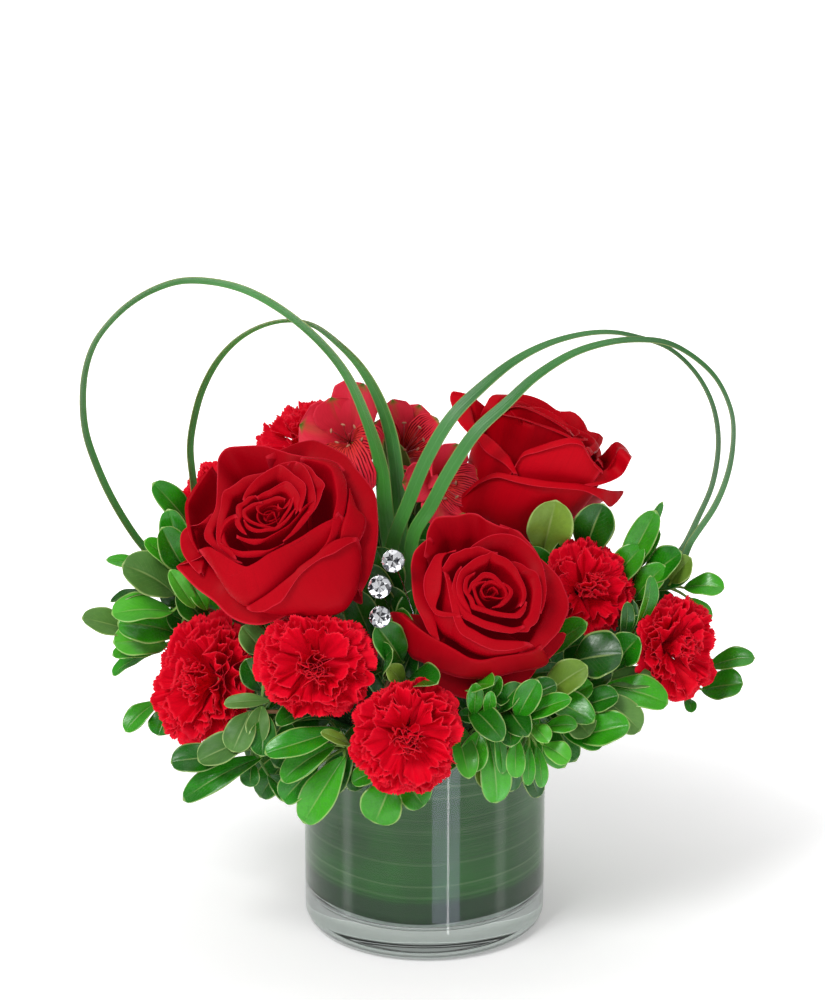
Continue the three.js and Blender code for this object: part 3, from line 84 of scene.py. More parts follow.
SPRIGS = {
    "foliage_left_upper": {"pts":[[-36,-1,136],[-48,-2,141],[-80,-4,160],[-127.0,-15.0,188.8],[-119.7,-12.0,203.0]],"r":1.4,"nh":2,"leaves":[[[-116.6,-8.0,215.3],[-137.2,-20.0,248.6],15.0,10,"top",1],[[-121.6,-14.0,201.6],[-130.5,-26.0,235.6],15.0,-10,"top",1],[[-122.3,-20.0,201.6],[-132.7,-34.0,228.8],16.2,0,"top",1],[[-125.7,-16.0,199.0],[-142.0,-26.0,220.0],11.2,10,"top",1],[[-135.9,-17.0,196.1],[-162.4,-22.0,208.8],8.8,20,"top",0],[[-118.1,-10.0,181.5],[-136.4,-14.0,185.2],16,0,"dark",0],[[-121.2,-8.0,187.3],[-137.1,-14.0,199.4],15,0,"dark",0]]},
    "foliage_left_middle": {"pts":[[-38,-18,134],[-50,-24,140],[-76,-18,160],[-120.6,-20.0,185.2]],"r":1.3,"nh":1,"leaves":[[[-128.6,-22.0,189.2],[-152.9,-34.0,209.9],22.5,0,"under",0],[[-117.8,-26.0,183.1],[-128.8,-38.0,207.6],9.5,0,"lime",0],[[-111.7,-24.0,181.2],[-119.3,-30.0,198.7],8.5,0,"top",0],[[-138.5,-19.0,189.2],[-161.4,-23.0,186.3],8.8,30,"dark",0],[[-129.7,-24.0,180.1],[-159.6,-34.0,183.9],19,15,"lime",0],[[-113.9,-8.0,163.0],[-132.6,-12.0,175.6],16,0,"dark",0],[[-127.5,-14.0,164.2],[-157.8,-20.0,173.1],22,0,"top",0],[[-112.7,-18.0,172.4],[-126.4,-24.0,191.1],16,0,"dark",0],[[-103.9,6.0,148.7],[-109.5,4.0,180.7],17,0,"top",0],[[-84.4,-22.0,122.4],[-87.1,-24.0,147.1],16,0,"dark",0]]},
    "foliage_left_outer": {"pts":[[-41,-5,125],[-53,-6,129],[-82,-1,136],[-129.7,3.0,154.4]],"r":1.3,"nh":1,"leaves":[[[-134.0,-4.0,154.3],[-160.5,-16.0,161.1],18.5,0,"lime",0],[[-137.9,-2.0,149.6],[-161.4,-14.0,153.2],11,10,"top",0],[[-150.8,0.0,160.0],[-176.5,-12.0,172.9],14.8,0,"under",0],[[-143.4,2.0,146.4],[-162.8,-6.0,138.9],9.9,20,"top",0]]},
    "foliage_left_lower": {"pts":[[-37,-18,127],[-49,-24,132],[-84,-8,130],[-127.0,-2.0,115.9]],"r":1.2,"nh":1,"leaves":[[[-139.3,-5.0,122.8],[-156.0,-16.0,111.0],11.7,0,"top",0],[[-134.0,-7.0,120.2],[-138.8,-18.0,109.5],14.3,0,"top",0]]},
    "foliage_left_front": {"pts":[[-28,-28,130],[-40,-40,137],[-62,-62,140],[-84.7,-62.0,138.7],[-87.8,-66.0,122.3]],"r":1.3,"nh":2,"leaves":[[[-78.5,-62.0,146.3],[-101.6,-66.0,146.8],8,0,"under",0],[[-82.4,-68.0,146.0],[-84.1,-82.0,132.2],12,0,"under",0],[[-100.1,-66.0,116.8],[-128.7,-72.0,117.6],16,0,"dark",1],[[-87.6,-70.0,129.4],[-114.5,-80.0,121.6],16.2,0,"under",1],[[-88.4,-70.0,143.6],[-97.1,-84.0,128.1],16,0,"under",0],[[-79.3,-72.0,142.2],[-82.0,-86.0,126.3],14,0,"dark",0],[[-82.8,-66.0,117.3],[-123.4,-74.0,97.6],13.8,0,"top",1],[[-88.0,-64.0,113.7],[-89.0,-70.0,102.5],10.0,0,"dark",1],[[-80.0,-64.0,106.6],[-65.7,-70.0,95.3],11.2,0,"dark",1],[[-81.4,-58.0,171.4],[-91.5,-66.0,187.9],15,0,"under",0],[[-96.2,-32.0,132.6],[-100.5,-32.0,152.5],15,0,"dark",0],[[-82.9,-52.0,148.3],[-90.6,-58.0,167.0],14,0,"dark",0]]},
    "foliage_front_left": {"pts":[[-14,-42,130],[-18,-54,134],[-26,-66,133],[-40.0,-72.0,124.8]],"r":1.3,"nh":1,"leaves":[[[-42.8,-80.0,137.9],[-80.1,-94.0,131.8],14.4,0,"top",0],[[-45.4,-80.0,129.7],[-72.4,-90.0,114.9],14.4,0,"top",0],[[-54.2,-73.0,115.9],[-72.6,-76.0,97.4],15.6,0,"top",0],[[-40.4,-78.0,122.9],[-62.2,-86.0,89.6],18.0,0,"top",0],[[-43.0,-74.0,130.0],[-58.0,-78.0,130.5],9.6,0,"dark",0],[[-37.8,-86.0,132.2],[-51.5,-96.0,143.4],6.5,0,"olive",0],[[-39.5,-74.0,116.3],[-33.0,-78.0,104.3],10.8,0,"dark",0],[[-68.0,-52.0,114.2],[-85.0,-58.0,91.8],16,0,"dark",0],[[-72.5,-38.0,119.5],[-89.0,-42.0,102.2],20,0,"dark",0],[[-48.2,-64.0,136.8],[-67.3,-68.0,137.3],15,0,"dark",0],[[-47.1,-68.0,134.0],[-63.3,-72.0,122.6],16,0,"dark",0],[[-37.0,-72.0,124.8],[-48.2,-76.0,102.3],15,0,"dark",0]]},
    "foliage_centre": {"pts":[[-16,-36,132],[-22,-50,140],[-18,-58,158],[-14.7,-62.0,167.5]],"r":1.2,"nh":1,"leaves":[[[-11.7,-66.0,169.1],[-23.6,-80.0,193.8],18,0,"dark",0],[[-12.2,-74.0,159.3],[-18.1,-84.0,173.4],10.8,0,"olive",0],[[-26.8,-70.0,163.1],[-37.2,-76.0,161.7],8.4,0,"top",0],[[-18.9,-40.0,160.0],[-37.1,-46.0,173.2],16,0,"under",0],[[-17.9,-36.0,169.4],[-37.1,-42.0,186.9],19,0,"dark",0],[[-14.8,-34.0,175.2],[-32.0,-38.0,198.4],19,0,"dark",0],[[-26.0,-42.0,168.4],[-37.0,-46.0,199.2],17,0,"dark",0],[[-10.7,-33.0,168.2],[-20.9,-36.0,197.7],19,0,"dark",0],[[-6.7,-34.0,168.6],[-2.6,-36.0,196.6],19,0,"dark",0],[[-13.8,-52.0,148.3],[-6.7,-60.0,173.2],15,0,"dark",0],[[-16.8,-52.0,142.8],[-27.9,-58.0,167.0],15,0,"dark",0],[[-15.9,-26.0,184.2],[-24.9,-30.0,217.1],18,0,"dark",0],[[-17.9,-30.0,182.4],[-32.0,-34.0,208.9],16,0,"dark",0]]},
    "foliage_front_low": {"pts":[[-2,-42,127],[-2,-54,131],[-2,-66,130],[-13.7,-74.0,112.5]],"r":1.2,"nh":1,"leaves":[[[-16.3,-78.0,110.9],[-25.9,-84.0,88.7],21.6,0,"top",0],[[-11.7,-78.0,109.8],[-0.6,-84.0,98.1],16.8,0,"top",0],[[-22.8,-76.0,113.3],[-37.0,-80.0,109.5],10.8,0,"top",0]]},
    "foliage_front_right": {"pts":[[11,-41,130],[14,-53,136],[24,-64,143],[29.2,-72.0,140.0]],"r":1.3,"nh":1,"leaves":[[[24.6,-74.0,143.6],[25.4,-80.0,162.7],8.4,0,"top",0],[[30.2,-70.0,148.5],[37.5,-74.0,164.1],9.6,0,"top",0],[[29.2,-68.0,140.6],[17.0,-72.0,142.2],8.4,0,"dark",0],[[31.1,-76.0,144.9],[32.8,-84.0,160.0],6.5,0,"top",0],[[35.6,-76.0,138.4],[39.2,-82.0,114.8],6.5,0,"top",0],[[31.2,-74.0,134.3],[36.4,-80.0,97.5],15.6,0,"top",0],[[27.6,-74.0,135.4],[22.1,-82.0,115.9],14.4,0,"top",0],[[18.6,-72.0,128.0],[7.5,-78.0,116.3],12.0,0,"dark",0],[[25.7,-72.0,119.3],[33.9,-76.0,104.5],10.8,0,"olive",0],[[22.8,-62.0,138.1],[7.5,-68.0,153.6],15,0,"dark",0],[[26.7,-66.0,137.6],[16.6,-70.0,127.2],14,0,"dark",0],[[37.9,-70.0,127.2],[44.0,-76.0,102.3],14,0,"dark",0]]},
    "foliage_right_front": {"pts":[[21,-36,130],[28,-48,136],[46,-62,143],[43.8,-72.0,137.9],[51.9,-72.0,134.6]],"r":1.3,"nh":2,"leaves":[[[36.7,-72.0,144.4],[47.5,-78.0,161.9],10.8,0,"dark",0],[[46.2,-76.0,142.8],[55.8,-84.0,165.9],13.2,0,"top",0],[[48.8,-74.0,140.9],[72.4,-84.0,156.8],10.8,0,"top",0],[[60.5,-72.0,135.7],[76.3,-78.0,139.8],9.6,0,"top",1],[[53.8,-74.0,137.6],[61.6,-86.0,133.9],9.6,0,"lime",1],[[59.4,-76.0,128.1],[72.3,-84.0,122.7],12.0,0,"lime",1],[[56.0,-74.0,127.2],[59.0,-80.0,106.2],7.2,0,"top",1],[[52.3,-78.0,128.9],[51.8,-84.0,109.1],6.5,0,"top",1],[[46.2,-78.0,133.3],[45.7,-86.0,114.3],9.6,0,"top",0],[[48.0,-70.0,122.8],[57.8,-74.0,98.2],10.8,0,"dark",1],[[48.0,-64.0,146.6],[65.9,-68.0,158.0],13,0,"dark",0]]},
    "foliage_right_low": {"pts":[[30,-28,128],[40,-38,134],[62,-46,134],[69.7,-52.0,139.5]],"r":1.3,"nh":1,"leaves":[[[59.9,-54.0,144.7],[81.3,-60.0,164.6],17,0,"olive",0],[[66.7,-50.0,139.8],[84.7,-54.0,152.4],14,0,"top",0],[[71.7,-56.0,136.8],[83.5,-66.0,129.4],16.8,0,"under",0],[[79.9,-52.0,139.0],[97.8,-58.0,148.0],14,0,"dark",0],[[76.3,-58.0,124.4],[103.1,-68.0,136.2],18,0,"top",0],[[88.1,-50.0,144.2],[109.8,-58.0,128.8],17,0,"under",0],[[62.7,-50.0,135.4],[89.0,-56.0,132.4],16,0,"dark",0],[[66.6,-56.0,132.4],[90.9,-62.0,122.8],15,0,"top",0]]},
    "foliage_right_middle": {"pts":[[38,-16,131],[50,-22,136],[66,-26,148],[87.7,-34.0,148.8]],"r":1.3,"nh":1,"leaves":[[[90.7,-38.0,143.8],[124.0,-48.0,140.1],18,0,"top",0],[[75.0,-42.0,159.7],[99.8,-52.0,168.5],26.0,0,"dark",0],[[74.0,-42.0,154.2],[53.3,-50.0,156.3],9.6,0,"dark",0],[[89.8,-34.0,145.5],[118.1,-40.0,149.0],12,0,"under",0],[[67.4,-30.0,147.3],[60.8,-36.0,169.4],15,0,"dark",0],[[78.6,-10.0,137.1],[72.8,-14.0,167.5],17,0,"dark",0],[[93.3,-8.0,130.7],[98.1,-10.0,152.7],16,0,"dark",0],[[69.3,-36.0,141.9],[95.4,-42.0,154.2],16,0,"dark",0]]},
    "foliage_rear_right_upper": {"pts":[[31,17,136],[40,22,146],[56,18,170],[76.6,14.0,197.0]],"r":1.2,"nh":1,"leaves":[[[61.3,8.0,201.3],[67.2,-4.0,232.9],23,0,"olive",0],[[83.6,8.0,201.3],[91.6,0.0,229.9],21,0,"dark",0],[[63.0,4.0,178.5],[54.3,0.0,206.4],17,0,"dark",0],[[70.3,6.0,181.0],[72.9,2.0,210.1],16,0,"dark",0]]},
    "foliage_right_upper": {"pts":[[38,25,130],[49,32,135],[80,39,154],[100,35,178],[104.1,8.0,183.6],[127.0,0.0,184.4]],"r":1.3,"nh":2,"leaves":[[[98.2,8.0,196.9],[123.1,2.0,229.7],7.2,60,"top",0],[[102.3,5.0,190.3],[118.1,-4.0,227.5],14.4,0,"top",0],[[107.7,8.0,189.7],[120.3,2.0,215.5],9.6,0,"top",0],[[114.2,3.0,187.7],[131.1,-9.0,207.4],16.8,0,"top",0],[[127.3,-2.0,188.4],[136.3,-10.0,204.5],13.2,0,"olive",1],[[134.3,0.0,184.4],[154.3,-8.0,187.9],13.2,0,"top",1],[[136.8,4.0,177.4],[149.2,0.0,167.2],7.2,0,"top",1],[[105.7,6.0,175.5],[109.4,4.0,195.0],14,0,"top",0],[[95.1,4.0,182.9],[111.8,-4.0,208.9],15,0,"top",0],[[108.5,0.0,177.7],[123.1,-8.0,199.4],14,0,"top",0],[[111.9,6.0,181.0],[137.2,0.0,193.2],14,0,"dark",0],[[105.9,6.0,168.8],[130.4,2.0,177.0],14,0,"dark",0]]},
    "foliage_right_inner": {"pts":[[41,-11,126],[54,-14,130],[78,-22,142],[98.3,-24.0,157.0]],"r":1.2,"nh":1,"leaves":[[[107.2,-26.0,171.0],[115.4,-33.0,202.5],9.6,40,"top",0],[[102.2,-26.0,165.5],[103.5,-32.0,188.1],7.2,0,"dark",0],[[100.2,-28.0,154.2],[108.6,-38.0,171.2],18.0,0,"top",0],[[100.7,-18.0,156.9],[113.5,-22.0,176.1],14,0,"dark",0],[[96.8,-12.0,160.1],[106.5,-16.0,183.7],14,0,"dark",0]]},
    "foliage_right_outer": {"pts":[[43,3,127],[56,4,131],[92,2,140],[138.0,5.0,128.9]],"r":1.2,"nh":1,"leaves":[[[148.2,5.0,137.9],[171.4,-3.0,147.2],12.0,0,"top",0],[[145.3,4.0,125.9],[165.3,-6.0,133.8],18.0,0,"top",0],[[136.9,2.0,122.2],[139.6,-6.0,117.6],6.5,0,"top",0]]},
    "foliage_back_left_high": {"pts":[[-33,25,135],[-42,32,141],[-69.5,40.8,161.6],[-92.0,48.0,182.0]],"r":1.3,"nh":1,"leaves":[[[-92.3,51.3,184.2],[-94.5,80.3,200.2],16.6,7.0,"top",0],[[-94.8,46.5,183.8],[-130.4,33.4,203.5],16.8,-13.0,"top",0],[[-92.7,50.5,179.6],[-106.6,79.7,160.4],17.6,9.0,"under",0],[[-90.1,47.7,185.1],[-84.4,54.4,221.7],15.8,12.0,"top",0],[[-93.7,45.3,179.6],[-132.1,29.9,162.2],18.8,-14.0,"olive",0],[[-88.2,50.0,180.5],[-68.9,93.8,173.2],15.5,1.0,"top",0]],"back":1},
    "foliage_back_left_low": {"pts":[[-30,27,129],[-40,36,134],[-58.7,48.1,134.2],[-74.0,58.0,138.0]],"r":1.3,"nh":1,"leaves":[[[-74.2,62.0,138.6],[-76.2,104.5,144.5],16.9,8.0,"top",0],[[-77.6,57.6,138.7],[-117.7,57.9,143.5],15.4,-0.0,"top",0],[[-73.1,59.4,134.9],[-71.7,80.6,101.8],16.2,10.0,"under",0],[[-73.5,58.9,141.5],[-81.0,81.6,174.4],17.2,-7.0,"top",0],[[-75.4,54.7,136.1],[-109.6,36.9,108.7],17.5,-4.0,"olive",0],[[-69.5,58.8,137.7],[-40.7,94.3,126.0],16.4,12.0,"top",0]],"back":1},
    "foliage_back_centre_high": {"pts":[[-6,40,134],[-8,52,142],[-13.5,74.0,164.2],[-18.0,92.0,186.0]],"r":1.3,"nh":1,"leaves":[[[-15.8,94.6,188.0],[4.1,118.3,203.1],16.4,-2.0,"top",0],[[-21.1,93.1,187.6],[-52.5,110.0,204.3],16.4,-15.0,"top",0],[[-16.6,94.0,183.5],[-5.5,121.5,162.2],16.9,6.0,"under",0],[[-16.9,90.7,189.3],[-7.2,94.4,228.8],14.6,-6.0,"top",0],[[-21.2,91.2,183.6],[-61.8,108.5,164.1],19.1,13.0,"olive",0],[[-13.9,90.5,184.6],[33.5,107.2,178.2],18.5,-11.0,"top",0],[[-10.3,28.0,189.7],[-14.0,30.0,217.8],20,0,"dark",0],[[1.7,24.0,191.1],[7.9,26.0,217.0],18,0,"dark",0],[[-3.5,12.0,178.8],[-0.4,14.0,205.8],18,0,"dark",0],[[-20.8,24.0,191.1],[-27.5,26.0,219.2],18,0,"dark",0],[[-6.7,32.0,196.6],[-12.9,36.0,237.9],18,0,"dark",0],[[-11.9,36.0,200.7],[-20.3,42.0,252.4],19,0,"dark",0],[[0.7,30.0,197.3],[4.8,30.0,226.7],16,0,"dark",0]],"back":1},
    "foliage_back_centre_low": {"pts":[[6,43,128],[8,55,133],[6.9,71.0,134.8],[6.0,84.0,140.0]],"r":1.3,"nh":1,"leaves":[[[8.6,87.0,140.5],[33.2,114.4,143.3],18.0,-0.0,"top",0],[[3.2,86.2,140.7],[-21.4,111.1,144.3],16.0,-6.0,"top",0],[[7.6,84.2,136.9],[22.6,96.7,105.3],16.6,8.0,"under",0],[[6.9,84.4,143.5],[17.8,107.0,175.1],16.6,8.0,"top",0],[[2.7,82.6,138.2],[-37.7,94.1,106.8],18.2,13.0,"olive",0],[[9.8,81.5,139.8],[51.1,85.7,128.1],15.7,-1.0,"top",0]],"back":1},
    "foliage_back_right_high": {"pts":[[22,35,134],[30,46,141],[44.3,64.7,160.5],[56.0,80.0,180.0]],"r":1.3,"nh":1,"leaves":[[[59.4,80.5,182.0],[95.3,85.2,200.4],15.1,5.0,"top",0],[[54.5,82.9,181.7],[44.3,111.8,196.4],18.4,-2.0,"top",0],[[58.4,80.6,177.5],[89.1,95.2,153.5],18.4,8.0,"under",0],[[55.9,78.3,183.3],[63.4,75.3,214.7],16.7,-13.0,"top",0],[[53.1,81.5,177.6],[35.0,121.3,156.8],18.4,13.0,"olive",0],[[58.0,76.2,178.6],[97.7,59.3,173.8],17.5,-11.0,"top",0]],"back":1},
    "foliage_back_right_low": {"pts":[[30,31,127],[38,40,132],[53.4,53.2,133.3],[66.0,64.0,138.0]],"r":1.3,"nh":1,"leaves":[[[69.9,64.4,138.6],[105.6,68.2,141.7],15.2,8.0,"top",0],[[65.4,67.5,138.7],[63.4,109.5,145.5],16.9,9.0,"top",0],[[67.4,63.1,134.9],[92.1,63.0,97.7],15.2,11.0,"under",0],[[66.9,63.6,141.5],[90.0,72.6,176.0],16.6,7.0,"top",0],[[62.6,65.2,136.1],[41.2,101.2,107.3],17.6,9.0,"olive",0],[[67.1,59.6,137.7],[104.9,32.3,128.1],14.5,-7.0,"top",0]],"back":1},
}
UMBEL = [[-4, 24, 122], [-5, 27, 150], [-8, 38, 185], [-10, 46, 212]]
ROSE_HUB = {"rose_left": [-3.59, 6.74], "rose_front": [2.16, 3.74], "rose_rear": [0, 0]}

# outer petals of the roses: name, fold line, free edge, belly share (or radius, negative), belly depth
PETALS = {
    "rose_left": [
        ["back_right",[[-8.7,38.53,4.18],[-2.69,39.5,0.87],[3.32,42.49,-5.76],[8.48,43.84,-10.38],[10.6,42.96,-10.83],[17.41,39.47,-9.95],[22.2,36.76,-10.03],[26.21,31.41,-7.55],[30.96,26.36,-7.36],[34.67,21.33,-7.4],[36.86,13.62,-5.15],[38.87,3.4,-3.91],[39.87,-5.56,-3.73],[40.74,-14.95,-4.55],[41.18,-25.25,-5.52]],[[-8.96,40.13,4.1],[-2.55,44.67,0.61],[4.94,50.88,-6.19],[11.88,54.27,-10.93],[14.92,54.0,-11.42],[23.99,49.73,-10.56],[30.34,46.23,-10.65],[35.62,39.2,-8.16],[41.66,32.44,-7.98],[46.14,25.7,-8.01],[48.24,15.55,-5.73],[49.41,2.57,-4.44],[48.58,-8.02,-4.18],[46.6,-17.82,-4.88],[43.05,-26.59,-5.64]],0.95,17.0],
        ["back_left",[[-39.43,-11.3,3.95],[-42.8,-4.54,0.99],[-46.54,7.39,-3.71],[-48.11,17.3,-8.12],[-46.28,21.99,-8.21],[-42.23,30.04,-8.55],[-37.76,37.88,-9.1]],[[-39.72,-11.45,3.93],[-44.17,-4.93,0.92],[-48.31,7.42,-3.8],[-49.96,17.74,-8.22],[-48.04,22.62,-8.3],[-43.58,30.85,-8.63],[-38.04,38.13,-9.12]],0.95,17.0],
        ["lobe_left",[[-37.8,-20.52,-0.69],[-37.07,-14.48,-2.2],[-40.39,-7.83,-5.47],[-42.21,-2.67,-7.02],[-42.36,2.07,-7.01],[-40.31,4.03,-4.23],[-35.21,3.96,3.26],[-33.0,7.55,7.58]],[[-39.08,-21.54,-0.77],[-42.63,-18.01,-2.53],[-48.2,-10.92,-5.89],[-50.68,-4.74,-7.46],[-50.87,1.05,-7.44],[-48.11,3.46,-4.62],[-40.47,3.5,3.0],[-34.1,7.58,7.53]],0.95,17.0],
        ["tip_low",[[-34.91,-11.74,3.55],[-34.3,-10.48,0.43],[-37.0,-9.67,-6.11],[-40.23,-9.09,-12.06],[-37.25,-12.12,-9.7],[-31.24,-18.4,-5.97],[-23.79,-23.96,-3.1],[-17.93,-29.15,-4.24],[-12.61,-32.02,-4.33],[-6.11,-34.13,-3.24],[-1.16,-36.21,-1.53],[7.83,-38.64,1.04]],[[-36.65,-12.77,3.45],[-40.55,-13.99,0.07],[-47.01,-14.59,-6.67],[-52.95,-14.58,-12.75],[-49.23,-18.83,-10.39],[-40.96,-27.23,-6.63],[-30.89,-34.74,-3.75],[-22.94,-41.68,-4.91],[-15.63,-45.02,-5.0],[-6.84,-46.06,-3.84],[-0.67,-44.81,-1.96],[8.46,-41.13,0.91]],0.96,17.0],
        ["cup_low",[[-12.34,-40.55,8.09],[-6.38,-37.67,11.44],[2.93,-31.98,15.3],[11.17,-24.61,17.59],[13.55,-21.86,18.18],[20.62,-15.88,18.04],[28.92,-8.05,16.24],[32.63,-5.68,14.85],[35.86,-4.01,13.13],[38.62,-3.27,11.0],[40.93,-2.9,9.17]],[[-12.14,-41.61,9.1],[-9.61,-42.68,8.67],[-3.48,-42.72,9.61],[1.09,-40.53,11.56],[5.36,-38.24,13.11],[10.55,-31.16,16.95],[13.87,-26.29,18.37],[19.07,-21.11,18.95],[24.47,-16.87,18.37],[29.87,-13.92,16.92],[33.56,-10.86,15.78],[37.14,-7.51,13.69],[40.75,-5.06,11.15]],[[-7.67,-40.68,0.91],[-2.59,-41.28,0.91],[3.48,-41.83,0.91],[11.55,-42.31,0.91],[20.57,-41.99,0.91],[29.03,-40.9,0.91],[35.83,-37.55,0.91],[39.94,-31.18,0.91],[42.2,-23.31,0.91],[42.93,-14.95,0.91],[42.15,-6.63,0.91]],13.0],
        ["right_small",[[34.9,24.04,6.1],[34.88,16.81,9.02],[34.36,9.2,11.54],[33.02,0.91,12.89],[32.37,-4.37,13.05],[31.16,-8.62,13.2]],[[34.77,23.94,4.73],[36.61,19.62,5.27],[39.28,13.4,5.3],[43.54,9.49,2.31],[43.14,1.95,3.77],[40.27,-5.1,6.03],[37.09,-6.94,8.31],[32.82,-6.4,11.2]],0.95,13.0],
        ["top",[[28.99,33.6,-0.97],[22.92,34.6,-3.09],[15.95,33.89,-1.7],[10.96,32.08,0.78],[2.28,31.94,2.09],[-4.13,33.83,-1.79],[-9.74,35.72,-7.29],[-18.16,36.36,-13.76],[-23.41,36.06,-17.35],[-25.49,32.56,-15.33],[-24.18,20.5,1.18],[-24.52,12.93,8.17],[-25.63,8.45,10.46],[-28.53,3.88,10.75],[-31.14,-0.32,9.89],[-31.89,-3.04,9.75],[-30.64,-6.5,11.3],[-28.16,-9.74,12.66],[-25.87,-12.06,13.44],[-22.87,-14.87,14.1],[-19.16,-17.55,14.8],[-15.2,-19.68,15.45]],[[31.07,35.31,0.16],[27.21,39.1,-0.48],[20.74,40.55,1.75],[15.49,39.98,4.6],[4.4,41.01,6.0],[-4.34,44.47,2.68],[-12.27,47.66,-2.16],[-24.31,48.88,-7.9],[-31.87,48.58,-11.0],[-34.87,43.62,-9.24],[-32.7,26.19,5.48],[-31.4,14.97,11.1],[-31.59,8.91,11.98],[-34.03,3.25,11.37],[-36.28,-1.63,9.95],[-36.56,-4.65,9.52],[-34.3,-8.29,10.77],[-30.73,-11.46,11.99],[-27.79,-13.68,12.81],[-24.22,-16.39,13.59],[-19.92,-18.73,14.45],[-15.44,-20.22,15.3]],0.96,15.0],
        ["right_roll",[[9.21,37.09,10.43],[17.2,36.26,8.89],[23.31,34.13,7.93],[27.11,26.54,10.65],[29.34,16.22,13.66],[28.27,5.06,15.82],[27.62,-3.41,16.23],[25.98,-8.72,16.42],[22.82,-13.13,16.9]],[[9.73,39.22,7.18],[17.63,39.1,5.09],[25.35,39.02,1.19],[29.33,34.48,2.55],[32.61,27.33,5.46],[34.14,16.77,9.07],[33.11,6.11,12.1],[30.38,-4.04,13.46],[27.36,-10.56,14.05],[24.17,-14.46,14.58]],0.95,14.0],
        ["diagonal",[[-38.47,-11.96,9.28],[-32.87,-11.73,13.54],[-27.4,-14.66,15.27],[-21.44,-18.46,16.52],[-16.12,-21.33,17.22],[-12.48,-22.38,17.72],[-9.98,-21.32,18.29],[-6.29,-19.41,18.92],[-2.0,-16.07,19.5],[3.57,-12.76,19.5],[8.38,-9.9,19.5],[13.18,-6.93,19.5],[17.78,-3.46,19.38],[21.99,-0.17,18.6],[25.76,2.61,17.6],[28.01,4.06,16.52],[30.71,8.56,14.9]],[[-38.52,-12.29,8.65],[-33.84,-17.86,10.39],[-29.32,-23.12,11.13],[-25.49,-26.94,11.33],[-21.23,-26.62,13.43],[-16.07,-25.64,15.13],[-11.98,-24.58,16.45],[-6.06,-20.25,18.27],[-1.68,-17.2,19.0],[4.07,-13.63,19.0],[8.89,-10.87,19.0],[13.69,-7.85,19.0],[18.42,-4.23,18.72],[22.61,-0.74,17.98],[26.32,2.07,16.87],[28.62,3.52,15.77],[31.68,7.81,14.07]],[[-31.39,-19.87,8.66],[-25.68,-29.02,8.66],[-20.17,-35.56,8.66],[-13.39,-38.94,8.66],[-5.0,-37.09,8.66],[3.61,-31.08,8.66],[11.59,-23.02,8.66],[20.54,-14.39,8.66],[29.12,-7.32,8.66],[33.82,-2.47,8.66],[35.33,5.42,8.66]],8.5],
        ["mid_left2",[[-18.08,-17.52,15.74],[-19.52,-15.14,15.7],[-22.43,-11.83,15.22],[-24.58,-8.87,14.74],[-25.65,-5.05,14.27],[-25.74,-1.04,14.01],[-25.56,2.94,13.56],[-25.03,6.07,13.17],[-24.35,8.46,12.66],[-23.51,13.57,10.4],[-22.67,15.8,9.75],[-19.93,17.02,10.45],[-16.79,19.27,10.83],[-14.57,21.25,10.85],[-11.58,22.58,11.44],[-8.56,23.51,12.14],[-4.77,26.01,11.92],[-0.82,30.46,10.72],[4.07,33.1,11.05]],[[-18.56,-18.32,15.51],[-20.91,-17.04,15.11],[-24.83,-14.2,14.38],[-27.85,-11.3,13.73],[-29.48,-7.1,13.6],[-29.8,-2.47,13.79],[-29.69,2.22,13.85],[-29.11,5.94,13.88],[-28.63,8.82,13.77],[-28.59,15.31,12.66],[-27.96,18.31,12.21],[-24.82,20.1,12.88],[-20.91,23.17,13.21],[-17.9,25.65,13.17],[-13.86,27.09,13.56],[-9.82,27.76,14.0],[-5.01,29.95,13.58],[-0.44,33.7,12.09],[4.46,34.43,11.63]],0.95,15.0],
        ["mid_upper",[[-6.82,27.89,13.9],[-3.67,27.54,12.13],[-1.01,28.1,10.38],[1.86,28.4,9.24],[4.5,28.87,7.76],[6.61,27.84,8.19],[8.52,26.25,9.09],[10.55,23.15,10.45],[11.92,20.13,11.79],[13.6,16.92,13.31],[15.64,12.59,15.05],[16.14,9.03,16.67],[15.52,6.08,17.89]],[[-6.98,28.96,14.35],[-3.68,31.14,13.64],[-0.36,33.51,12.67],[3.47,34.8,12.01],[7.02,35.77,10.84],[9.83,34.5,11.3],[12.34,32.41,12.14],[15.01,28.33,13.32],[16.76,24.3,14.47],[18.35,19.73,15.63],[19.51,13.77,16.72],[18.52,9.31,17.35],[16.15,6.06,18.0]],0.95,15.0],
        ["mid_right",[[6.87,33.81,10.63],[9.31,30.71,8.91],[11.54,27.2,8.92],[13.69,23.01,9.85],[15.21,21.41,9.64],[16.95,19.28,10.1],[16.64,16.54,11.86],[16.62,13.79,13.39],[15.74,8.97,15.95],[13.82,5.2,17.52],[12.27,2.32,18.01],[10.14,-1.12,18.41],[7.65,-4.52,18.41],[4.38,-8.41,18.14]],[[7.4,35.18,11.24],[11.44,34.66,10.8],[15.22,32.18,11.52],[18.67,27.7,12.72],[21.01,25.94,12.73],[23.05,23.0,13.1],[22.28,19.28,14.49],[21.8,15.59,15.69],[19.84,9.44,17.11],[17.07,4.91,17.95],[15.05,1.54,18.0],[12.2,-2.3,18.0],[8.82,-5.69,18.0],[4.64,-8.91,18.0]],0.95,14.0],
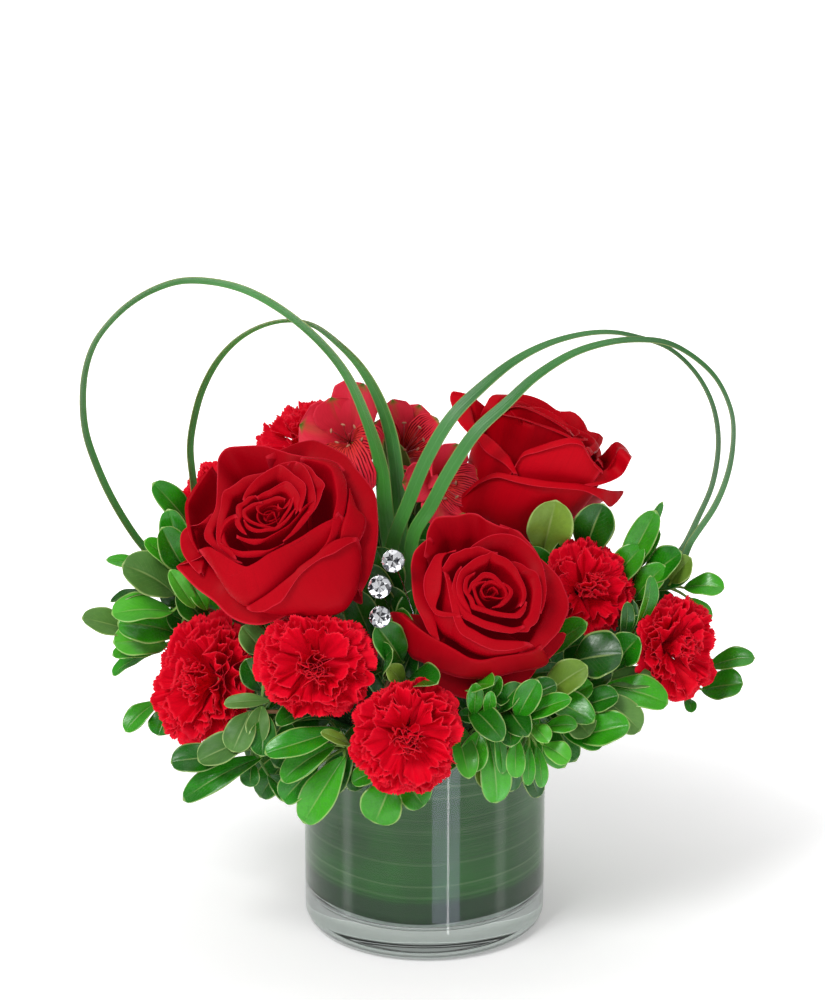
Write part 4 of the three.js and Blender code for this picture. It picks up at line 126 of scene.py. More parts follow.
        ["mid_left",[[-18.78,3.21,18.29],[-22.29,1.99,17.62],[-25.16,-1.05,17.02],[-26.3,-3.77,16.39],[-26.87,-7.26,15.82],[-26.75,-9.28,15.61],[-25.62,-10.37,15.91],[-22.9,-11.83,16.75],[-21.26,-12.92,17.12],[-18.12,-14.02,17.52],[-13.96,-14.46,18.08],[-6.69,-14.31,18.6],[-2.27,-13.79,18.6],[1.66,-11.99,18.6],[5.25,-9.58,18.6]],[[-20.18,5.34,16.33],[-24.68,3.5,15.51],[-27.46,0.25,14.39],[-28.48,-2.45,13.89],[-28.86,-7.01,13.38],[-28.94,-9.27,13.08],[-27.43,-10.4,13.55],[-24.31,-11.21,14.7],[-22.79,-12.9,14.96],[-20.11,-15.22,15.4],[-16.79,-16.72,15.76],[-11.26,-17.08,16.41],[-6.72,-16.7,16.9],[-2.53,-15.6,17.0],[1.83,-13.37,17.0]],0.95,14.0],
        ["p3",[[-16.62,12.02,17.56],[-14.69,14.26,16.55],[-12.3,16.7,15.71],[-10.47,18.31,14.94],[-8.67,20.17,13.87],[-5.94,22.42,12.64],[-3.58,24.15,11.51],[-1.14,25.37,10.6],[1.66,23.78,11.66],[4.19,21.57,12.9],[6.63,19.92,13.46],[8.92,17.93,14.11],[10.11,15.0,15.47],[10.84,13.12,16.5],[11.35,9.35,17.99],[11.95,6.79,18.49]],[[-17.27,12.28,17.86],[-16.64,15.59,17.54],[-14.69,19.43,17.23],[-12.77,22.19,16.83],[-10.54,25.12,16.09],[-6.84,28.43,15.19],[-3.58,30.91,14.35],[-0.19,32.61,13.67],[3.7,30.4,14.57],[7.21,27.33,15.63],[10.55,24.97,16.15],[13.53,22.06,16.71],[14.37,17.57,17.56],[14.17,14.6,18.03],[13.21,9.68,18.6],[12.5,6.79,18.6]],0.94,14.0],
        ["p4",[[-10.31,14.58,17.86],[-12.76,13.17,16.9],[-14.96,10.55,16.57],[-17.11,9.2,16.35],[-17.53,6.58,16.96],[-17.16,4.21,17.52],[-17.65,1.83,17.78],[-16.86,-0.65,18.29],[-15.43,-3.06,18.69],[-13.76,-5.57,18.33]],[[-10.59,14.91,18.04],[-14.26,14.22,17.67],[-17.24,11.32,17.58],[-19.88,9.7,17.28],[-20.18,6.55,17.46],[-19.74,3.73,17.68],[-20.3,0.91,17.64],[-19.16,-1.93,17.85],[-16.94,-4.31,18.2],[-14.1,-5.98,18.2]],0.94,13.0],
        ["p4b",[[-18.7,-5.98,18.37],[-16.57,-7.2,18.69],[-12.08,-8.01,18.8],[-7.11,-8.1,18.8],[-4.47,-7.8,18.8],[-1.43,-6.14,18.8],[2.4,-3.48,18.36],[6.33,-0.93,18.8],[9.27,2.24,18.8],[11.7,5.56,18.8],[13.31,8.43,18.8],[15.37,10.93,18.53],[18.11,13.23,17.82]],[[-18.99,-7.4,16.82],[-16.76,-8.46,17.14],[-12.54,-10.15,17.4],[-9.35,-10.61,17.4],[-6.74,-9.95,17.4],[-3.7,-8.18,17.4],[-1.12,-6.43,17.4],[2.57,-3.8,17.05],[6.55,-1.27,17.4],[9.54,1.9,17.4],[12.02,5.27,17.4],[13.68,8.14,17.4],[15.74,10.66,17.1],[18.21,13.2,16.4]],0.94,13.0],
        ["p5b",[[-15.65,2.1,17.63],[-13.41,-0.7,18.02],[-10.79,-2.16,18.11],[-7.64,-2.67,18.09],[-3.95,-1.97,17.87],[0.1,-1.09,17.19],[2.8,0.74,17.48],[6.34,4.62,17.54],[9.42,9.02,17.45]],[[-16.05,1.95,17.6],[-14.74,-1.71,17.6],[-12.08,-3.75,17.6],[-8.41,-4.45,17.6],[-4.02,-3.63,17.45],[0.8,-2.58,16.78],[3.94,-0.33,17.09],[7.69,4.33,17.6],[9.88,9.1,17.6]],0.93,13.0],
        ["p6",[[-10.17,13.69,17.54],[-6.19,14.93,16.83],[-3.7,15.46,16.32],[-0.62,17.47,15.22],[1.53,18.58,14.51],[3.36,17.94,14.53],[5.34,15.89,14.95],[6.95,13.94,15.38],[8.46,11.8,16.25],[9.79,8.66,17.18],[9.65,5.95,17.73]],[[-10.56,14.1,17.78],[-6.79,16.83,17.67],[-3.74,18.38,17.55],[0.5,21.53,16.99],[3.52,23.17,16.61],[6.06,22.29,16.68],[8.81,19.44,17.03],[10.8,16.58,17.34],[11.78,13.19,17.76],[11.82,8.95,17.8],[10.11,5.92,17.8]],0.93,13.0],
        ["p6b",[[-7.55,15.08,17.04],[-3.69,15.67,16.51],[-0.68,17.24,15.69],[1.98,18.4,15.04],[3.86,17.58,15.1],[5.63,15.69,15.44],[7.25,13.46,15.91],[8.53,11.16,16.34],[9.69,8.14,17.07]],[[-7.71,15.43,17.2],[-3.71,17.24,17.17],[0.0,19.7,16.76],[3.37,21.3,16.39],[5.72,20.29,16.48],[7.93,17.92,16.78],[9.72,14.99,17.13],[10.45,11.86,17.2],[10.15,8.19,17.2]],0.92,12.0],
        ["p5",[[-7.27,11.79,16.84],[-8.7,10.99,16.49],[-10.62,10.17,16.22],[-12.77,8.76,16.22],[-14.74,7.24,16.26],[-15.19,5.65,16.53],[-13.77,3.34,17.08],[-11.41,1.61,17.38],[-7.14,0.18,17.36],[-2.63,-0.67,16.66],[0.03,-0.94,16.52],[1.78,1.66,16.55],[3.93,5.44,16.91],[5.52,8.67,16.38],[6.47,11.98,16.23],[7.73,14.72,16.66]],[[-7.49,12.09,17.0],[-9.63,11.76,17.0],[-12.3,10.99,17.0],[-14.89,9.23,17.0],[-17.05,7.34,16.79],[-17.51,5.43,16.83],[-15.78,2.67,17.0],[-12.91,0.63,17.0],[-7.82,-1.07,17.0],[-2.45,-2.08,16.3],[0.71,-2.39,16.12],[2.76,0.73,16.21],[5.25,5.21,17.0],[7.25,9.04,17.0],[8.1,12.83,17.0],[8.39,15.19,17.0]],0.92,12.0],
        ["p7",[[-0.86,7.19,15.76],[-2.35,6.64,15.78],[-4.81,5.65,15.82],[-7.11,5.98,15.78],[-8.42,6.92,15.57],[-8.94,8.35,15.14],[-8.42,9.65,14.95],[-7.13,10.65,14.94],[-5.48,11.48,14.98],[-3.64,12.23,14.96],[-1.28,13.42,14.88],[1.22,13.7,15.06],[3.86,13.76,15.54]],[[-0.75,7.21,15.8],[-2.22,6.63,15.8],[-4.86,5.6,15.8],[-7.6,5.88,15.8],[-9.44,6.96,15.8],[-10.47,8.81,15.8],[-10.16,10.7,15.8],[-8.5,12.17,15.8],[-6.21,13.3,15.8],[-3.66,14.22,15.8],[-0.57,15.48,15.8],[2.22,15.15,15.8],[4.3,14.18,15.8]],0.9,11.0],
        ["p9",[[0.4,11.14,16.04],[0.15,9.02,15.6],[1.24,8.49,15.38],[2.36,8.89,15.18],[3.1,9.56,15.02],[4.0,11.13,15.0],[6.17,13.99,15.87]],[[0.66,11.42,16.2],[1.38,9.77,16.2],[3.08,9.15,16.2],[4.65,9.72,16.2],[5.7,10.65,16.2],[6.47,12.56,16.2],[6.79,14.45,16.2]],0.9,11.0],
        ["p8",[[-4.93,2.66,15.43],[-4.26,4.71,15.61],[-3.53,5.65,15.57],[-1.99,7.17,15.26],[-1.06,5.59,15.4],[-0.49,4.33,15.16],[0.79,1.45,14.46]],[[-4.99,2.49,15.39],[-4.4,4.3,15.5],[-3.52,5.38,15.5],[-1.4,7.33,15.5],[-0.37,5.28,15.32],[0.14,3.84,14.96],[0.97,1.23,14.39]],0.9,11.0],
    ],
    "rose_front": [
        ["under",[[-28.62,-27.37,-10.81],[-20.83,-31.48,-14.5],[-14.86,-34.04,-16.2],[-8.22,-36.33,-16.92],[-0.89,-37.49,-17.21],[7.34,-36.77,-17.02],[14.94,-34.04,-15.85],[21.83,-31.2,-14.46],[28.31,-29.34,-11.98]],[[-29.9,-28.67,-10.9],[-24.87,-37.67,-14.87],[-18.85,-42.9,-16.69],[-10.8,-46.31,-17.44],[-1.65,-47.8,-17.73],[8.63,-46.86,-17.53],[17.94,-42.9,-16.32],[25.28,-37.34,-14.81],[29.4,-30.72,-12.07]],0.95,12.9],
        ["under_right",[[17.94,-32.2,-6.69],[20.75,-26.98,-9.95],[26.16,-23.87,-12.71],[31.23,-19.91,-14.67],[35.4,-16.8,-16.14],[42.83,-15.98,-16.38]],[[18.6,-33.7,-6.77],[24.81,-33.69,-10.34],[32.15,-30.76,-13.17],[38.49,-25.81,-15.14],[42.66,-21.29,-16.57],[44.52,-16.8,-16.47]],0.95,12.9],
        ["right_outer",[[11.44,36.95,-1.74],[16.46,30.18,-3.06],[19.83,23.37,-2.14],[22.0,16.53,0.24],[24.97,13.41,-2.1],[29.71,8.44,-5.51],[31.78,4.11,-6.03],[33.16,0.14,-6.54],[33.08,-3.2,-5.66],[31.36,-7.2,-2.84],[29.36,-11.3,-0.38],[25.94,-15.54,2.82],[23.51,-19.35,3.71],[20.65,-23.17,5.1],[15.56,-26.69,7.33]],[[12.03,39.07,-0.82],[19.4,35.61,-0.47],[25.34,29.48,1.32],[29.44,21.32,3.96],[34.07,17.26,2.05],[40.64,10.3,-1.94],[43.32,4.26,-3.65],[44.99,-1.24,-5.22],[44.67,-5.8,-5.26],[41.99,-11.18,-3.57],[38.75,-16.5,-2.14],[33.36,-21.55,0.43],[29.05,-25.34,1.67],[23.86,-27.84,3.68],[16.29,-28.36,6.87]],0.95,12.9],
        ["sweep",[[-43.28,-2.41,-3.96],[-41.31,-3.14,-1.91],[-39.41,-5.31,-0.13],[-37.27,-7.64,1.7],[-33.55,-11.37,4.2],[-28.36,-16.06,6.47],[-25.14,-18.6,7.52],[-21.83,-20.77,8.43],[-18.78,-22.92,8.67],[-15.7,-24.99,8.72],[-12.73,-27.23,8.48],[-9.27,-29.04,8.15],[-3.65,-30.1,8.28],[3.47,-29.13,8.8],[12.07,-28.25,7.96],[19.05,-26.93,6.15],[25.1,-25.03,4.18],[27.89,-23.58,3.33]],[[-44.8,-1.49,-11.53],[-46.42,-4.24,-13.44],[-44.86,-7.49,-12.22],[-43.83,-10.38,-11.76],[-39.92,-17.25,-10.1],[-35.83,-25.6,-10.68],[-31.07,-27.96,-8.29],[-26.81,-31.14,-7.54],[-20.68,-34.16,-6.31],[-13.15,-36.96,-5.56],[-2.94,-38.3,-4.69],[4.92,-38.21,-4.81],[10.18,-36.99,-4.64],[18.43,-35.64,-6.51],[29.22,-33.77,-11.35],[33.92,-31.28,-12.93],[33.41,-28.25,-10.38],[30.15,-24.83,-5.38]],-31.0,12.9],
        ["left_outer",[[-22.64,33.06,-3.07],[-21.93,28.88,-4.86],[-23.09,25.52,-6.09],[-24.78,22.57,-6.52],[-26.01,19.37,-5.38],[-27.0,15.72,-3.63],[-27.28,12.4,-1.6],[-27.65,9.56,0.11],[-27.64,1.46,3.71],[-25.81,-5.79,6.7],[-24.84,-12.5,7.47],[-23.61,-18.76,7.64]],[[-23.78,34.41,-2.33],[-25.89,33.01,-2.46],[-29.06,30.67,-2.78],[-32.01,27.62,-2.81],[-33.74,23.66,-1.67],[-34.87,18.95,-0.05],[-35.08,14.7,1.71],[-35.36,11.06,2.77],[-34.77,0.92,4.71],[-31.69,-7.79,6.43],[-28.81,-14.89,6.6],[-24.68,-19.7,7.28]],0.95,12.9],
        ["top_left",[[-26.38,23.15,1.65],[-21.49,25.72,-3.28],[-18.08,29.83,-10.16],[-13.51,33.6,-15.25],[-9.95,33.35,-14.39],[-5.45,32.89,-12.28],[-0.77,33.56,-12.57],[1.84,32.86,-11.35],[4.52,30.33,-7.4],[9.11,27.63,-4.47],[15.76,26.07,-6.23],[17.49,24.7,-4.58],[21.47,21.26,-2.01],[25.51,18.5,0.54],[30.86,13.49,3.55]],[[-28.17,24.37,2.56],[-26.35,30.24,-0.49],[-24.39,37.96,-5.84],[-19.44,44.89,-9.89],[-14.94,45.55,-8.85],[-8.68,45.29,-6.9],[-2.02,46.33,-7.18],[1.7,45.34,-6.11],[5.53,41.72,-2.6],[12.07,37.79,-0.03],[21.37,35.27,-1.7],[23.29,32.62,-0.46],[27.48,26.72,1.4],[30.14,21.43,2.84],[32.45,14.03,4.26]],0.95,12.9],
        ["left_flap",[[-13.21,25.21,12.0],[-17.72,24.26,11.29],[-20.53,20.83,11.64],[-21.65,12.08,13.65],[-22.78,5.54,14.25],[-25.14,-3.53,13.38],[-23.13,-4.97,14.16],[-19.35,-6.2,15.37],[-16.44,-6.81,15.87],[-13.08,-8.24,16.34]],[[-13.3,24.66,12.4],[-17.75,24.24,11.49],[-23.01,23.8,9.06],[-27.14,18.05,9.46],[-29.77,12.98,9.56],[-30.64,6.38,10.51],[-29.58,0.51,11.69],[-26.02,-6.24,12.96],[-22.34,-7.79,14.36],[-17.04,-8.23,15.85],[-14.14,-9.18,16.26]],[[-16.42,23.45,5.19],[-22.21,20.2,5.19],[-25.71,13.31,5.19],[-26.72,5.79,5.19],[-26.69,-1.27,5.19],[-25.18,-8.9,5.19],[-21.56,-15.12,5.19],[-15.27,-19.48,5.19]],8.6],
        ["top_right",[[-8.73,22.21,11.76],[-3.86,23.35,9.47],[0.69,24.46,7.37],[5.58,25.68,4.13],[10.61,25.7,1.85],[15.49,24.15,0.46],[18.64,21.56,0.71],[22.21,17.06,1.5],[24.2,12.94,2.75],[25.26,8.72,4.89],[26.38,3.49,7.35],[26.66,-2.3,9.57],[26.73,-8.19,10.56]],[[-9.33,23.22,12.25],[-5.0,27.08,11.11],[0.28,30.27,9.82],[6.7,32.88,7.19],[13.54,33.31,5.28],[20.17,31.31,4.05],[24.43,27.82,4.29],[29.14,21.66,4.99],[31.28,15.9,5.97],[31.87,10.14,7.28],[31.87,3.43,8.39],[30.33,-3.2,9.64],[27.78,-8.7,10.41]],0.95,12.0],
        ["low_cup",[[-19.7,14.15,13.33],[-17.31,9.6,13.98],[-16.12,4.98,14.93],[-14.85,-1.82,16.06],[-13.52,-8.33,16.68],[-11.29,-13.11,16.27],[-7.53,-15.76,16.18],[-3.09,-18.43,15.6],[2.7,-20.85,14.51],[8.34,-21.6,13.63],[14.19,-21.95,12.52],[19.95,-22.46,10.87]],[[-20.49,14.53,13.7],[-19.69,10.31,15.0],[-19.12,5.18,15.67],[-18.2,-2.92,15.94],[-16.94,-10.96,15.6],[-14.24,-16.81,15.09],[-9.66,-20.04,14.99],[-4.24,-23.27,14.36],[2.81,-26.03,13.22],[9.48,-26.3,12.42],[15.76,-25.3,11.59],[20.61,-23.44,10.57]],[[-22.35,13.95,6.81],[-22.35,6.39,6.81],[-21.89,-1.7,6.81],[-20.41,-9.82,6.81],[-17.36,-17.02,6.81],[-12.16,-22.32,6.81],[-5.85,-26.17,6.81],[2.09,-28.61,6.81],[10.2,-28.54,6.81],[16.92,-26.88,6.81],[23.71,-24.22,6.81]],7.7],
        ["c",[[10.5,18.71,13.6],[12.33,16.4,12.71],[13.82,15.31,11.6],[15.92,13.97,10.5],[18.04,12.17,9.93],[20.95,11.05,8.61],[22.31,9.63,8.39],[23.46,6.55,9.25],[24.15,3.63,9.93],[23.63,-0.69,10.9],[22.58,-4.94,11.76],[21.42,-8.58,12.3],[19.87,-10.6,12.84],[18.28,-11.97,13.25],[17.78,-14.23,12.95],[16.17,-15.32,13.43],[12.42,-16.54,14.51]],[[10.92,19.47,13.96],[13.81,18.25,13.71],[16.37,17.84,13.11],[19.59,16.7,12.42],[22.4,14.49,12.0],[26.03,13.03,10.9],[27.58,11.17,10.62],[28.55,7.22,10.76],[28.98,3.6,10.86],[28.56,-1.71,11.13],[27.45,-7.01,11.26],[26.08,-11.56,11.17],[24.02,-13.96,11.5],[21.71,-15.31,12.05],[20.52,-17.39,11.9],[17.84,-17.59,12.73],[12.85,-17.39,14.27]],0.95,12.0],
        ["ring_top",[[-17.29,10.44,14.63],[-17.57,12.94,12.78],[-18.14,13.92,11.17],[-15.71,15.9,10.54],[-13.88,17.33,10.01],[-12.01,19.07,9.44],[-10.16,19.47,9.62],[-8.11,19.92,9.86],[-6.11,20.67,9.82],[-3.66,20.76,10.22],[-1.46,21.22,10.15],[-0.15,20.98,10.4],[1.65,20.03,11.1],[3.95,18.91,11.72],[5.98,17.54,12.34],[8.34,16.51,12.41],[10.16,15.36,12.49],[11.71,13.65,12.85],[13.28,11.75,13.14],[14.57,9.37,13.65],[16.33,6.59,14.13],[17.78,3.57,14.67],[18.09,0.45,15.1],[17.46,-2.26,15.53],[16.24,-4.85,15.84]],[[-18.15,10.74,15.01],[-19.68,13.93,13.76],[-21.39,15.55,12.7],[-19.54,18.51,12.49],[-17.94,20.77,12.25],[-15.95,23.34,11.88],[-13.8,24.11,12.1],[-11.25,24.87,12.32],[-8.69,25.95,12.29],[-5.49,26.11,12.6],[-2.6,26.73,12.52],[-0.88,26.42,12.71],[1.49,25.17,13.26],[4.51,23.7,13.75],[7.19,21.89,14.24],[10.28,20.52,14.28],[12.65,18.98,14.34],[14.63,16.68,14.62],[16.54,14.09,14.83],[17.69,10.78,15.09],[19.2,7.17,15.13],[20.21,3.54,15.13],[20.15,0.02,15.2],[18.86,-2.81,15.42],[16.82,-5.2,15.71]],0.95,11.2],
        ["low_mid",[[-11.11,16.43,14.59],[-12.47,13.13,14.19],[-13.38,9.42,14.12],[-13.95,6.37,14.38],[-13.87,2.79,15.06],[-13.55,-0.68,15.61],[-12.44,-3.52,16.2],[-10.78,-5.84,16.77],[-9.18,-7.05,16.91],[-6.98,-8.3,16.96],[-4.8,-9.53,16.96],[-2.36,-10.81,16.97],[0.16,-11.88,16.86],[2.71,-12.71,16.63],[5.99,-13.75,16.23],[10.11,-14.9,15.61],[13.16,-15.28,14.84],[18.03,-14.36,13.84]],[[-11.66,16.96,14.91],[-14.13,14.2,15.02],[-15.89,10.34,15.24],[-17.0,6.87,15.36],[-17.17,2.59,15.56],[-17.11,-1.68,15.59],[-15.95,-5.26,15.67],[-14.01,-8.23,15.78],[-12.02,-9.75,15.93],[-9.26,-11.31,16.02],[-6.54,-12.85,16.02],[-3.48,-14.42,16.02],[-0.32,-15.67,15.9],[2.84,-16.51,15.68],[6.78,-17.38,15.3],[11.46,-18.07,14.75],[14.42,-17.47,14.21],[18.69,-15.11,13.59]],0.95,11.2],
        ["b",[[7.37,21.89,13.04],[4.14,20.42,12.28],[1.91,18.22,12.58],[-0.84,16.89,12.78],[-2.92,15.67,12.85],[-5.08,14.1,13.03],[-7.77,11.93,13.12],[-9.17,10.3,13.4],[-10.77,7.66,13.97],[-11.57,4.95,15.01],[-11.35,1.48,15.8],[-10.56,-0.94,16.19],[-9.26,-4.08,16.6],[-8.18,-7.41,16.51],[-7.29,-10.4,16.2]],[[7.68,22.97,13.51],[4.52,23.57,13.61],[1.84,22.35,14.31],[-1.87,21.42,14.73],[-4.82,20.14,14.89],[-7.87,18.1,15.08],[-11.63,15.11,15.22],[-13.23,12.65,15.37],[-14.59,8.82,15.62],[-14.87,5.24,15.88],[-14.32,0.98,16.02],[-13.26,-1.93,16.02],[-11.39,-5.54,16.02],[-9.5,-8.84,16.02],[-7.68,-10.99,16.02]],0.94,11.2],
        ["ring_low",[[-4.7,13.08,15.82],[-6.68,11.46,15.49],[-8.26,10.01,15.22],[-9.09,7.25,15.1],[-9.24,4.84,15.41],[-8.83,3.36,15.62],[-7.38,1.3,15.99],[-6.53,-1.02,16.41],[-6.31,-2.68,16.68],[-5.51,-3.44,16.68],[-3.31,-4.24,16.62],[-0.51,-5.23,16.6],[2.24,-6.26,16.64],[5.07,-7.0,16.7],[7.91,-7.62,16.78],[10.95,-8.05,16.5],[13.56,-8.21,16.05],[15.57,-7.32,15.74],[17.74,-5.34,15.29],[19.66,-2.53,14.96]],[[-4.99,13.47,16.02],[-7.64,12.29,16.02],[-9.9,11.0,16.02],[-11.18,7.9,16.02],[-11.52,5.06,16.02],[-11.14,3.28,16.02],[-9.55,0.74,16.02],[-8.64,-2.17,16.02],[-8.43,-4.28,16.02],[-7.43,-5.24,16.02],[-4.68,-6.23,16.02],[-1.18,-7.47,16.02],[2.26,-8.75,16.02],[5.79,-9.64,16.02],[9.28,-10.32,16.02],[12.9,-10.67,15.68],[15.81,-10.57,15.23],[17.71,-9.09,15.05],[19.39,-6.3,14.95],[20.36,-2.78,14.92]],0.94,10.8],
        ["g",[[-9.11,1.79,15.39],[-8.24,3.44,15.21],[-6.79,5.36,14.82],[-4.94,7.36,14.4],[-2.96,8.37,14.33],[-1.29,9.78,14.29],[-0.22,10.44,14.26],[2.11,10.39,14.33],[4.09,9.5,14.43],[5.79,7.64,14.56],[7.18,6.17,14.66],[8.98,3.96,15.11],[9.57,1.56,15.44],[8.49,-0.65,15.64],[6.88,-2.31,15.5]],[[-9.54,1.71,15.42],[-9.43,3.41,15.42],[-8.57,5.68,15.42],[-7.11,8.47,15.42],[-4.88,10.11,15.42],[-2.62,12.11,15.42],[-1.14,13.04,15.42],[2.09,12.98,15.42],[4.84,11.74,15.42],[7.19,9.15,15.42],[8.81,6.96,15.42],[10.37,4.01,15.42],[10.88,1.17,15.42],[9.3,-1.21,15.42],[7.08,-2.56,15.42]],0.93,10.3],
        ["i",[[0.43,8.57,15.13],[-2.08,7.9,14.78],[-3.65,7.23,14.56],[-5.04,5.87,14.51],[-4.83,3.24,15.0],[-4.06,0.38,15.49],[-2.59,-2.6,15.68],[-0.81,-4.82,15.62],[0.79,-7.37,15.34]],[[0.36,8.77,15.22],[-2.83,8.63,15.22],[-4.99,8.03,15.22],[-6.72,6.36,15.22],[-6.39,3.13,15.22],[-5.57,-0.43,15.22],[-3.7,-4.09,15.22],[-1.33,-6.32,15.22],[0.73,-7.83,15.22]],0.93,10.3],
        ["h",[[8.59,7.41,15.29],[9.06,6.43,14.9],[10.47,5.08,14.85],[11.49,3.25,15.09],[11.13,1.56,15.38],[9.61,-0.33,15.75],[7.82,-2.02,15.89],[5.91,-3.52,15.78],[2.6,-4.59,15.51]],[[8.85,7.56,15.42],[10.22,6.88,15.42],[12.24,5.37,15.42],[13.55,3.14,15.42],[13.2,1.05,15.42],[11.42,-1.32,15.42],[9.15,-3.37,15.42],[6.57,-4.79,15.42],[2.62,-4.94,15.42]],0.93,10.3],
        ["j",[[-2.46,3.52,14.2],[-1.08,5.48,13.99],[0.7,6.98,13.85],[2.79,7.62,13.78],[4.8,7.02,13.74],[6.66,5.85,13.86],[8.85,4.17,14.35]],[[-2.63,3.51,14.23],[-1.98,5.96,14.42],[0.14,8.22,14.42],[3.04,9.13,14.42],[5.81,8.28,14.42],[7.86,6.42,14.42],[9.12,4.19,14.42]],0.92,9.5],
        ["k",[[-1.33,6.73,14.74],[-1.79,4.59,14.57],[-1.28,2.3,14.33],[-0.37,1.19,14.04],[1.87,1.18,14.16],[4.29,0.41,14.98],[6.79,-0.01,15.1],[9.92,0.69,14.85]],[[-1.48,6.85,14.82],[-2.48,4.74,14.82],[-2.08,1.97,14.25],[-1.0,0.55,13.82],[1.8,0.54,14.0],[4.81,-0.4,14.74],[7.66,-0.71,14.82],[10.23,0.57,14.82]],0.92,9.5],
        ["l",[[0.9,3.03,12.72],[2.0,4.75,13.05],[3.63,5.17,12.85],[5.18,4.07,12.94],[6.33,1.98,13.24]],[[0.85,3.0,12.71],[1.93,5.15,13.22],[4.26,5.79,13.22],[6.17,4.18,13.22],[6.52,1.9,13.22]],0.9,8.6],
    ],
    "rose_rear": [
        ["back_top",[[14.44,28.35,-0.89],[9.94,31.13,7.94],[10.76,30.86,13.73],[13.93,29.56,17.89],[24.46,20.35,19.19],[28.35,12.43,21.27],[30.88,2.21,21.09],[30.24,-6.63,19.35],[29.04,-13.0,22.07],[25.26,-19.35,20.06],[23.78,-22.42,17.01],[19.54,-28.31,18.92],[16.93,-27.95,14.36],[-28.23,-12.71,20.18]],[[16.79,32.97,-1.89],[11.56,36.2,6.94],[12.51,35.88,12.73],[16.2,34.37,16.89],[28.44,23.66,18.19],[32.97,14.45,20.27],[35.91,2.57,20.09],[35.16,-7.71,18.35],[33.77,-15.12,21.07],[29.37,-22.5,19.06],[27.65,-26.07,16.01],[22.72,-32.92,17.92],[19.69,-32.5,13.36],[-32.83,-14.78,19.18]],0.96,12.9],
        ["back_right",[[31.69,-8.0,19.14],[29.83,-13.34,21.61],[26.08,-19.69,19.59],[23.05,-23.17,16.16],[17.81,-28.42,13.62],[14.29,-30.34,9.96],[-24.91,-21.15,15.84]],[[36.85,-9.3,18.14],[34.69,-15.51,20.61],[30.32,-22.9,18.59],[26.8,-26.94,15.16],[20.71,-33.05,12.62],[16.62,-35.28,8.96],[-28.97,-24.59,14.84]],0.96,12.9],
        ["spike",[[-7.06,22.94,-0.82],[-10.21,30.33,0.23],[-9.94,35.43,1.55],[-7.42,40.12,3.88],[3.37,43.07,7.15],[11.06,43.97,9.94],[11.05,43.94,12.94],[13.85,37.53,11.29],[15.88,30.51,8.46],[19.46,23.36,4.71]],[[-8.82,28.68,-1.82],[-12.76,37.91,-0.77],[-12.43,44.29,0.55],[-9.28,50.15,2.88],[4.21,53.84,6.15],[13.82,54.96,8.94],[13.81,54.92,11.94],[17.31,46.91,10.29],[19.85,38.14,7.46],[24.32,29.2,3.71]],0.95,12.9],
        ["tip_right",[[-28.14,-11.33,12.05],[-27.02,-11.89,19.51],[12.71,-28.45,8.3],[8.84,-30.73,9.36],[11.85,-34.08,14.61],[12.41,-36.49,19.84],[8.23,-37.65,19.23],[-25.38,-29.0,25.26],[-21.99,-29.63,15.79],[-24.19,-26.77,12.32],[-28.37,-20.94,8.22],[-30.89,-15.24,4.63]],[[-34.32,-13.82,11.05],[-32.95,-14.5,18.51],[15.5,-34.69,7.3],[10.78,-37.48,8.36],[14.45,-41.56,13.61],[15.13,-44.5,18.84],[10.04,-45.92,18.23],[-30.95,-35.37,24.26],[-26.82,-36.14,14.79],[-29.5,-32.65,11.32],[-34.6,-25.54,7.22],[-37.67,-18.58,3.63]],0.95,12.9],
        ["curl_low",[[-44.99,-1.06,1.29],[-43.75,-10.54,4.83],[-40.67,-19.25,5.91],[-36.42,-26.43,5.89],[-28.85,-34.53,5.34],[-16.54,-42.92,3.75]],[[-46.98,-1.43,-0.18],[-46.64,-11.35,3.29],[-45.59,-20.54,3.83],[-42.29,-28.5,1.83],[-39.08,-34.3,-0.47],[-34.36,-37.69,1.57],[-26.17,-41.42,4.28]],-38.7,12.9],
        ["low_lip",[[-20.8,35.33,-30.63],[-25.02,34.97,-25.36],[-28.34,33.65,-19.44],[-31.06,32.56,-15.32],[-36.87,27.5,-7.24],[-41.66,19.5,-3.89],[-44.79,10.47,-1.0],[-45.98,-1.5,2.42],[-43.94,-13.6,5.61],[-39.14,-24.16,5.94]],[[-22.93,35.19,-31.57],[-28.82,34.56,-24.97],[-32.41,34.04,-19.89],[-35.31,32.52,-15.53],[-40.58,27.46,-8.53],[-45.14,19.07,-5.97],[-48.0,9.85,-3.38],[-48.96,-1.93,0.47],[-46.79,-14.54,3.81],[-42.19,-24.93,4.43]],-41.7,19.4],
        ["front_wall",[[-37.29,21.41,-6.88],[-36.79,20.26,0.49],[-36.17,19.31,8.31],[-37.34,14.34,14.35],[-38.82,7.32,20.78],[-38.98,1.26,24.87],[-38.77,-4.19,25.63],[-38.94,-9.15,22.51],[-37.88,-15.68,17.83],[-35.35,-22.68,15.16]],[[-38.62,21.08,-8.02],[-38.27,20.69,-1.51],[-38.24,19.67,5.96],[-40.22,13.74,12.11],[-41.47,6.66,18.48],[-41.5,-0.16,23.42],[-41.11,-5.65,24.15],[-40.58,-10.81,20.86],[-39.44,-17.13,16.65],[-37.15,-23.58,13.83]],-40.0,14.6],
        ["left_fold",[[-9.35,38.89,2.35],[-15.97,36.67,4.13],[-19.43,34.96,4.3],[-25.1,32.42,4.42],[-31.03,28.31,3.56],[-34.62,24.66,1.97],[-37.43,21.16,-0.24],[-39.71,17.76,-3.28]],[[-14.8,40.37,-1.1],[-20.71,38.82,-0.13],[-23.51,37.78,-0.77],[-27.94,35.28,-1.37],[-32.95,32.1,-1.18],[-36.0,28.64,-0.98],[-39.09,24.25,-1.54],[-40.28,20.07,-3.46]],-39.6,14.6],
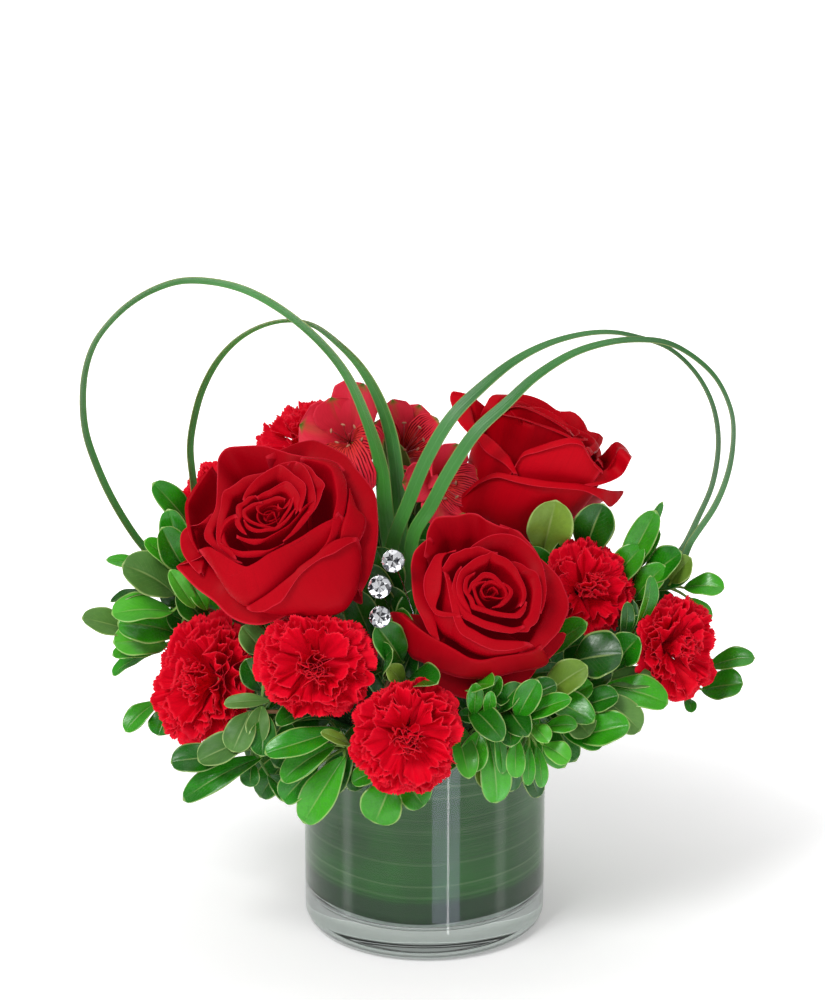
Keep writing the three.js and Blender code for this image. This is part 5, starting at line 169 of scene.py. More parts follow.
        ["ring_a",[[13.09,27.76,-6.42],[7.91,29.96,1.72],[1.74,30.64,8.49],[-3.65,30.48,12.36],[-7.44,29.78,15.56],[-13.61,27.51,18.0],[-19.97,23.31,20.81],[-25.27,17.41,22.54],[-28.68,10.91,23.55],[-30.29,4.91,23.95],[-30.64,-1.66,23.55],[-28.95,-10.18,19.71]],[[14.07,29.85,-6.82],[8.5,32.22,1.32],[1.87,32.95,8.09],[-3.93,32.77,11.96],[-8.0,32.02,15.16],[-14.63,29.58,17.6],[-21.47,25.06,20.41],[-27.17,18.72,22.14],[-30.84,11.73,23.15],[-32.57,5.28,23.55],[-32.95,-1.79,23.15],[-31.13,-10.95,19.31]],0.97,12.9],
        ["ring_b",[[7.05,26.51,8.39],[6.83,25.62,13.66],[-3.87,25.75,19.93],[-11.43,23.4,24.09],[-17.82,18.99,26.4],[-22.48,13.15,27.26],[-25.09,6.98,26.93],[-26.03,0.57,25.5],[18.67,-18.15,12.37]],[[7.58,28.51,7.99],[7.34,27.55,13.26],[-4.16,27.69,19.53],[-12.29,25.16,23.69],[-19.16,20.42,26.0],[-24.17,14.14,26.86],[-26.98,7.5,26.53],[-27.99,0.61,25.1],[20.07,-19.52,11.97]],0.97,12.9],
        ["ring_c",[[11.38,18.12,8.22],[12.09,17.64,13.56],[-8.54,19.61,21.5],[-14.57,15.66,23.77],[-18.83,10.14,24.33],[-20.96,4.26,23.68],[17.62,-12.13,11.83]],[[12.24,19.48,7.82],[13.0,18.97,13.16],[-9.18,21.09,21.1],[-15.67,16.84,23.37],[-20.25,10.9,23.93],[-22.54,4.58,23.28],[18.95,-13.04,11.43]],0.97,12.9],
        ["back_in",[[23.47,-13.35,11.29],[25.52,-11.3,16.8],[27.29,-5.81,17.76],[27.86,1.57,17.69],[26.22,9.56,18.18],[20.62,18.8,17.74],[9.94,26.07,15.97],[12.21,25.08,9.59]],[[26.08,-14.83,10.29],[28.35,-12.55,15.8],[30.32,-6.45,16.76],[30.95,1.75,16.69],[29.13,10.62,17.18],[22.91,20.89,16.74],[11.04,28.97,14.97],[13.57,27.87,8.59]],0.97,12.9],
    ],
}

# ------------------------------------------------------------------ small maths
def V(*a):
    return np.array(a if len(a) > 1 else a[0], float)


def unit(v):
    v = np.asarray(v, float)
    n = np.linalg.norm(v, axis=-1, keepdims=True)
    return v / np.maximum(n, 1e-12)


def smooth(a, b, x):
    t = np.clip((np.asarray(x, float) - a) / (b - a), 0, 1)
    return t * t * (3 - 2 * t)


def catmull(points, count, probe=24):
    """Even points on a centripetal spline through points (any number of columns)."""
    p = [np.array(q, float) for q in points]
    p = [2 * p[0] - p[1]] + p + [2 * p[-1] - p[-2]]
    out = []
    for i in range(1, len(p) - 2):
        a, b, c, d = p[i - 1], p[i], p[i + 1], p[i + 2]
        d0 = max(np.linalg.norm((b - a)[:3]) ** 0.5, 1e-4)
        d1 = max(np.linalg.norm((c - b)[:3]) ** 0.5, 1e-4)
        d2 = max(np.linalg.norm((d - c)[:3]) ** 0.5, 1e-4)
        t1 = ((b - a) / d0 - (c - a) / (d0 + d1) + (c - b) / d1) * d1
        t2 = ((c - b) / d1 - (d - b) / (d1 + d2) + (d - c) / d2) * d1
        t = np.linspace(0, 1, probe, endpoint=False)[:, None]
        out.append(b + t1 * t + (-3 * b + 3 * c - 2 * t1 - t2) * t ** 2 + (2 * b - 2 * c + t1 + t2) * t ** 3)
    out.append(p[-2][None])
    q = np.concatenate(out)
    s = np.concatenate([[0], np.cumsum(np.linalg.norm(np.diff(q[:, :3], axis=0), axis=1))])
    at = np.linspace(0, s[-1], count)
    return np.stack([np.interp(at, s, q[:, k]) for k in range(q.shape[1])], 1), s[-1]


def tangents(p):
    return unit(np.gradient(p, axis=0))


def carry(t, start=None):
    """A side direction carried along the tangents t without twist."""
    u = np.array([1.0, 0, 0]) if start is None else np.array(start, float)
    if start is None and abs(t[0][0]) > 0.8:
        u = np.array([0, 1.0, 0])
    out = []
    for k in range(len(t)):
        u = u - t[k] * (u @ t[k])
        u = u / np.linalg.norm(u)
        out.append(u)
    return np.array(out)


def head_axes(h):
    z = unit(V(h["axis"]))
    x = unit(np.cross([0, 0, 1.0], z))
    y = np.cross(z, x)
    return V(h["c"]), x, y, z


# --------------------------------------------------------------- mesh gathering
class Geo:
    """Collects surfaces of one piece: points, faces, material numbers, UVs, a tone."""

    def __init__(self):
        self.v, self.f, self.m, self.uv, self.tone, self.n = [], [], [], [], [], 0

    def grid(self, P, mat=0, uv=None, tone=0.5, close_u=False, close_v=False, flip=False):
        nu, nv = P.shape[:2]
        if uv is None:
            uu, vv = np.meshgrid(np.linspace(0, 1, nu), np.linspace(0, 1, nv), indexing="ij")
            uv = np.stack([uu, vv], -1)
        idx = self.n + np.arange(nu * nv).reshape(nu, nv)
        self.v.append(P.reshape(-1, 3))
        self.uv.append(uv.reshape(-1, 2))
        self.tone.append(np.broadcast_to(np.asarray(tone, float), (nu, nv)).reshape(-1))
        self.n += nu * nv
        iu = np.arange(nu if close_u else nu - 1)
        iv = np.arange(nv if close_v else nv - 1)
        a = idx[np.ix_(iu, iv)]
        b = idx[np.ix_((iu + 1) % nu, iv)]
        c = idx[np.ix_((iu + 1) % nu, (iv + 1) % nv)]
        d = idx[np.ix_(iu, (iv + 1) % nv)]
        q = np.stack([a, b, c, d], -1).reshape(-1, 4)
        if flip:
            q = q[:, ::-1]
        self.f.append(q)
        self.m.append(np.full(len(q), mat))
        return idx

    def faces(self, quads, mat):
        quads = np.asarray(quads)
        self.f.append(quads)
        self.m.append(np.full(len(quads), mat))

    def sheet(self, P, thick, mats=(0, 1, 2), tone=0.5, uv=None, taper=0.25):
        """A thin closed solid on the grid P (across, along, xyz): front, back and rim."""
        du = np.gradient(P, axis=0)
        dv = np.gradient(P, axis=1)
        nrm = unit(np.cross(du, dv))
        nu, nv = P.shape[:2]
        uu, vv = np.meshgrid(np.linspace(-1, 1, nu), np.linspace(0, 1, nv), indexing="ij")
        edge = np.minimum(1, np.minimum((1 - np.abs(uu)) * 6, (1 - vv) * 8) * (1 - taper) + taper)
        t = (thick * edge)[..., None] * 0.5 if np.ndim(thick) == 0 else (thick * edge)[..., None] * 0.5
        a = self.grid(P + nrm * t, mats[0], uv, tone)
        b = self.grid(P - nrm * t, mats[1], uv, tone, flip=True)
        q = []
        ring = [(i, 0) for i in range(nu)] + [(nu - 1, j) for j in range(1, nv)] + [(i, nv - 1) for i in range(nu - 2, -1, -1)] + [(0, j) for j in range(nv - 2, 0, -1)]
        for k in range(len(ring)):
            p0, p1 = ring[k], ring[(k + 1) % len(ring)]
            q.append((a[p1], a[p0], b[p0], b[p1]))
        self.faces(q, mats[2])

    def tube(self, path, radius, sides=10, mat=0, tone=0.5, cap=True, start=None, oval=1.0):
        t = tangents(path)
        u = carry(t, start)
        w = np.cross(t, u)
        r = np.broadcast_to(np.asarray(radius, float), (len(path),))
        a = np.linspace(0, 2 * math.pi, sides, endpoint=False)
        P = path[None] + (np.cos(a)[:, None, None] * u[None] + np.sin(a)[:, None, None] * w[None] * oval) * r[None, :, None]
        idx = self.grid(P, mat, tone=tone, close_u=True)
        if cap:
            self.faces([(idx[0, 0], idx[(k + 1) % sides, 0], idx[k, 0], idx[0, 0]) for k in range(sides)][1:-1], mat)
            self.faces([(idx[0, -1], idx[k, -1], idx[(k + 1) % sides, -1], idx[0, -1]) for k in range(sides)][1:-1], mat)

    def lathe(self, prof, seg, axes=None, mat=0, tone=0.5, wob=None):
        """Turned solid. prof: (r, z) rows; starts and ends on the axis."""
        prof = np.array(prof, float)
        a = np.linspace(0, 2 * math.pi, seg, endpoint=False)
        c, x, y, z = axes if axes is not None else (V(0, 0, 0), V(1, 0, 0), V(0, 1, 0), V(0, 0, 1))
        r = np.maximum(prof[:, 0], 1e-4)
        rr = np.broadcast_to(r, (seg, len(r)))
        if wob is not None:
            rr = rr * (1 + wob(a[:, None], prof[None, :, 1]))
        P = c + rr[..., None] * (np.cos(a)[:, None, None] * x + np.sin(a)[:, None, None] * y) + prof[None, :, 1, None] * z
        self.grid(P, mat, tone=tone, close_u=True)


def piece(name, geo, mats, nodes=(), weld=2e-6, ride=True):
    v = np.concatenate(geo.v) * MM
    uv = np.concatenate(geo.uv)
    tone = np.concatenate(geo.tone)
    f = np.concatenate(geo.f)
    m = np.concatenate(geo.m)
    # drop degenerate corners where poles and caps repeat a point
    tri = [tuple(dict.fromkeys(q)) for q in f.tolist()]
    keep = [i for i, q in enumerate(tri) if len(q) > 2]
    faces = [tri[i] for i in keep]
    m = m[keep]
    me = bpy.data.meshes.new(name)
    me.from_pydata(v.tolist(), [], faces)
    me.polygons.foreach_set("material_index", m.astype(np.int32))
    me.polygons.foreach_set("use_smooth", np.ones(len(faces), bool))
    lay = me.uv_layers.new(name="UVMap")
    li = np.empty(len(me.loops), np.int32)
    me.loops.foreach_get("vertex_index", li)
    lay.data.foreach_set("uv", uv[li].astype(np.float32).ravel())
    at = me.attributes.new("tone", "FLOAT", "POINT")
    at.data.foreach_set("value", tone.astype(np.float32))
    for mt in mats:
        me.materials.append(mt)
    me.update()
    ob = bpy.data.objects.new(name, me)
    bpy.context.scene.collection.objects.link(ob)
    if ride:
        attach(ob, "root")
    if nodes:
        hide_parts(*nodes)
    return ob


# -------------------------------------------------------------------- materials
def lin(r, g, b):
    f = lambda c: (c / 255) / 12.92 if c / 255 <= 0.04045 else ((c / 255 + 0.055) / 1.055) ** 2.4
    return (f(r), f(g), f(b), 1.0)


class Mat:
    def __init__(self, name):
        self.m = bpy.data.materials.new(name)
        self.m.use_nodes = True
        self.t = self.m.node_tree
        self.t.nodes.clear()
        self.out = self.node("ShaderNodeOutputMaterial")
        self.b = self.node("ShaderNodeBsdfPrincipled")
        self.link(self.b.outputs[0], self.out.inputs[0])

    def node(self, kind, **kw):
        n = self.t.nodes.new(kind)
        for k, v in kw.items():
            setattr(n, k, v)
        return n

    def link(self, a, b):
        self.t.links.new(a, b)

    def set(self, **kw):
        for k, v in kw.items():
            self.b.inputs[k.replace("_", " ")].default_value = v
        return self

    def put(self, sock, v):
        if isinstance(v, (int, float, tuple, list)):
            sock.default_value = v
        else:
            self.link(v, sock)

    def math(self, op, a, b=0.0, c=None, clamp=False):
        n = self.node("ShaderNodeMath", operation=op, use_clamp=clamp)
        self.put(n.inputs[0], a)
        self.put(n.inputs[1], b)
        if c is not None:
            self.put(n.inputs[2], c)
        return n.outputs[0]

    def step(self, lo, hi, x, a=0.0, b=1.0):
        n = self.node("ShaderNodeMapRange", interpolation_type="SMOOTHSTEP")
        self.put(n.inputs[0], x)
        n.inputs[1].default_value = lo
        n.inputs[2].default_value = hi
        n.inputs[3].default_value = a
        n.inputs[4].default_value = b
        return n.outputs[0]

    def mix(self, f, a, b, blend="MIX"):
        n = self.node("ShaderNodeMix", data_type="RGBA", blend_type=blend)
        self.put(n.inputs[0], f)
        self.put(n.inputs[6], a)
        self.put(n.inputs[7], b)
        return n.outputs[2]

    def uv(self):
        n = self.node("ShaderNodeUVMap")
        n.uv_map = "UVMap"
        s = self.node("ShaderNodeSeparateXYZ")
        self.link(n.outputs[0], s.inputs[0])
        self.uvo = n.outputs[0]
        return s.outputs[0], s.outputs[1]

    def tone(self):
        n = self.node("ShaderNodeAttribute")
        n.attribute_name = "tone"
        return n.outputs["Fac"]

    def noise(self, vec, scale, detail=2.0, rough=0.5, stretch=None, dim="3D"):
        if stretch is not None:
            mp = self.node("ShaderNodeMapping")
            self.link(vec, mp.inputs[0])
            mp.inputs["Scale"].default_value = stretch
            vec = mp.outputs[0]
        n = self.node("ShaderNodeTexNoise")
        if vec is not None:
            self.link(vec, n.inputs["Vector"])
        n.inputs["Scale"].default_value = scale
        n.inputs["Detail"].default_value = detail
        n.inputs["Roughness"].default_value = rough
        return n.outputs["Fac"]

    def obj(self):
        return self.node("ShaderNodeTexCoord").outputs["Object"]

    def bump(self, h, strength, dist=0.0003):
        n = self.node("ShaderNodeBump")
        n.inputs["Strength"].default_value = strength
        n.inputs["Distance"].default_value = dist
        self.link(h, n.inputs["Height"])
        self.link(n.outputs[0], self.b.inputs["Normal"])

    def color(self, c):
        self.put(self.b.inputs["Base Color"], c)
        return self
# ------------------------------------------------------------------------ roses
def flap_of(F, E, up, round_, nf):
    """The turned-out part of a petal, from its fold F to its free edge E."""
    e = E - F
    m = np.linalg.norm(e)
    h = round_ * m + 0.15
    t = np.linspace(0, 1, nf)[1:, None]
    p1 = F + up * h
    p2 = E - unit(e) * 0.30 * m + up * h * 0.45
    return (1 - t) ** 3 * F + 3 * (1 - t) ** 2 * t * p1 + 3 * (1 - t) * t ** 2 * p2 + t ** 3 * E


def rose_petal(geo, ax, R, F, E, belly=0.95, drop=8.0, z0=None, hub=(0, 0), seed=0, tone=0.5, nu=45, base=3.0, soft=0.35, nb=16, nf=9, thick=0.26, round_=0.22):
    """One petal, in the bloom's own axes. E is its free edge and F the line where it
    turns outward; below F the wall goes down to the hip, belly times as wide at drop
    below F (or, given as a negative length, at that radius)."""
    c, X, Y, Z = ax
    rng = np.random.default_rng(seed)
    F, _ = catmull(F, nu)
    E, _ = catmull(E, nu)
    hub = V(hub)
    z0 = -0.60 * R if z0 is None else z0
    d = F[:, :2] - hub
    rF = np.hypot(d[:, 0], d[:, 1])
    dirs = d / np.maximum(rF, 1e-3)[:, None]
    u = np.linspace(-1, 1, nu)
    seen = catmull(belly, nu)[0] if isinstance(belly, (list, tuple)) else None
    rows = []
    for k in range(nu):
        zt = F[k, 2]
        if seen is not None:
            foot = V(base * dirs[k, 0], base * dirs[k, 1], z0)
            hip = V(0.62 * seen[k, 0], 0.62 * seen[k, 1], z0 + 0.2 * (seen[k, 2] - z0))
            body, _ = catmull([foot, hip, seen[k], F[k]], nb, probe=10)
            rows.append(np.concatenate([body, flap_of(F[k], E[k], unit(body[-1] - body[-2]), round_, nf)]))
            continue
        rb = rF[k] * min(1.0, belly - 0.05 - 0.09 * dirs[k, 1]) if belly > 0 else -belly * (1 - 0.03 * u[k] ** 2) - hub @ dirs[k]
        zb = zt - drop
        low = (0.62 * rb + 0.3 * base, z0 + 0.16 * (zb - z0))
        prof = [(base * min(1, rb / base), z0), low, (rb, zb), (rF[k], zt)]
        q, _ = catmull([np.array([a, b, 0.0]) for a, b in prof], nb, probe=10)
        w = np.clip((q[:, 1] - z0) / (zt - z0), 0, 1)
        body = np.stack([q[:, 0] * dirs[k, 0] + hub[0] * w, q[:, 0] * dirs[k, 1] + hub[1] * w, q[:, 1]], 1)
        rows.append(np.concatenate([body, flap_of(F[k], E[k], unit(body[-1] - body[-2]), round_, nf)]))
    P = np.array(rows)
    nv = P.shape[1]
    v = np.linspace(0, 1, nv)
    # the soft hollows of a thin sheet
    a, b, e = rng.uniform(0, 6.28, 3)
    size = min(1.0, rF.mean() / 22.0)
    w = soft * size * (np.sin(4.2 * u[:, None] + a + 2.0 * v) * 0.6 + np.sin(7.7 * u[:, None] + b + v) * 0.4 + 0.35 * np.sin(13 * u[:, None] + e) * v)
    du, dv = np.gradient(P, axis=0), np.gradient(P, axis=1)
    fade = smooth(0.25, 0.8, v) * (1 - 0.55 * smooth(0.86, 1.0, v))
    P = P + unit(np.cross(du, dv)) * (w * fade[None])[..., None]
    W = c + P[..., :1] * X + P[..., 1:2] * Y + P[..., 2:] * Z
    uu, vv = np.meshgrid(np.linspace(0, 1, nu), v, indexing="ij")
    geo.sheet(W, thick, mats=(0, 0, 1), tone=tone, uv=np.stack([uu, vv], -1), taper=0.55)


def small_petal(geo, ax, R, F, rng, lip, **kw):
    """A petal of the heart given by one line: its edge turns out by a narrow lip."""
    F, _ = catmull(F, 31)
    tl = unit(np.gradient(F[:, :2], axis=0))
    out = np.stack([tl[:, 1], -tl[:, 0]], 1)
    hub = V(kw.get("hub", (0, 0)))
    sgn = np.sign(np.mean((out * (F[:, :2] - hub)).sum(1))) or 1
    u = np.linspace(-1, 1, len(F))
    g = lip * (0.5 + 0.5 * (1 - np.abs(u) ** 3)) * (1 + 0.3 * np.sin(3.1 * u + rng.uniform(0, 6)))
    E = F + np.concatenate([out * sgn * g[:, None], -0.25 * g[:, None]], 1)
    rose_petal(geo, ax, R, F, E, **kw)


def rose_heart(geo, ax, R, n, r0, dr, squash=(1.0, 0.0), phase=0.0, seed=1, top=0.33, wide=1.0, offset=(0, 0), z0=None, flare=0.86, stop=9.0):
    """The furled middle: n petals wound at 137.5 degrees, each lip a little further out."""
    rng = np.random.default_rng(seed)
    k, turn = squash
    for i in range(n):
        r = r0 + dr * i * (1 + 0.02 * i)
        rho = r / R
        phi = phase + 2.39996 * i + rng.uniform(-0.3, 0.3)
        z = R * (top + np.interp(rho, [0, 0.12, 0.35, 0.6, 0.8], [-0.06, 0, 0.01, -0.05, -0.2]) + rng.uniform(-0.02, 0.02))
        half = R * np.interp(rho, [0, 0.1, 0.2, 0.4, 0.6, 0.8], [0.12, 0.24, 0.36, 0.52, 0.62, 0.66]) * wide * rng.uniform(0.85, 1.15)
        ang = min(half / r, 2.2 - 0.6 * rho)
        tilt = rng.uniform(-0.8, 0.8)
        peak = rng.uniform(-0.45, 0.45)
        sharp = rng.uniform(1.3, 2.2)
        F = []
        for u in np.linspace(-1, 1, 13):
            a = phi + u * ang
            rr = r * (1 + 0.07 * tilt * u + 0.05 * math.sin(2.6 * u + 4 * tilt)) + (0.5 + 0.2 * i ** 0.5) * 0.5 * u - 0.10 * r * (abs(u) ** 3)
            rr += 0.06 * r * math.exp(-((u - peak) / 0.16) ** 2)
            s = 1 + (k - 1) * math.cos(a - turn) ** 2
            zz = z - R * (0.04 + 0.08 * min(1, rho * 2)) * abs(u - peak) ** sharp + 0.012 * R * math.sin(3 * u + tilt * 5)
            F.append((rr * s * math.cos(a) + offset[0], rr * s * math.sin(a) + offset[1], zz))
        lip = np.interp(rho, [0, 0.15, 0.4, 0.7], [0.3, 0.8, 1.8, 3.2]) * rng.uniform(0.7, 1.3)
        small_petal(geo, ax, R, F, rng, lip, belly=flare, drop=R * np.interp(rho, [0, 0.8], [0.2, 0.3]), z0=z0, hub=offset, seed=seed * 100 + i,
                    tone=rng.uniform(0.3, 0.7), nu=31, base=1.0 + 2.0 * rho, soft=0.3)


def rose_green(geo, ax, R, stem, seed, deep=0.6):
    """The hip, five sepals folded back from it, and the stem down into the foam."""
    c, X, Y, Z = ax
    rng = np.random.default_rng(seed)
    z = -deep * R
    geo.lathe([(0, z - 11), (2.9, z - 10.4), (3.9, z - 8.6), (5.4, z - 5), (5.9, z - 2.4), (5.2, z - 0.4), (3.2, z + 1.2), (0, z + 1.6)], 24, ax, 0, 0.5,
              wob=lambda a, h: 0.03 * np.sin(5 * a + h))
    for i in range(5):
        a = 2 * math.pi * i / 5 + rng.uniform(-0.2, 0.2)
        d = math.cos(a) * X + math.sin(a) * Y
        L = R * rng.uniform(0.36, 0.46)
        s = np.linspace(0, 1, 16)
        drop = rng.uniform(0.1, 0.7)
        line = c + (5.0 + L * s)[:, None] * d + (z - 1.0 + 4.5 * np.sin(s * 2.2) - drop * 9 * s ** 2)[:, None] * Z
        side = np.cross(Z, d)
        w = 3.9 * (1 - s) ** 0.75 * (0.75 + 0.5 * np.sin(s * 3.0)) + 0.15
        uu = np.linspace(-1, 1, 9)
        P = line[None] + uu[:, None, None] * w[None, :, None] * side + ((np.abs(uu) ** 2)[:, None] * w[None] * 0.35)[..., None] * Z
        geo.sheet(P, 0.5, mats=(0, 0, 0), tone=0.4 + 0.2 * rng.random())
    pts, _ = catmull([c + (z - 9.5) * Z] + [V(q) for q in stem["pts"][1:]], 30)
    geo.tube(pts, np.interp(np.linspace(0, 1, 30), [0, 0.1, 1], [2.6, stem["r"], stem["r"] * 0.92]), 14, 0, 0.45)

# ------------------------------------------------------------------- carnations
def carnation(geo, ax, R, seed, count=58, flat=1.0, spread=106, sx=1.0, sy=1.0, thick=0.30):
    c, X, Y, Z = ax
    rng = np.random.default_rng(seed)
    nu, nv = 61, 15
    u = np.linspace(-1, 1, nu)[:, None]
    v = np.linspace(0, 1, nv) ** 0.85
    lob = rng.uniform(0, 6.28, 3)
    zc = -0.10 * R
    for i in range(count):
        f = (i + 0.5) / count
        guard = smooth(0.62, 0.8, f)
        al = math.radians(2 + (spread - 2) * f ** 0.68) + rng.uniform(-0.13, 0.13)
        ph = 2.39996 * i + rng.uniform(-0.45, 0.45)
        reach = 1 + 0.06 * math.sin(2 * ph + lob[0]) + 0.05 * math.sin(3 * ph + lob[1])
        rt = R * rng.uniform(0.86, 1.0) * math.sin(min(abs(al), 1.75)) ** 0.9 * reach
        if f < 0.2:
            rt = R * rng.uniform(-0.10, 0.24)
        zt = zc + R * math.cos(al) * flat * (0.60 * rng.uniform(0.86, 1.06)) + rng.uniform(-0.05, 0.04) * R * (1 - guard)
        psi = math.radians(96) - al * rng.uniform(0.7, 1.05) - 0.25 * guard
        p0 = np.array([0.06 * R * rng.random() + 1.0 + 2.4 * f, -0.42 * R])
        p3 = np.array([rt, zt])
        L = np.linalg.norm(p3 - p0)
        p1 = p0 + np.array([0.10 + 0.55 * f, 1.0]) / 1.1 * L * 0.42
        p2 = p3 - np.array([math.cos(psi), math.sin(psi)]) * L * 0.40
        W = 0.40 * R * rng.uniform(0.8, 1.15) * (0.66 + 0.62 * f ** 0.6)
        teeth = rng.integers(11, 17)
        un = u[:, 0] + 0.05 * np.sin(5 * u[:, 0] + rng.uniform(0, 6)) + 0.02 * np.sin(19 * u[:, 0] + rng.uniform(0, 6))
        cut = np.abs(((un * teeth + rng.uniform(0, 1)) % 1.0) - 0.5) * 2
        depth = (0.028 + 0.045 * np.abs(np.sin(u[:, 0] * 6.3 + rng.uniform(0, 6)))) * (0.8 + 0.4 * np.sin(u[:, 0] * 15 + rng.uniform(0, 6)))
        end = 1 - 0.18 * np.abs(u[:, 0]) ** 2.3 - depth * cut - 0.04 * (1 + np.sin(u[:, 0] * 4.1 + rng.uniform(0, 6))) + rng.uniform(-0.05, 0.05) * u[:, 0]
        vv = v[None] * (1 + (end[:, None] - 1) * (0.30 + 0.70 * v[None] ** 3))
        t = vv
        b = lambda k: (1 - t) ** 3 * p0[k] + 3 * (1 - t) ** 2 * t * p1[k] + 3 * (1 - t) * t ** 2 * p2[k] + t ** 3 * p3[k]
        r, z = b(0), b(1)
        fan = np.interp(vv, [0, 0.22, 0.45, 0.7, 0.9, 1.0], [0.07, 0.10, 0.34, 0.70, 0.94, 1.0])
        a = u * W * fan
        g = smooth(0.22, 1.0, vv) ** 1.15
        amp = R * ((1 - guard) * rng.uniform(0.065, 0.12) + guard * rng.uniform(0.030, 0.060))
        k1, k2, k3 = rng.uniform(3.0, 6.0), rng.uniform(8, 12), rng.uniform(15, 22)
        q1, q2, q3, q4 = rng.uniform(0, 6.28, 4)
        mod = 1 + 0.5 * np.sin(2.3 * u + q4)
        fold = np.sin(k1 * u + q1 + 0.8 * vv)
        fold = np.sign(fold) * np.abs(fold) ** 0.8
        off = amp * g * mod * (0.75 * fold + 0.50 * np.sin(k2 * u + q2 - 1.2 * vv) + 0.24 * g * np.sin(k3 * u + q3))
        curl = rng.uniform(-0.10, 0.14) * R * vv ** 4 * (0.5 + 0.5 * np.sin(2.6 * u + q2))
        a = a + 0.20 * amp * g * np.cos(2 * (k1 * u + q1))
        Rc = np.maximum(np.abs(r), 0.30 * R) * 1.5
        th = a / Rc
        rad = r - Rc * (1 - np.cos(th))
        tan = Rc * np.sin(th)
        dr, dz = np.gradient(r, axis=1), np.gradient(z, axis=1)
        m = np.maximum(np.hypot(dr, dz), 1e-6)
        nr, nz = -dz / m, dr / m
        rad = rad + nr * (off + curl)
        z = z + nz * (off + curl) + rng.uniform(-0.04, 0.04) * R * u * g
        x = rad * math.cos(ph) - tan * math.sin(ph)
        y = rad * math.sin(ph) + tan * math.cos(ph)
        # nothing passes the bloom's dome
        zz = z - zc
        q = np.sqrt((x ** 2 + y ** 2) / R ** 2 + np.maximum(zz, 0) ** 2 / (0.66 * R) ** 2)
        k = np.where(q > 0.94, (0.94 + 0.35 * (q - 0.94)) / q, 1.0)
        x, y = x * k * sx, y * k * sy
        z = np.where(zz > 0, zc + zz * k, z)
        P = c + x[..., None] * X + y[..., None] * Y + z[..., None] * Z
        uvx = np.broadcast_to((u + 1) / 2, P.shape[:2])
        uv = np.stack([uvx, np.broadcast_to(v[None], P.shape[:2])], -1)
        geo.sheet(P, thick, mats=(0, 0, 1), tone=rng.uniform(0.25, 0.75), uv=uv, taper=0.4)


def carnation_green(geo, ax, R, stem, seed):
    c, X, Y, Z = ax
    rng = np.random.default_rng(seed)
    t0 = V(stem["pts"][0])
    b = (t0 - c) @ Z - 14.5
    a = 2 * math.pi
    geo.lathe([(0, b - 0.6), (2.4, b), (3.9, b + 1.6), (4.5, b + 4), (5.2, b + 10), (6.2, b + 16), (6.6, b + 19.5), (5.9, b + 19.8), (4.6, b + 14), (0, b + 9)], 30, ax, 0, 0.5,
              wob=lambda q, h: 0.035 * np.sin(5 * q + 0.4))
    for i in range(5):
        q = a * i / 5 + 0.3
        d = math.cos(q) * X + math.sin(q) * Y
        side = np.cross(Z, d)
        s = np.linspace(0, 1, 9)
        line = c + (5.9 + 1.6 * s ** 1.5)[:, None] * d + (b + 15 + 8.5 * s)[:, None] * Z
        uu = np.linspace(-1, 1, 7)
        w = 3.6 * (1 - s ** 1.6) + 0.12
        P = line[None] + uu[:, None, None] * w[None, :, None] * side - (np.abs(uu) ** 2 * 0.9)[:, None, None] * d
        geo.sheet(P, 0.5, mats=(0, 0, 0), tone=0.55)
    for i in range(2):
        for sg in (0, math.pi):
            q = sg + i * 1.57 + rng.uniform(-0.2, 0.2)
            d = math.cos(q) * X + math.sin(q) * Y
            side = np.cross(Z, d)
            s = np.linspace(0, 1, 9)
            line = c + (3.4 + 0.9 * i + 1.3 * np.sin(s * 2.2))[:, None] * d + (b - 0.2 + i * 0.9 + 7 * s)[:, None] * Z
            uu = np.linspace(-1, 1, 7)
            w = 3.0 * (1 - s ** 2.2) + 0.1
            P = line[None] + uu[:, None, None] * w[None, :, None] * side - (np.abs(uu) ** 2 * 0.9)[:, None, None] * d
            geo.sheet(P, 0.45, mats=(0, 0, 0), tone=0.6)
    pts, _ = catmull([c + (b + 0.3) * Z] + [V(q) for q in stem["pts"][1:]], 26)
    geo.tube(pts, stem["r"], 12, 0, 0.45)
    # a swollen joint on the stem
    k = 8
    d = unit(pts[k + 1] - pts[k - 1])
    s = np.linspace(-1, 1, 7)
    geo.tube(pts[k] + s[:, None] * 3.0 * d, stem["r"] * (1.02 + 0.45 * (1 - s ** 2)), 12, 0, 0.7)


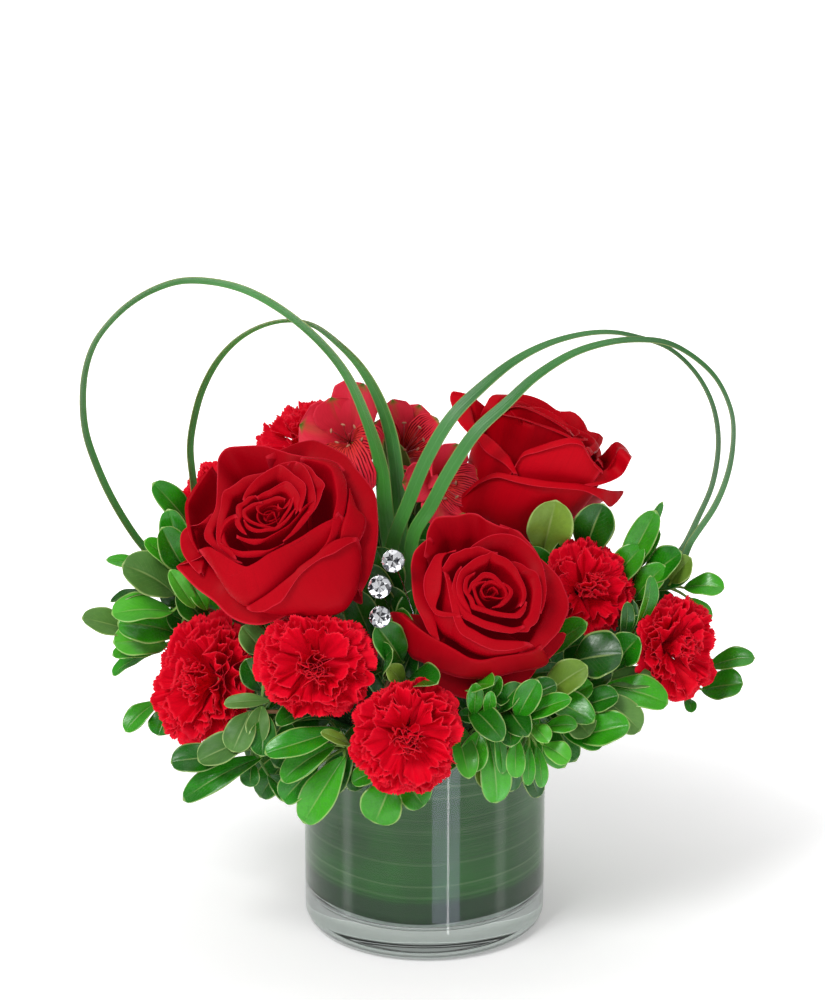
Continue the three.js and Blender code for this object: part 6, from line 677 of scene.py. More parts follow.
# ---------------------------------------------------------------- alstroemerias
def tepal(geo, ax, L, W, phi, tilt0, tilt1, mats, seed, point=0.10, ruffle=0.0, tone=0.5, base=(1.0, -0.5), R=30):
    c, X, Y, Z = ax
    rng = np.random.default_rng(seed)
    nu, nv = 21, 30
    u = np.linspace(-1, 1, nu)[:, None]
    v = np.linspace(0, 1, nv)
    ang = tilt0 + (tilt1 - tilt0) * smooth(0.15, 1, v)
    ds = L / (nv - 1)
    r = base[0] + np.concatenate([[0], np.cumsum(np.cos(ang[:-1]) * ds)])
    z = base[1] * R + np.concatenate([[0], np.cumsum(np.sin(ang[:-1]) * ds)])
    shape = np.interp(v, [0, 0.15, 0.4, 0.65, 0.82, 0.93, 1.0], [0.16, 0.22, 0.62, 0.97, 0.98, 0.72, 0.10])
    a = u * W * shape
    cup = 0.35 * W * (np.abs(u) ** 2) * shape * np.interp(v, [0, 0.5, 1], [1.4, 0.9, 0.45])
    wav = ruffle * np.sin(9 * v[None] + 2.3 * np.sign(u) + rng.uniform(0, 3)) * (np.abs(u) ** 2) * smooth(0.3, 0.8, v)[None]
    keel = -0.05 * W * np.exp(-(u / 0.12) ** 2)
    off = cup + wav + keel
    nr, nz = -np.sin(ang)[None], np.cos(ang)[None]
    rad = r[None] + nr * off
    zz = z[None] + nz * off
    tan = a
    x = rad * math.cos(phi) - tan * math.sin(phi)
    y = rad * math.sin(phi) + tan * math.cos(phi)
    P = c + x[..., None] * X + y[..., None] * Y + zz[..., None] * Z
    geo.sheet(P, 0.45, mats=mats, tone=tone, taper=0.5)


def alstroemeria(geo, ax, R, seed, outer, inner):
    """outer and inner: (direction in degrees, length/R, half width/R, tilt at the tip in degrees) per tepal."""
    rng = np.random.default_rng(seed)
    for i, (deg, L, W, tip) in enumerate(outer):
        tepal(geo, ax, R * L, R * W, math.radians(deg), math.radians(64), math.radians(tip), (0, 0, 0), seed * 10 + i, tone=rng.uniform(0.35, 0.75), R=R, ruffle=0.5)
    for i, (deg, L, W, tip) in enumerate(inner):
        tepal(geo, ax, R * L, R * W, math.radians(deg), math.radians(72), math.radians(tip), (1, 1, 1), seed * 10 + 5 + i, tone=rng.uniform(0.4, 0.6), R=R, ruffle=0.35, base=(0.6, -0.46))
    c, X, Y, Z = ax
    d0 = V(math.cos(math.radians(inner[0][0])), math.sin(math.radians(inner[0][0])))
    for i in range(7):
        q = 2 * math.pi * i / 6 + rng.uniform(-0.2, 0.2)
        style = i == 6
        L = R * (rng.uniform(0.75, 1.0) if not style else 0.95)
        s = np.linspace(0, 1, 14)
        lean = 0.16 if style else rng.uniform(0.22, 0.4)
        d = math.cos(q) * X + math.sin(q) * Y + 0.5 * (d0[0] * X + d0[1] * Y)
        path = c - 0.46 * R * Z + (s * L)[:, None] * Z + (lean * L * s ** 1.8)[:, None] * d
        geo.tube(path, np.linspace(0.50, 0.30, 14), 8, 2, 0.5)
        if not style:
            p = path[-1]
            side = unit(np.cross(Z, d))
            k = np.linspace(-1, 1, 9)
            geo.tube(p + k[:, None] * 1.3 * side + ((k ** 2) * -0.3)[:, None] * Z, 0.10 + 0.50 * np.sqrt(np.maximum(0, 1 - k ** 2)), 8, 3, 0.5)


# ------------------------------------------------------------------ green leaves
LEAF_LINES = []


def leaf(geo, base, tip, w, roll, kind, hub=None, seed=0, nu=15, nv=26):
    base, tip = V(base), V(tip)
    rng = np.random.default_rng(seed)
    L = np.linalg.norm(tip - base)
    t = (tip - base) / L
    out = unit(V(base[0], base[1], 0.0))
    face = VIEW * (-0.75 if base[1] < 30 else 0.5) + out * 0.15 + V(0, 0, 0.55)
    face = unit(face - t * (face @ t))
    a = math.radians(roll)
    face = face * math.cos(a) + np.cross(t, face) * math.sin(a)
    side = unit(np.cross(face, t))
    s = np.linspace(0, 1, nv)
    u = np.linspace(-1, 1, nu)[:, None]
    shape = (s + 0.02) ** 0.85 * (1.0 - s) ** 0.5
    shape = shape / shape.max()
    shape = np.maximum(shape, 0.07 * (1 - s))
    shape[-1] = 0.05
    LEAF_LINES.append(np.array([base + q * (tip - base) for q in (0.25, 0.45, 0.65, 0.85)]))
    half = w / 2 * 1.04 * shape
    bend = rng.uniform(-1, 1) * 0.035 * L
    line = base + s[:, None] * L * t + (0.28 * L * s * (1 - s) - 0.05 * L * s ** 3)[:, None] * face + (bend * np.sin(math.pi * s))[:, None] * side
    chan = rng.uniform(0.16, 0.34)
    ph = rng.uniform(0, 6.28, 2)
    wave = np.where(u < 0, np.sin(11 * s + ph[0]), np.sin(10 * s + ph[1])) * 0.10
    lift = half[None] * (chan * np.abs(u) ** 1.6 + wave * u ** 2 - 0.08 * np.exp(-(u / 0.1) ** 2))
    P = line[None] + (u * half[None])[..., None] * side + lift[..., None] * face
    k = KINDS.index(kind)
    geo.sheet(P, 0.62, mats=(2 * k + 1, 2 * k, 2 * k), tone=rng.uniform(0.25, 0.75), taper=0.35)
    if hub is not None:
        hub = V(hub)
        mid = (hub + base) / 2 + 0.06 * L * face
        pts, _ = catmull([hub, mid, base + t * 0.6, base + t * 2.2 + face * 0.2], 9)
        geo.tube(pts, np.linspace(0.95, 0.6, 9), 8, 2 * k + 1, 0.5, cap=True)


KINDS = ["top", "under", "olive", "lime", "dark"]
VIEW = V(0, math.cos(0.3316), -math.sin(0.3316))


def sprig(name, s, rng):
    pts, _ = catmull([V(q) for q in s["pts"]], 40)
    tw = Geo()
    tw.tube(pts, np.linspace(s["r"], s["r"] * 0.72, 40) * (1 + 0.05 * np.sin(np.linspace(0, 40, 40))), 10, 0, 0.5)
    for k in range(6, 38, 5):
        q = rng.uniform(0, 6.28)
        t = unit(pts[k + 1] - pts[k - 1])
        a = unit(np.cross(t, V(math.cos(q), math.sin(q), 0.3)))
        tw.tube(np.array([pts[k] + a * s["r"] * 0.5, pts[k] + a * (s["r"] + 0.55) + t * 0.7, pts[k] + a * (s["r"] + 0.5) + t * 1.6]), [0.6, 0.45, 0.1], 6, 0, 0.7)
    g = Geo()
    hubs = s["pts"][len(s["pts"]) - s["nh"]:]
    for n, lf in enumerate(s["leaves"]):
        hub = V(hubs[lf[5]])
        near = pts[np.argmin(np.linalg.norm(pts - hub, axis=1))]
        leaf(g, lf[0], lf[1], lf[2], lf[3], lf[4], near, seed=int(rng.integers(1 << 30)))
    return tw, g, pts


# ------------------------------------------------------------------ grass blades
def blade(geo, table, seed, narrow=1.0):
    BW = [9.6, 9.0, 8.2, 7.2, 5.6, 4.0]
    count = 28
    pts, _ = catmull([V(q[:3]) for q in table], count + 1)
    probe = []
    P4 = [V(q) for q in table]
    for j in range(len(table) - 1):
        for m in range(8):
            probe.append(P4[j] + (P4[j + 1] - P4[j]) * m / 8)
    probe.append(P4[-1])
    fine, _ = catmull(P4, 8 * (len(table) - 1) * 3)
    seen = np.array([fine[np.argmin(np.linalg.norm(fine[:, :3] - q, axis=1)), 3] for q in pts])
    t = tangents(pts)
    width = np.interp(np.linspace(0, 1, count + 1), np.linspace(0, 1, len(BW)), BW)
    turn = np.arccos(np.minimum(0.999, seen / width))
    flat = unit(np.cross(t, VIEW))
    deep = unit(np.cross(flat, t))
    side = flat * np.cos(turn)[:, None] + deep * np.sin(turn)[:, None]
    N = 190
    s0, s1 = np.linspace(0, 1, count + 1), np.linspace(0, 1, N)
    line, _ = catmull([V(q[:3]) for q in table], N)
    # soften the turning of the width along the blade
    ker = np.array([1, 2, 3, 2, 1.0]); ker /= ker.sum()
    pad = np.concatenate([np.repeat(side[:1], 2, 0), side, np.repeat(side[-1:], 2, 0)])
    side = np.stack([np.convolve(pad[:, k], ker, "valid") for k in range(3)], 1)
    sd = np.stack([np.interp(s1, s0, side[:, k]) for k in range(3)], 1)
    tt = tangents(line)
    sd = unit(sd - tt * (sd * tt).sum(1, keepdims=True))
    up = np.cross(tt, sd)
    hw = np.interp(s1, s0, width) / 2 * narrow
    hw[-6:] *= np.array([0.95, 0.88, 0.78, 0.62, 0.42, 0.15])
    u = np.linspace(-1, 1, 17)[:, None]
    rib = 0.07 * np.cos(u * math.pi * 5) * (1 - u ** 2)
    lift = 0.16 * hw[None] * (u ** 2 - 0.4) + rib
    P = line[None] + (u * hw[None])[..., None] * sd + lift[..., None] * up
    rng = np.random.default_rng(seed)
    geo.sheet(P, 0.5, mats=(0, 0, 1), tone=0.5 + 0.15 * np.sin(np.linspace(0, 9, N) + rng.uniform(0, 6))[None] * np.ones((17, 1)), taper=0.5)

# ---------------------------------------------------------------- the finishes
def petal_mat(name, deep, mid, high, lip, veins=46, rough=0.46, sheen=0.22, edge=0.90, bumpd=0.00012, sub=0.0, lip_highlight_weight=0.55, spec=0.10, streak=0.22, glow=0.0):
    m = Mat(name)
    u, v = m.uv()
    tone = m.tone()
    tex = m.uvo
    fine = m.noise(tex, 9.0, 3.0, 0.6, stretch=(veins / 9.0, 0.55, 1))
    broad = m.noise(m.obj(), 34.0, 2.0, 0.5)
    # darker towards each petal's foot: painted shade where the petals close in on one another
    base = m.mix(m.step(0.05, 0.55, v), deep, mid)
    base = m.mix(m.math("MULTIPLY", m.step(0.35, 0.75, broad), 0.55), base, high)
    base = m.mix(m.math("MULTIPLY", m.step(0.42, 0.68, fine), streak), base, deep)
    base = m.mix(m.math("MULTIPLY", m.math("SUBTRACT", tone, 0.3), 0.5, clamp=True), base, high)
    # the free edge and the sides are painted paler: painted highlight where the petal's edge catches the light
    top = m.step(edge, 1.0, v)
    side = m.step(0.90, 1.0, m.math("ABSOLUTE", m.math("MULTIPLY_ADD", u, 2.0, -1.0)))
    lip_highlight_mask = m.math("MULTIPLY", m.math("MAXIMUM", top, m.math("MULTIPLY", side, 0.6)), lip_highlight_weight)
    base = m.mix(lip_highlight_mask, base, lip)
    m.color(base)
    rg = m.step(0.3, 0.7, broad, rough - 0.05, rough + 0.07)
    m.link(rg, m.b.inputs["Roughness"])
    m.set(Specular_IOR_Level=spec, Sheen_Weight=sheen, Sheen_Roughness=0.5, Sheen_Tint=(1.0, 0.10, 0.14, 1))
    # a faint painted red glow (emission) that stands in for the light soaking through from petal to petal
    m.set(Emission_Color=(1.0, 0.0, 0.04, 1), Emission_Strength=glow)
    if sub:
        m.set(Subsurface_Weight=sub, Subsurface_Radius=(1.0, 0.12, 0.08), Subsurface_Scale=0.0016)
    h = m.math("ADD", m.math("MULTIPLY", fine, 0.7), m.math("MULTIPLY", m.noise(tex, 60.0, 2.0, 0.6, stretch=(1.6, 1.0, 1)), 0.3))
    m.bump(h, 0.45, bumpd)
    return m.m


# pale pink for the thin rims of the petals: painted highlight where the edges catch the light
def rim_mat(name, col, rough=0.5):
    m = Mat(name)
    n = m.noise(m.obj(), 400.0, 2.0)
    m.color(m.mix(m.step(0.3, 0.7, n), col, tuple(c * 0.72 for c in col[:3]) + (1,)))
    m.set(Roughness=rough, Specular_IOR_Level=0.1)
    return m.m


rose_red = petal_mat("rose_petal", lin(140, 0, 11), lin(152, 0, 12), lin(166, 0, 18), lin(212, 40, 58), veins=46, rough=0.52, sheen=0.0, edge=0.97, lip_highlight_weight=0.7, streak=0.26, spec=0.05, glow=0.030)
# the rear rose gets a brighter copy of the same rose red: painted light
rose_red_rear_brightened = petal_mat("rose_petal_rear_brightened", lin(160, 0, 15), lin(177, 0, 16), lin(190, 0, 22), lin(224, 42, 62), veins=46, rough=0.52, sheen=0.0, edge=0.97, lip_highlight_weight=0.7, streak=0.30, spec=0.06, glow=0.012)
rose_rim_highlight = rim_mat("rose_rim_highlight", lin(222, 50, 66))
carnation_red = petal_mat("carnation_petal", lin(170, 0, 16), lin(210, 3, 30), lin(222, 9, 42), lin(232, 34, 54), veins=60, rough=0.6, sheen=0.0, edge=0.93, lip_highlight_weight=0.55, streak=0.26, spec=0.06, glow=0.016)
carnation_rim_highlight = rim_mat("carnation_rim_highlight", lin(232, 54, 72), 0.6)


def alstro_mats():
    out = petal_mat("alstroemeria_tepal", lin(180, 24, 38), lin(216, 36, 58), lin(236, 74, 94), lin(236, 84, 100), veins=30, rough=0.45, sheen=0.0, edge=0.94, lip_highlight_weight=0.35, spec=0.08)
    nt = out.node_tree
    b = next(n for n in nt.nodes if n.type == "BSDF_PRINCIPLED")
    src = b.inputs["Base Color"].links[0].from_socket
    m = Mat.__new__(Mat)
    m.m, m.t, m.b = out, nt, b
    u, v = m.uv()
    au = m.math("ABSOLUTE", m.math("MULTIPLY_ADD", u, 2.0, -1.0))
    mid = m.math("MULTIPLY", m.step(0.30, 0.02, au), m.step(0.35, 1.0, v))
    col = m.mix(m.math("MULTIPLY", mid, 0.38), src, lin(140, 105, 45))
    tip = m.math("MULTIPLY", m.step(0.90, 0.985, v), m.step(0.6, 0.2, au))
    col = m.mix(tip, col, lin(92, 118, 42))
    m.color(col)
    inn = Mat("alstroemeria_inner_tepal")
    m = inn
    u, v = m.uv()
    fine = m.noise(m.uvo, 9.0, 3.0, 0.6, stretch=(3.2, 0.6, 1))
    base = m.mix(m.step(0.25, 0.85, v), lin(214, 62, 50), lin(214, 34, 54))
    base = m.mix(m.math("MULTIPLY", m.step(0.4, 0.7, fine), 0.3), base, lin(236, 78, 92))
    # dashes that run along the veins
    w = m.node("ShaderNodeTexWave", wave_type="BANDS", bands_direction="X", wave_profile="SIN")
    mp = m.node("ShaderNodeMapping")
    m.link(m.uvo, mp.inputs[0])
    mp.inputs["Scale"].default_value = (4.2, 0.35, 1)
    m.link(mp.outputs[0], w.inputs["Vector"])
    w.inputs["Scale"].default_value = 1.0
    w.inputs["Distortion"].default_value = 0.9
    w.inputs["Detail"].default_value = 1.0
    br = m.noise(m.uvo, 12.0, 1.0, 0.5, stretch=(3.2, 0.42, 1))
    dash = m.math("MULTIPLY", m.step(0.55, 0.72, w.outputs["Fac"]), m.step(0.40, 0.48, br))
    dash = m.math("MULTIPLY", dash, m.math("MULTIPLY", m.step(0.12, 0.22, v), m.step(0.95, 0.80, v)))
    base = m.mix(dash, base, lin(100, 4, 18))
    tip = m.step(0.93, 0.99, v)
    base = m.mix(tip, base, lin(120, 130, 60))
    m.color(base)
    m.set(Roughness=0.45, Specular_IOR_Level=0.08)
    m.bump(fine, 0.4, 0.00012)
    fil = Mat("stamen_filament")
    n = fil.noise(fil.obj(), 160.0, 2.0)
    fil.color(fil.mix(n, lin(190, 84, 84), lin(160, 40, 56)))
    fil.set(Roughness=0.4)
    ant = Mat("stamen_anther")
    n = ant.noise(ant.obj(), 900.0, 3.0)
    ant.color(ant.mix(n, lin(196, 140, 110), lin(140, 84, 60)))
    ant.set(Roughness=0.8)
    ant.bump(n, 0.6, 0.0002)
    return [out, inn.m, fil.m, ant.m]


def leaf_mat(name, lo, mid, hi, rim, rough=0.25, back=False, rimw=0.75, spec=0.36):
    m = Mat(name)
    u, v = m.uv()
    tone = m.tone()
    au = m.math("ABSOLUTE", m.math("MULTIPLY_ADD", u, 2.0, -1.0))
    broad = m.noise(m.obj(), 55.0, 3.0, 0.55)
    cells = m.noise(m.obj(), 420.0, 3.0, 0.6)
    col = m.mix(m.step(0.3, 0.72, broad), lo, mid)
    col = m.mix(m.math("MULTIPLY", m.math("SUBTRACT", tone, 0.25), 1.3, clamp=True), col, hi)
    col = m.mix(m.math("MULTIPLY", m.step(0.4, 0.65, cells), 0.18), col, lo)
    # side veins leave the midrib at a slant
    sl = m.math("MULTIPLY_ADD", au, -0.42, v)
    wv = m.math("ABSOLUTE", m.math("SINE", m.math("MULTIPLY", m.math("ADD", sl, m.math("MULTIPLY", broad, 0.05)), 34.0)))
    vein = m.math("MULTIPLY", m.step(0.13, 0.0, wv), m.step(1.0, 0.3, au))
    col = m.mix(m.math("MULTIPLY", vein, 0.13 if not back else 0.30), col, rim)
    midrib = m.math("MULTIPLY", m.step(0.066, 0.02, au), m.step(1.0, 0.55, v))
    col = m.mix(m.math("MULTIPLY", midrib, 0.42), col, rim)
    # the face is deeper along the midrib and near the twig
    col = m.mix(m.math("MULTIPLY", m.math("MULTIPLY", m.step(0.42, 0.08, au), m.step(0.9, 0.2, v)), 0.30), col, lo)
    wob = m.math("MULTIPLY", m.noise(m.uvo, 7.0, 2.0), 0.06)
    edge = m.step(0.90, 0.97, m.math("ADD", au, m.math("SUBTRACT", wob, 0.03)))
    edge = m.math("MAXIMUM", edge, m.step(0.965, 0.99, v))
    col = m.mix(m.math("MULTIPLY", edge, 0.75 * rimw), col, rim)
    m.color(col)
    m.link(m.step(0.3, 0.7, cells, rough - 0.05, rough + 0.10), m.b.inputs["Roughness"])
    m.set(Specular_IOR_Level=spec)
    h = m.math("ADD", m.math("MULTIPLY", cells, 0.5), m.math("ADD", m.math("MULTIPLY", vein, -0.5), m.math("MULTIPLY", midrib, -1.2)))
    m.bump(h, 0.5, 0.00016)
    return m.m


rimc = lin(176, 200, 120)
LEAVES = {
    "top": (leaf_mat("leaf_face", lin(14, 94, 8), lin(32, 134, 12), lin(72, 174, 30), rimc), leaf_mat("leaf_back", lin(88, 128, 48), lin(110, 150, 62), lin(126, 166, 74), rimc, 0.5, True, 0.8, 0.2)),
    "under": (leaf_mat("leaf_face_grey", lin(52, 98, 34), lin(76, 122, 50), lin(98, 142, 66), rimc, 0.45), leaf_mat("leaf_back_grey", lin(82, 122, 52), lin(104, 144, 66), lin(120, 158, 80), rimc, 0.5, True, 0.8, 0.2)),
    "olive": (leaf_mat("leaf_face_olive", lin(78, 112, 30), lin(106, 142, 44), lin(134, 168, 60), rimc, 0.42), leaf_mat("leaf_back_olive", lin(108, 138, 52), lin(130, 160, 66), lin(146, 176, 80), rimc, 0.5, True, 0.8, 0.2)),
    "lime": (leaf_mat("leaf_face_lime", lin(40, 132, 20), lin(66, 166, 32), lin(100, 196, 54), rimc, 0.34), leaf_mat("leaf_back_lime", lin(104, 156, 56), lin(122, 174, 68), lin(140, 186, 84), rimc, 0.5, True, 0.8, 0.2)),
    # dark: the same leaves in deeper greens, painted shade for leaves set deep between the blooms
    "dark": (leaf_mat("leaf_face_shaded", lin(8, 58, 6), lin(18, 90, 8), lin(34, 120, 16), rimc, 0.28, False, 0.7), leaf_mat("leaf_back_shaded", lin(56, 92, 32), lin(76, 114, 44), lin(92, 128, 56), rimc, 0.5, True, 0.6, 0.2)),
}
LEAFMATS = [m for k in KINDS for m in LEAVES[k]]


def stem_mat(name, a, b, c, scale=90.0, rough=0.42):
    m = Mat(name)
    tone = m.tone()
    n = m.noise(m.obj(), scale, 4.0, 0.6, stretch=(1, 1, 0.25))
    n2 = m.noise(m.obj(), scale * 7, 2.0, 0.6)
    col = m.mix(m.step(0.35, 0.7, n), a, b)
    col = m.mix(m.math("MULTIPLY", m.step(0.55, 0.75, n2), 0.5), col, c)
    m.color(col)
    m.link(m.step(0.3, 0.7, n2, rough - 0.06, rough + 0.12), m.b.inputs["Roughness"])
    m.set(Specular_IOR_Level=0.4)
    m.bump(m.math("ADD", n, m.math("MULTIPLY", n2, 0.4)), 0.5, 0.0002)
    return m.m


green_stem = stem_mat("green_stem", lin(58, 104, 42), lin(84, 128, 58), lin(120, 150, 88))
twig_bark = stem_mat("twig_bark", lin(112, 74, 40), lin(138, 104, 62), lin(96, 116, 58), 120.0, 0.6)
calyx_green = stem_mat("calyx_green", lin(96, 132, 82), lin(118, 152, 100), lin(140, 170, 118), 140.0, 0.5)


def grass_mat(name, k):
    # k scales every green of the blade: painted light above 1 and painted shade below 1, for how this blade faces the
    # lamps
    g = lambda *c: tuple(min(1.0, q * k) for q in lin(*c)[:3]) + (1,)
    m = Mat("grass_blade_" + name)
    u, v = m.uv()
    au = m.math("ABSOLUTE", m.math("MULTIPLY_ADD", u, 2.0, -1.0))
    lines = m.noise(m.uvo, 10.0, 2.0, 0.6, stretch=(5.0, 0.25, 1))
    broad = m.noise(m.obj(), 18.0, 2.0, 0.5)
    col = m.mix(m.step(0.3, 0.7, broad), g(38, 100, 40), g(60, 126, 60))
    col = m.mix(m.math("MULTIPLY", m.step(0.45, 0.62, lines), 0.26), col, g(92, 152, 84))
    col = m.mix(m.math("MULTIPLY", m.step(0.10, 0.02, au), 0.22), col, g(100, 160, 90))
    col = m.mix(m.math("MULTIPLY", m.step(0.82, 0.94, au), 0.60), col, g(150, 160, 92))
    # a brighter, fuller green towards the foot of the blade: painted light lifting the shade there
    col = m.mix(m.math("MULTIPLY", m.step(0.36, 0.12, v), 0.80), col, lin(66, 152, 44))
    m.color(col)
    m.link(m.step(0.3, 0.7, lines, 0.30, 0.42), m.b.inputs["Roughness"])
    m.set(Specular_IOR_Level=0.45)
    m.bump(lines, 0.7, 0.00018)
    e = Mat("grass_edge_" + name)
    n = e.noise(e.obj(), 120.0, 2.0)
    e.color(e.mix(n, lin(150, 140, 90), lin(96, 138, 70)))
    e.set(Roughness=0.5)
    return [m.m, e.m]


def glass_mat():
    m = Mat("clear_glass")
    n = m.noise(m.obj(), 9.0, 2.0, 0.4)
    z = m.node("ShaderNodeSeparateXYZ")
    m.link(m.obj(), z.inputs[0])
    # the base, below about 12 to 19 mm, takes a darker tint: partly the thick glass's own colour, partly painted shade
    # for the darker things seen through it
    thick = m.mix(n, (0.60, 0.67, 0.635, 1), (0.54, 0.61, 0.575, 1))
    m.color(m.mix(m.step(0.012, 0.019, z.outputs["Z"]), thick, m.mix(n, (0.86, 0.925, 0.895, 1), (0.83, 0.905, 0.868, 1))))
    m.set(Roughness=0.0, IOR=1.47, Transmission_Weight=1.0, Specular_IOR_Level=0.5)
    wav = m.noise(m.obj(), 30.0, 1.0, 0.3, stretch=(1, 1, 0.25))
    m.bump(wav, 0.05, 0.0004)
    return m.m


def liner_mat():
    m = Mat("liner_leaf")
    u, v = m.uv()
    o = m.obj()
    # fine pale lines that run round the leaf, a little apart and slightly bowed
    wob = m.noise(m.uvo, 2.0, 1.0, 0.5, stretch=(1.6, 0.5, 1))
    y = m.math("ADD", v, m.math("MULTIPLY", wob, 0.05))
    lines = m.noise(None, 1.0, 0.0)
    n = m.node("ShaderNodeTexNoise", noise_dimensions="1D")
    m.link(m.math("MULTIPLY", y, 90.0), n.inputs["W"])
    n.inputs["Scale"].default_value = 1.0
    n.inputs["Detail"].default_value = 3.0
    n.inputs["Roughness"].default_value = 0.75
    fine = n.outputs["Fac"]
    broad = m.noise(m.uvo, 4.0, 3.0, 0.5, stretch=(3.0, 0.8, 1))
    col = m.mix(m.step(0.3, 0.7, broad), lin(16, 94, 16), lin(32, 118, 27))
    col = m.mix(m.math("MULTIPLY", m.step(0.54, 0.74, fine), 0.42), col, lin(88, 144, 76))
    col = m.mix(m.math("MULTIPLY", m.step(0.47, 0.30, fine), 0.40), col, lin(26, 68, 26))
    n3 = m.node("ShaderNodeTexNoise", noise_dimensions="1D")
    m.link(m.math("MULTIPLY", y, 17.0), n3.inputs["W"])
    n3.inputs["Scale"].default_value = 1.0
    n3.inputs["Detail"].default_value = 1.0
    vein = m.step(0.010, 0.0, m.math("ABSOLUTE", m.math("SUBTRACT", n3.outputs["Fac"], 0.5)))
    col = m.mix(m.math("MULTIPLY", vein, 0.34), col, lin(124, 168, 108))
    # a dark band along the bottom of the leaf: painted shade
    col = m.mix(m.math("MULTIPLY", m.step(0.17, 0.11, m.math("ADD", v, m.math("MULTIPLY", wob, 0.03))), 0.75), col, lin(14, 52, 26))
    m.color(col)
    m.set(Roughness=0.45, Specular_IOR_Level=0.2)
    m.bump(fine, 0.3, 0.0002)
    return m.m


def foam_mat():
    m = Mat("wet_foam")
    o = m.obj()
    n = m.noise(o, 260.0, 4.0, 0.7)
    v = m.node("ShaderNodeTexVoronoi")
    m.link(o, v.inputs["Vector"])
    v.inputs["Scale"].default_value = 1100.0
    b = m.noise(o, 30.0, 2.0)
    col = m.mix(m.step(0.3, 0.7, n), lin(20, 44, 24), lin(46, 78, 44))
    col = m.mix(m.math("MULTIPLY", m.step(0.35, 0.7, b), 0.5), col, lin(30, 60, 30))
    m.color(col)
    m.set(Roughness=0.85, Specular_IOR_Level=0.3)
    m.bump(m.math("ADD", n, v.outputs["Distance"]), 0.8, 0.0006)
    return m.m


def gem_mats():
    m = Mat("cut_gem")
    t = m.tone()
    n = m.noise(m.obj(), 900.0, 1.0)
    # each facet's tone paints it near black or near white: painted glints and shade
    col = m.mix(t, (0.004, 0.005, 0.008, 1), (0.96, 0.97, 1.0, 1))
    col = m.mix(m.math("MULTIPLY", m.step(0.45, 0.7, n), 0.15), col, (0.6, 0.65, 0.75, 1))
    m.color(col)
    m.set(Roughness=0.03, Metallic=0.75, Specular_IOR_Level=0.6, Coat_Weight=0.4, Coat_Roughness=0.0)
    k = Mat("pin_metal")
    n = k.noise(k.obj(), 500.0, 3.0)
    k.color(k.mix(n, (0.50, 0.50, 0.52, 1), (0.80, 0.80, 0.82, 1)))
    k.link(k.step(0.3, 0.7, n, 0.12, 0.26), k.b.inputs["Roughness"])
    k.set(Metallic=1.0)
    return m.m, k.m

# ------------------------------------------------------------- vase, liner, foam
RO, HGT, WALL, BASE_T, HEEL, FOOT, CORNER = 63.5, 127.0, 4.0, 16.0, 8.0, 55.5, 6.0


def arc_pts(cx, cz, r, a0, a1, n):
    a = np.linspace(a0, a1, n)
    return [(cx + r * math.cos(t), cz + r * math.sin(t)) for t in a]


def build_vase():
    ri = RO - WALL
    prof = [(0, 1.1), (30, 1.0), (FOOT - 6, 0.55), (FOOT - 2, 0.0), (FOOT, 0.0)]
    prof += arc_pts(FOOT, HEEL, HEEL, -math.pi / 2, 0, 12)[1:]
    prof += [(RO, z) for z in np.linspace(HEEL + 6, HGT - 2.2, 16)]
    prof += arc_pts(ri + WALL / 2, HGT - 2.0, WALL / 2, 0.0, math.pi, 11)
    prof += [(ri, z) for z in np.linspace(HGT - 3.2, BASE_T + CORNER + 2, 16)]
    prof += arc_pts(ri - CORNER, BASE_T + CORNER, CORNER, 0, -math.pi / 2, 10)
    prof += [(40, BASE_T - 0.1), (20, BASE_T - 0.25), (0, BASE_T - 0.3)]
    g = Geo()
    g.lathe(prof, 160, None, 0, 0.5)
    return piece("vase_glass", g, [glass_mat()], ["vase"])


def build_liner():
    turns = 390 / 360
    N, M = 260, 26
    a = math.pi / 2 - math.radians(15) + turns * 2 * math.pi * np.linspace(0, 1, N)
    r = 59.05 - 1.15 * turns * np.linspace(0, 1, N)
    z = np.linspace(22, 124, M)
    # wet leaf pressed against the glass: no film of air between them, so the outer turn
    # just meets the wall; the tail tucks inside the first turn
    tail = smooth(0.86, 0.93, np.linspace(0, 1, N))
    rr = (RO - WALL + 0.05 - 1.3 * tail)[:, None] + 0.02 * np.sin(3 * a[:, None] + z[None] * 0.05)
    zz = np.broadcast_to(z[None], (N, M)).copy()
    edge = 0.5 * np.sin(2.3 * a + 0.6) + 0.35 * np.sin(5.1 * a)
    zz += edge[:, None] * smooth(124, 22, z)[None] * 0.9
    zz += 0.7 * np.sin(1.7 * a + 1)[:, None] * smooth(60, 124, z)[None]
    P = np.stack([rr * np.cos(a)[:, None], rr * np.sin(a)[:, None], zz], -1)
    g = Geo()
    uu, vv = np.meshgrid(np.linspace(0, 1, N), np.linspace(0, 1, M), indexing="ij")
    g.sheet(P, 0.5, (0, 0, 0), 0.5, np.stack([uu, vv], -1), taper=0.8)
    return piece("liner_wrap", g, [liner_mat()], ["leaf_liner"])


def build_foam():
    g = Geo()
    rng = np.random.default_rng(5)
    prof = [(0, 16.4), (30, 16.4), (49, 16.8), (53.5, 21), (55.3, 26)] + [(56.5, z) for z in np.linspace(30, 137, 22)]
    prof += [(55.6, 140.5), (53, 144), (49.5, 147.6), (46, 150), (38, 150.7), (26, 151.3), (13, 151.8), (0, 152)]
    prof = np.array(prof, float)
    q = rng.uniform(0, 6.28, 6)
    g.lathe(prof, 120, None, 0, 0.5, wob=lambda a, z: (0.004 * np.sin(7 * a + q[0] + z * 0.2) + 0.003 * np.sin(17 * a + q[1] - z * 0.35)) * (z > 138) - 0.0002)
    return piece("foam_block", g, [foam_mat()], ["floral_foam"])


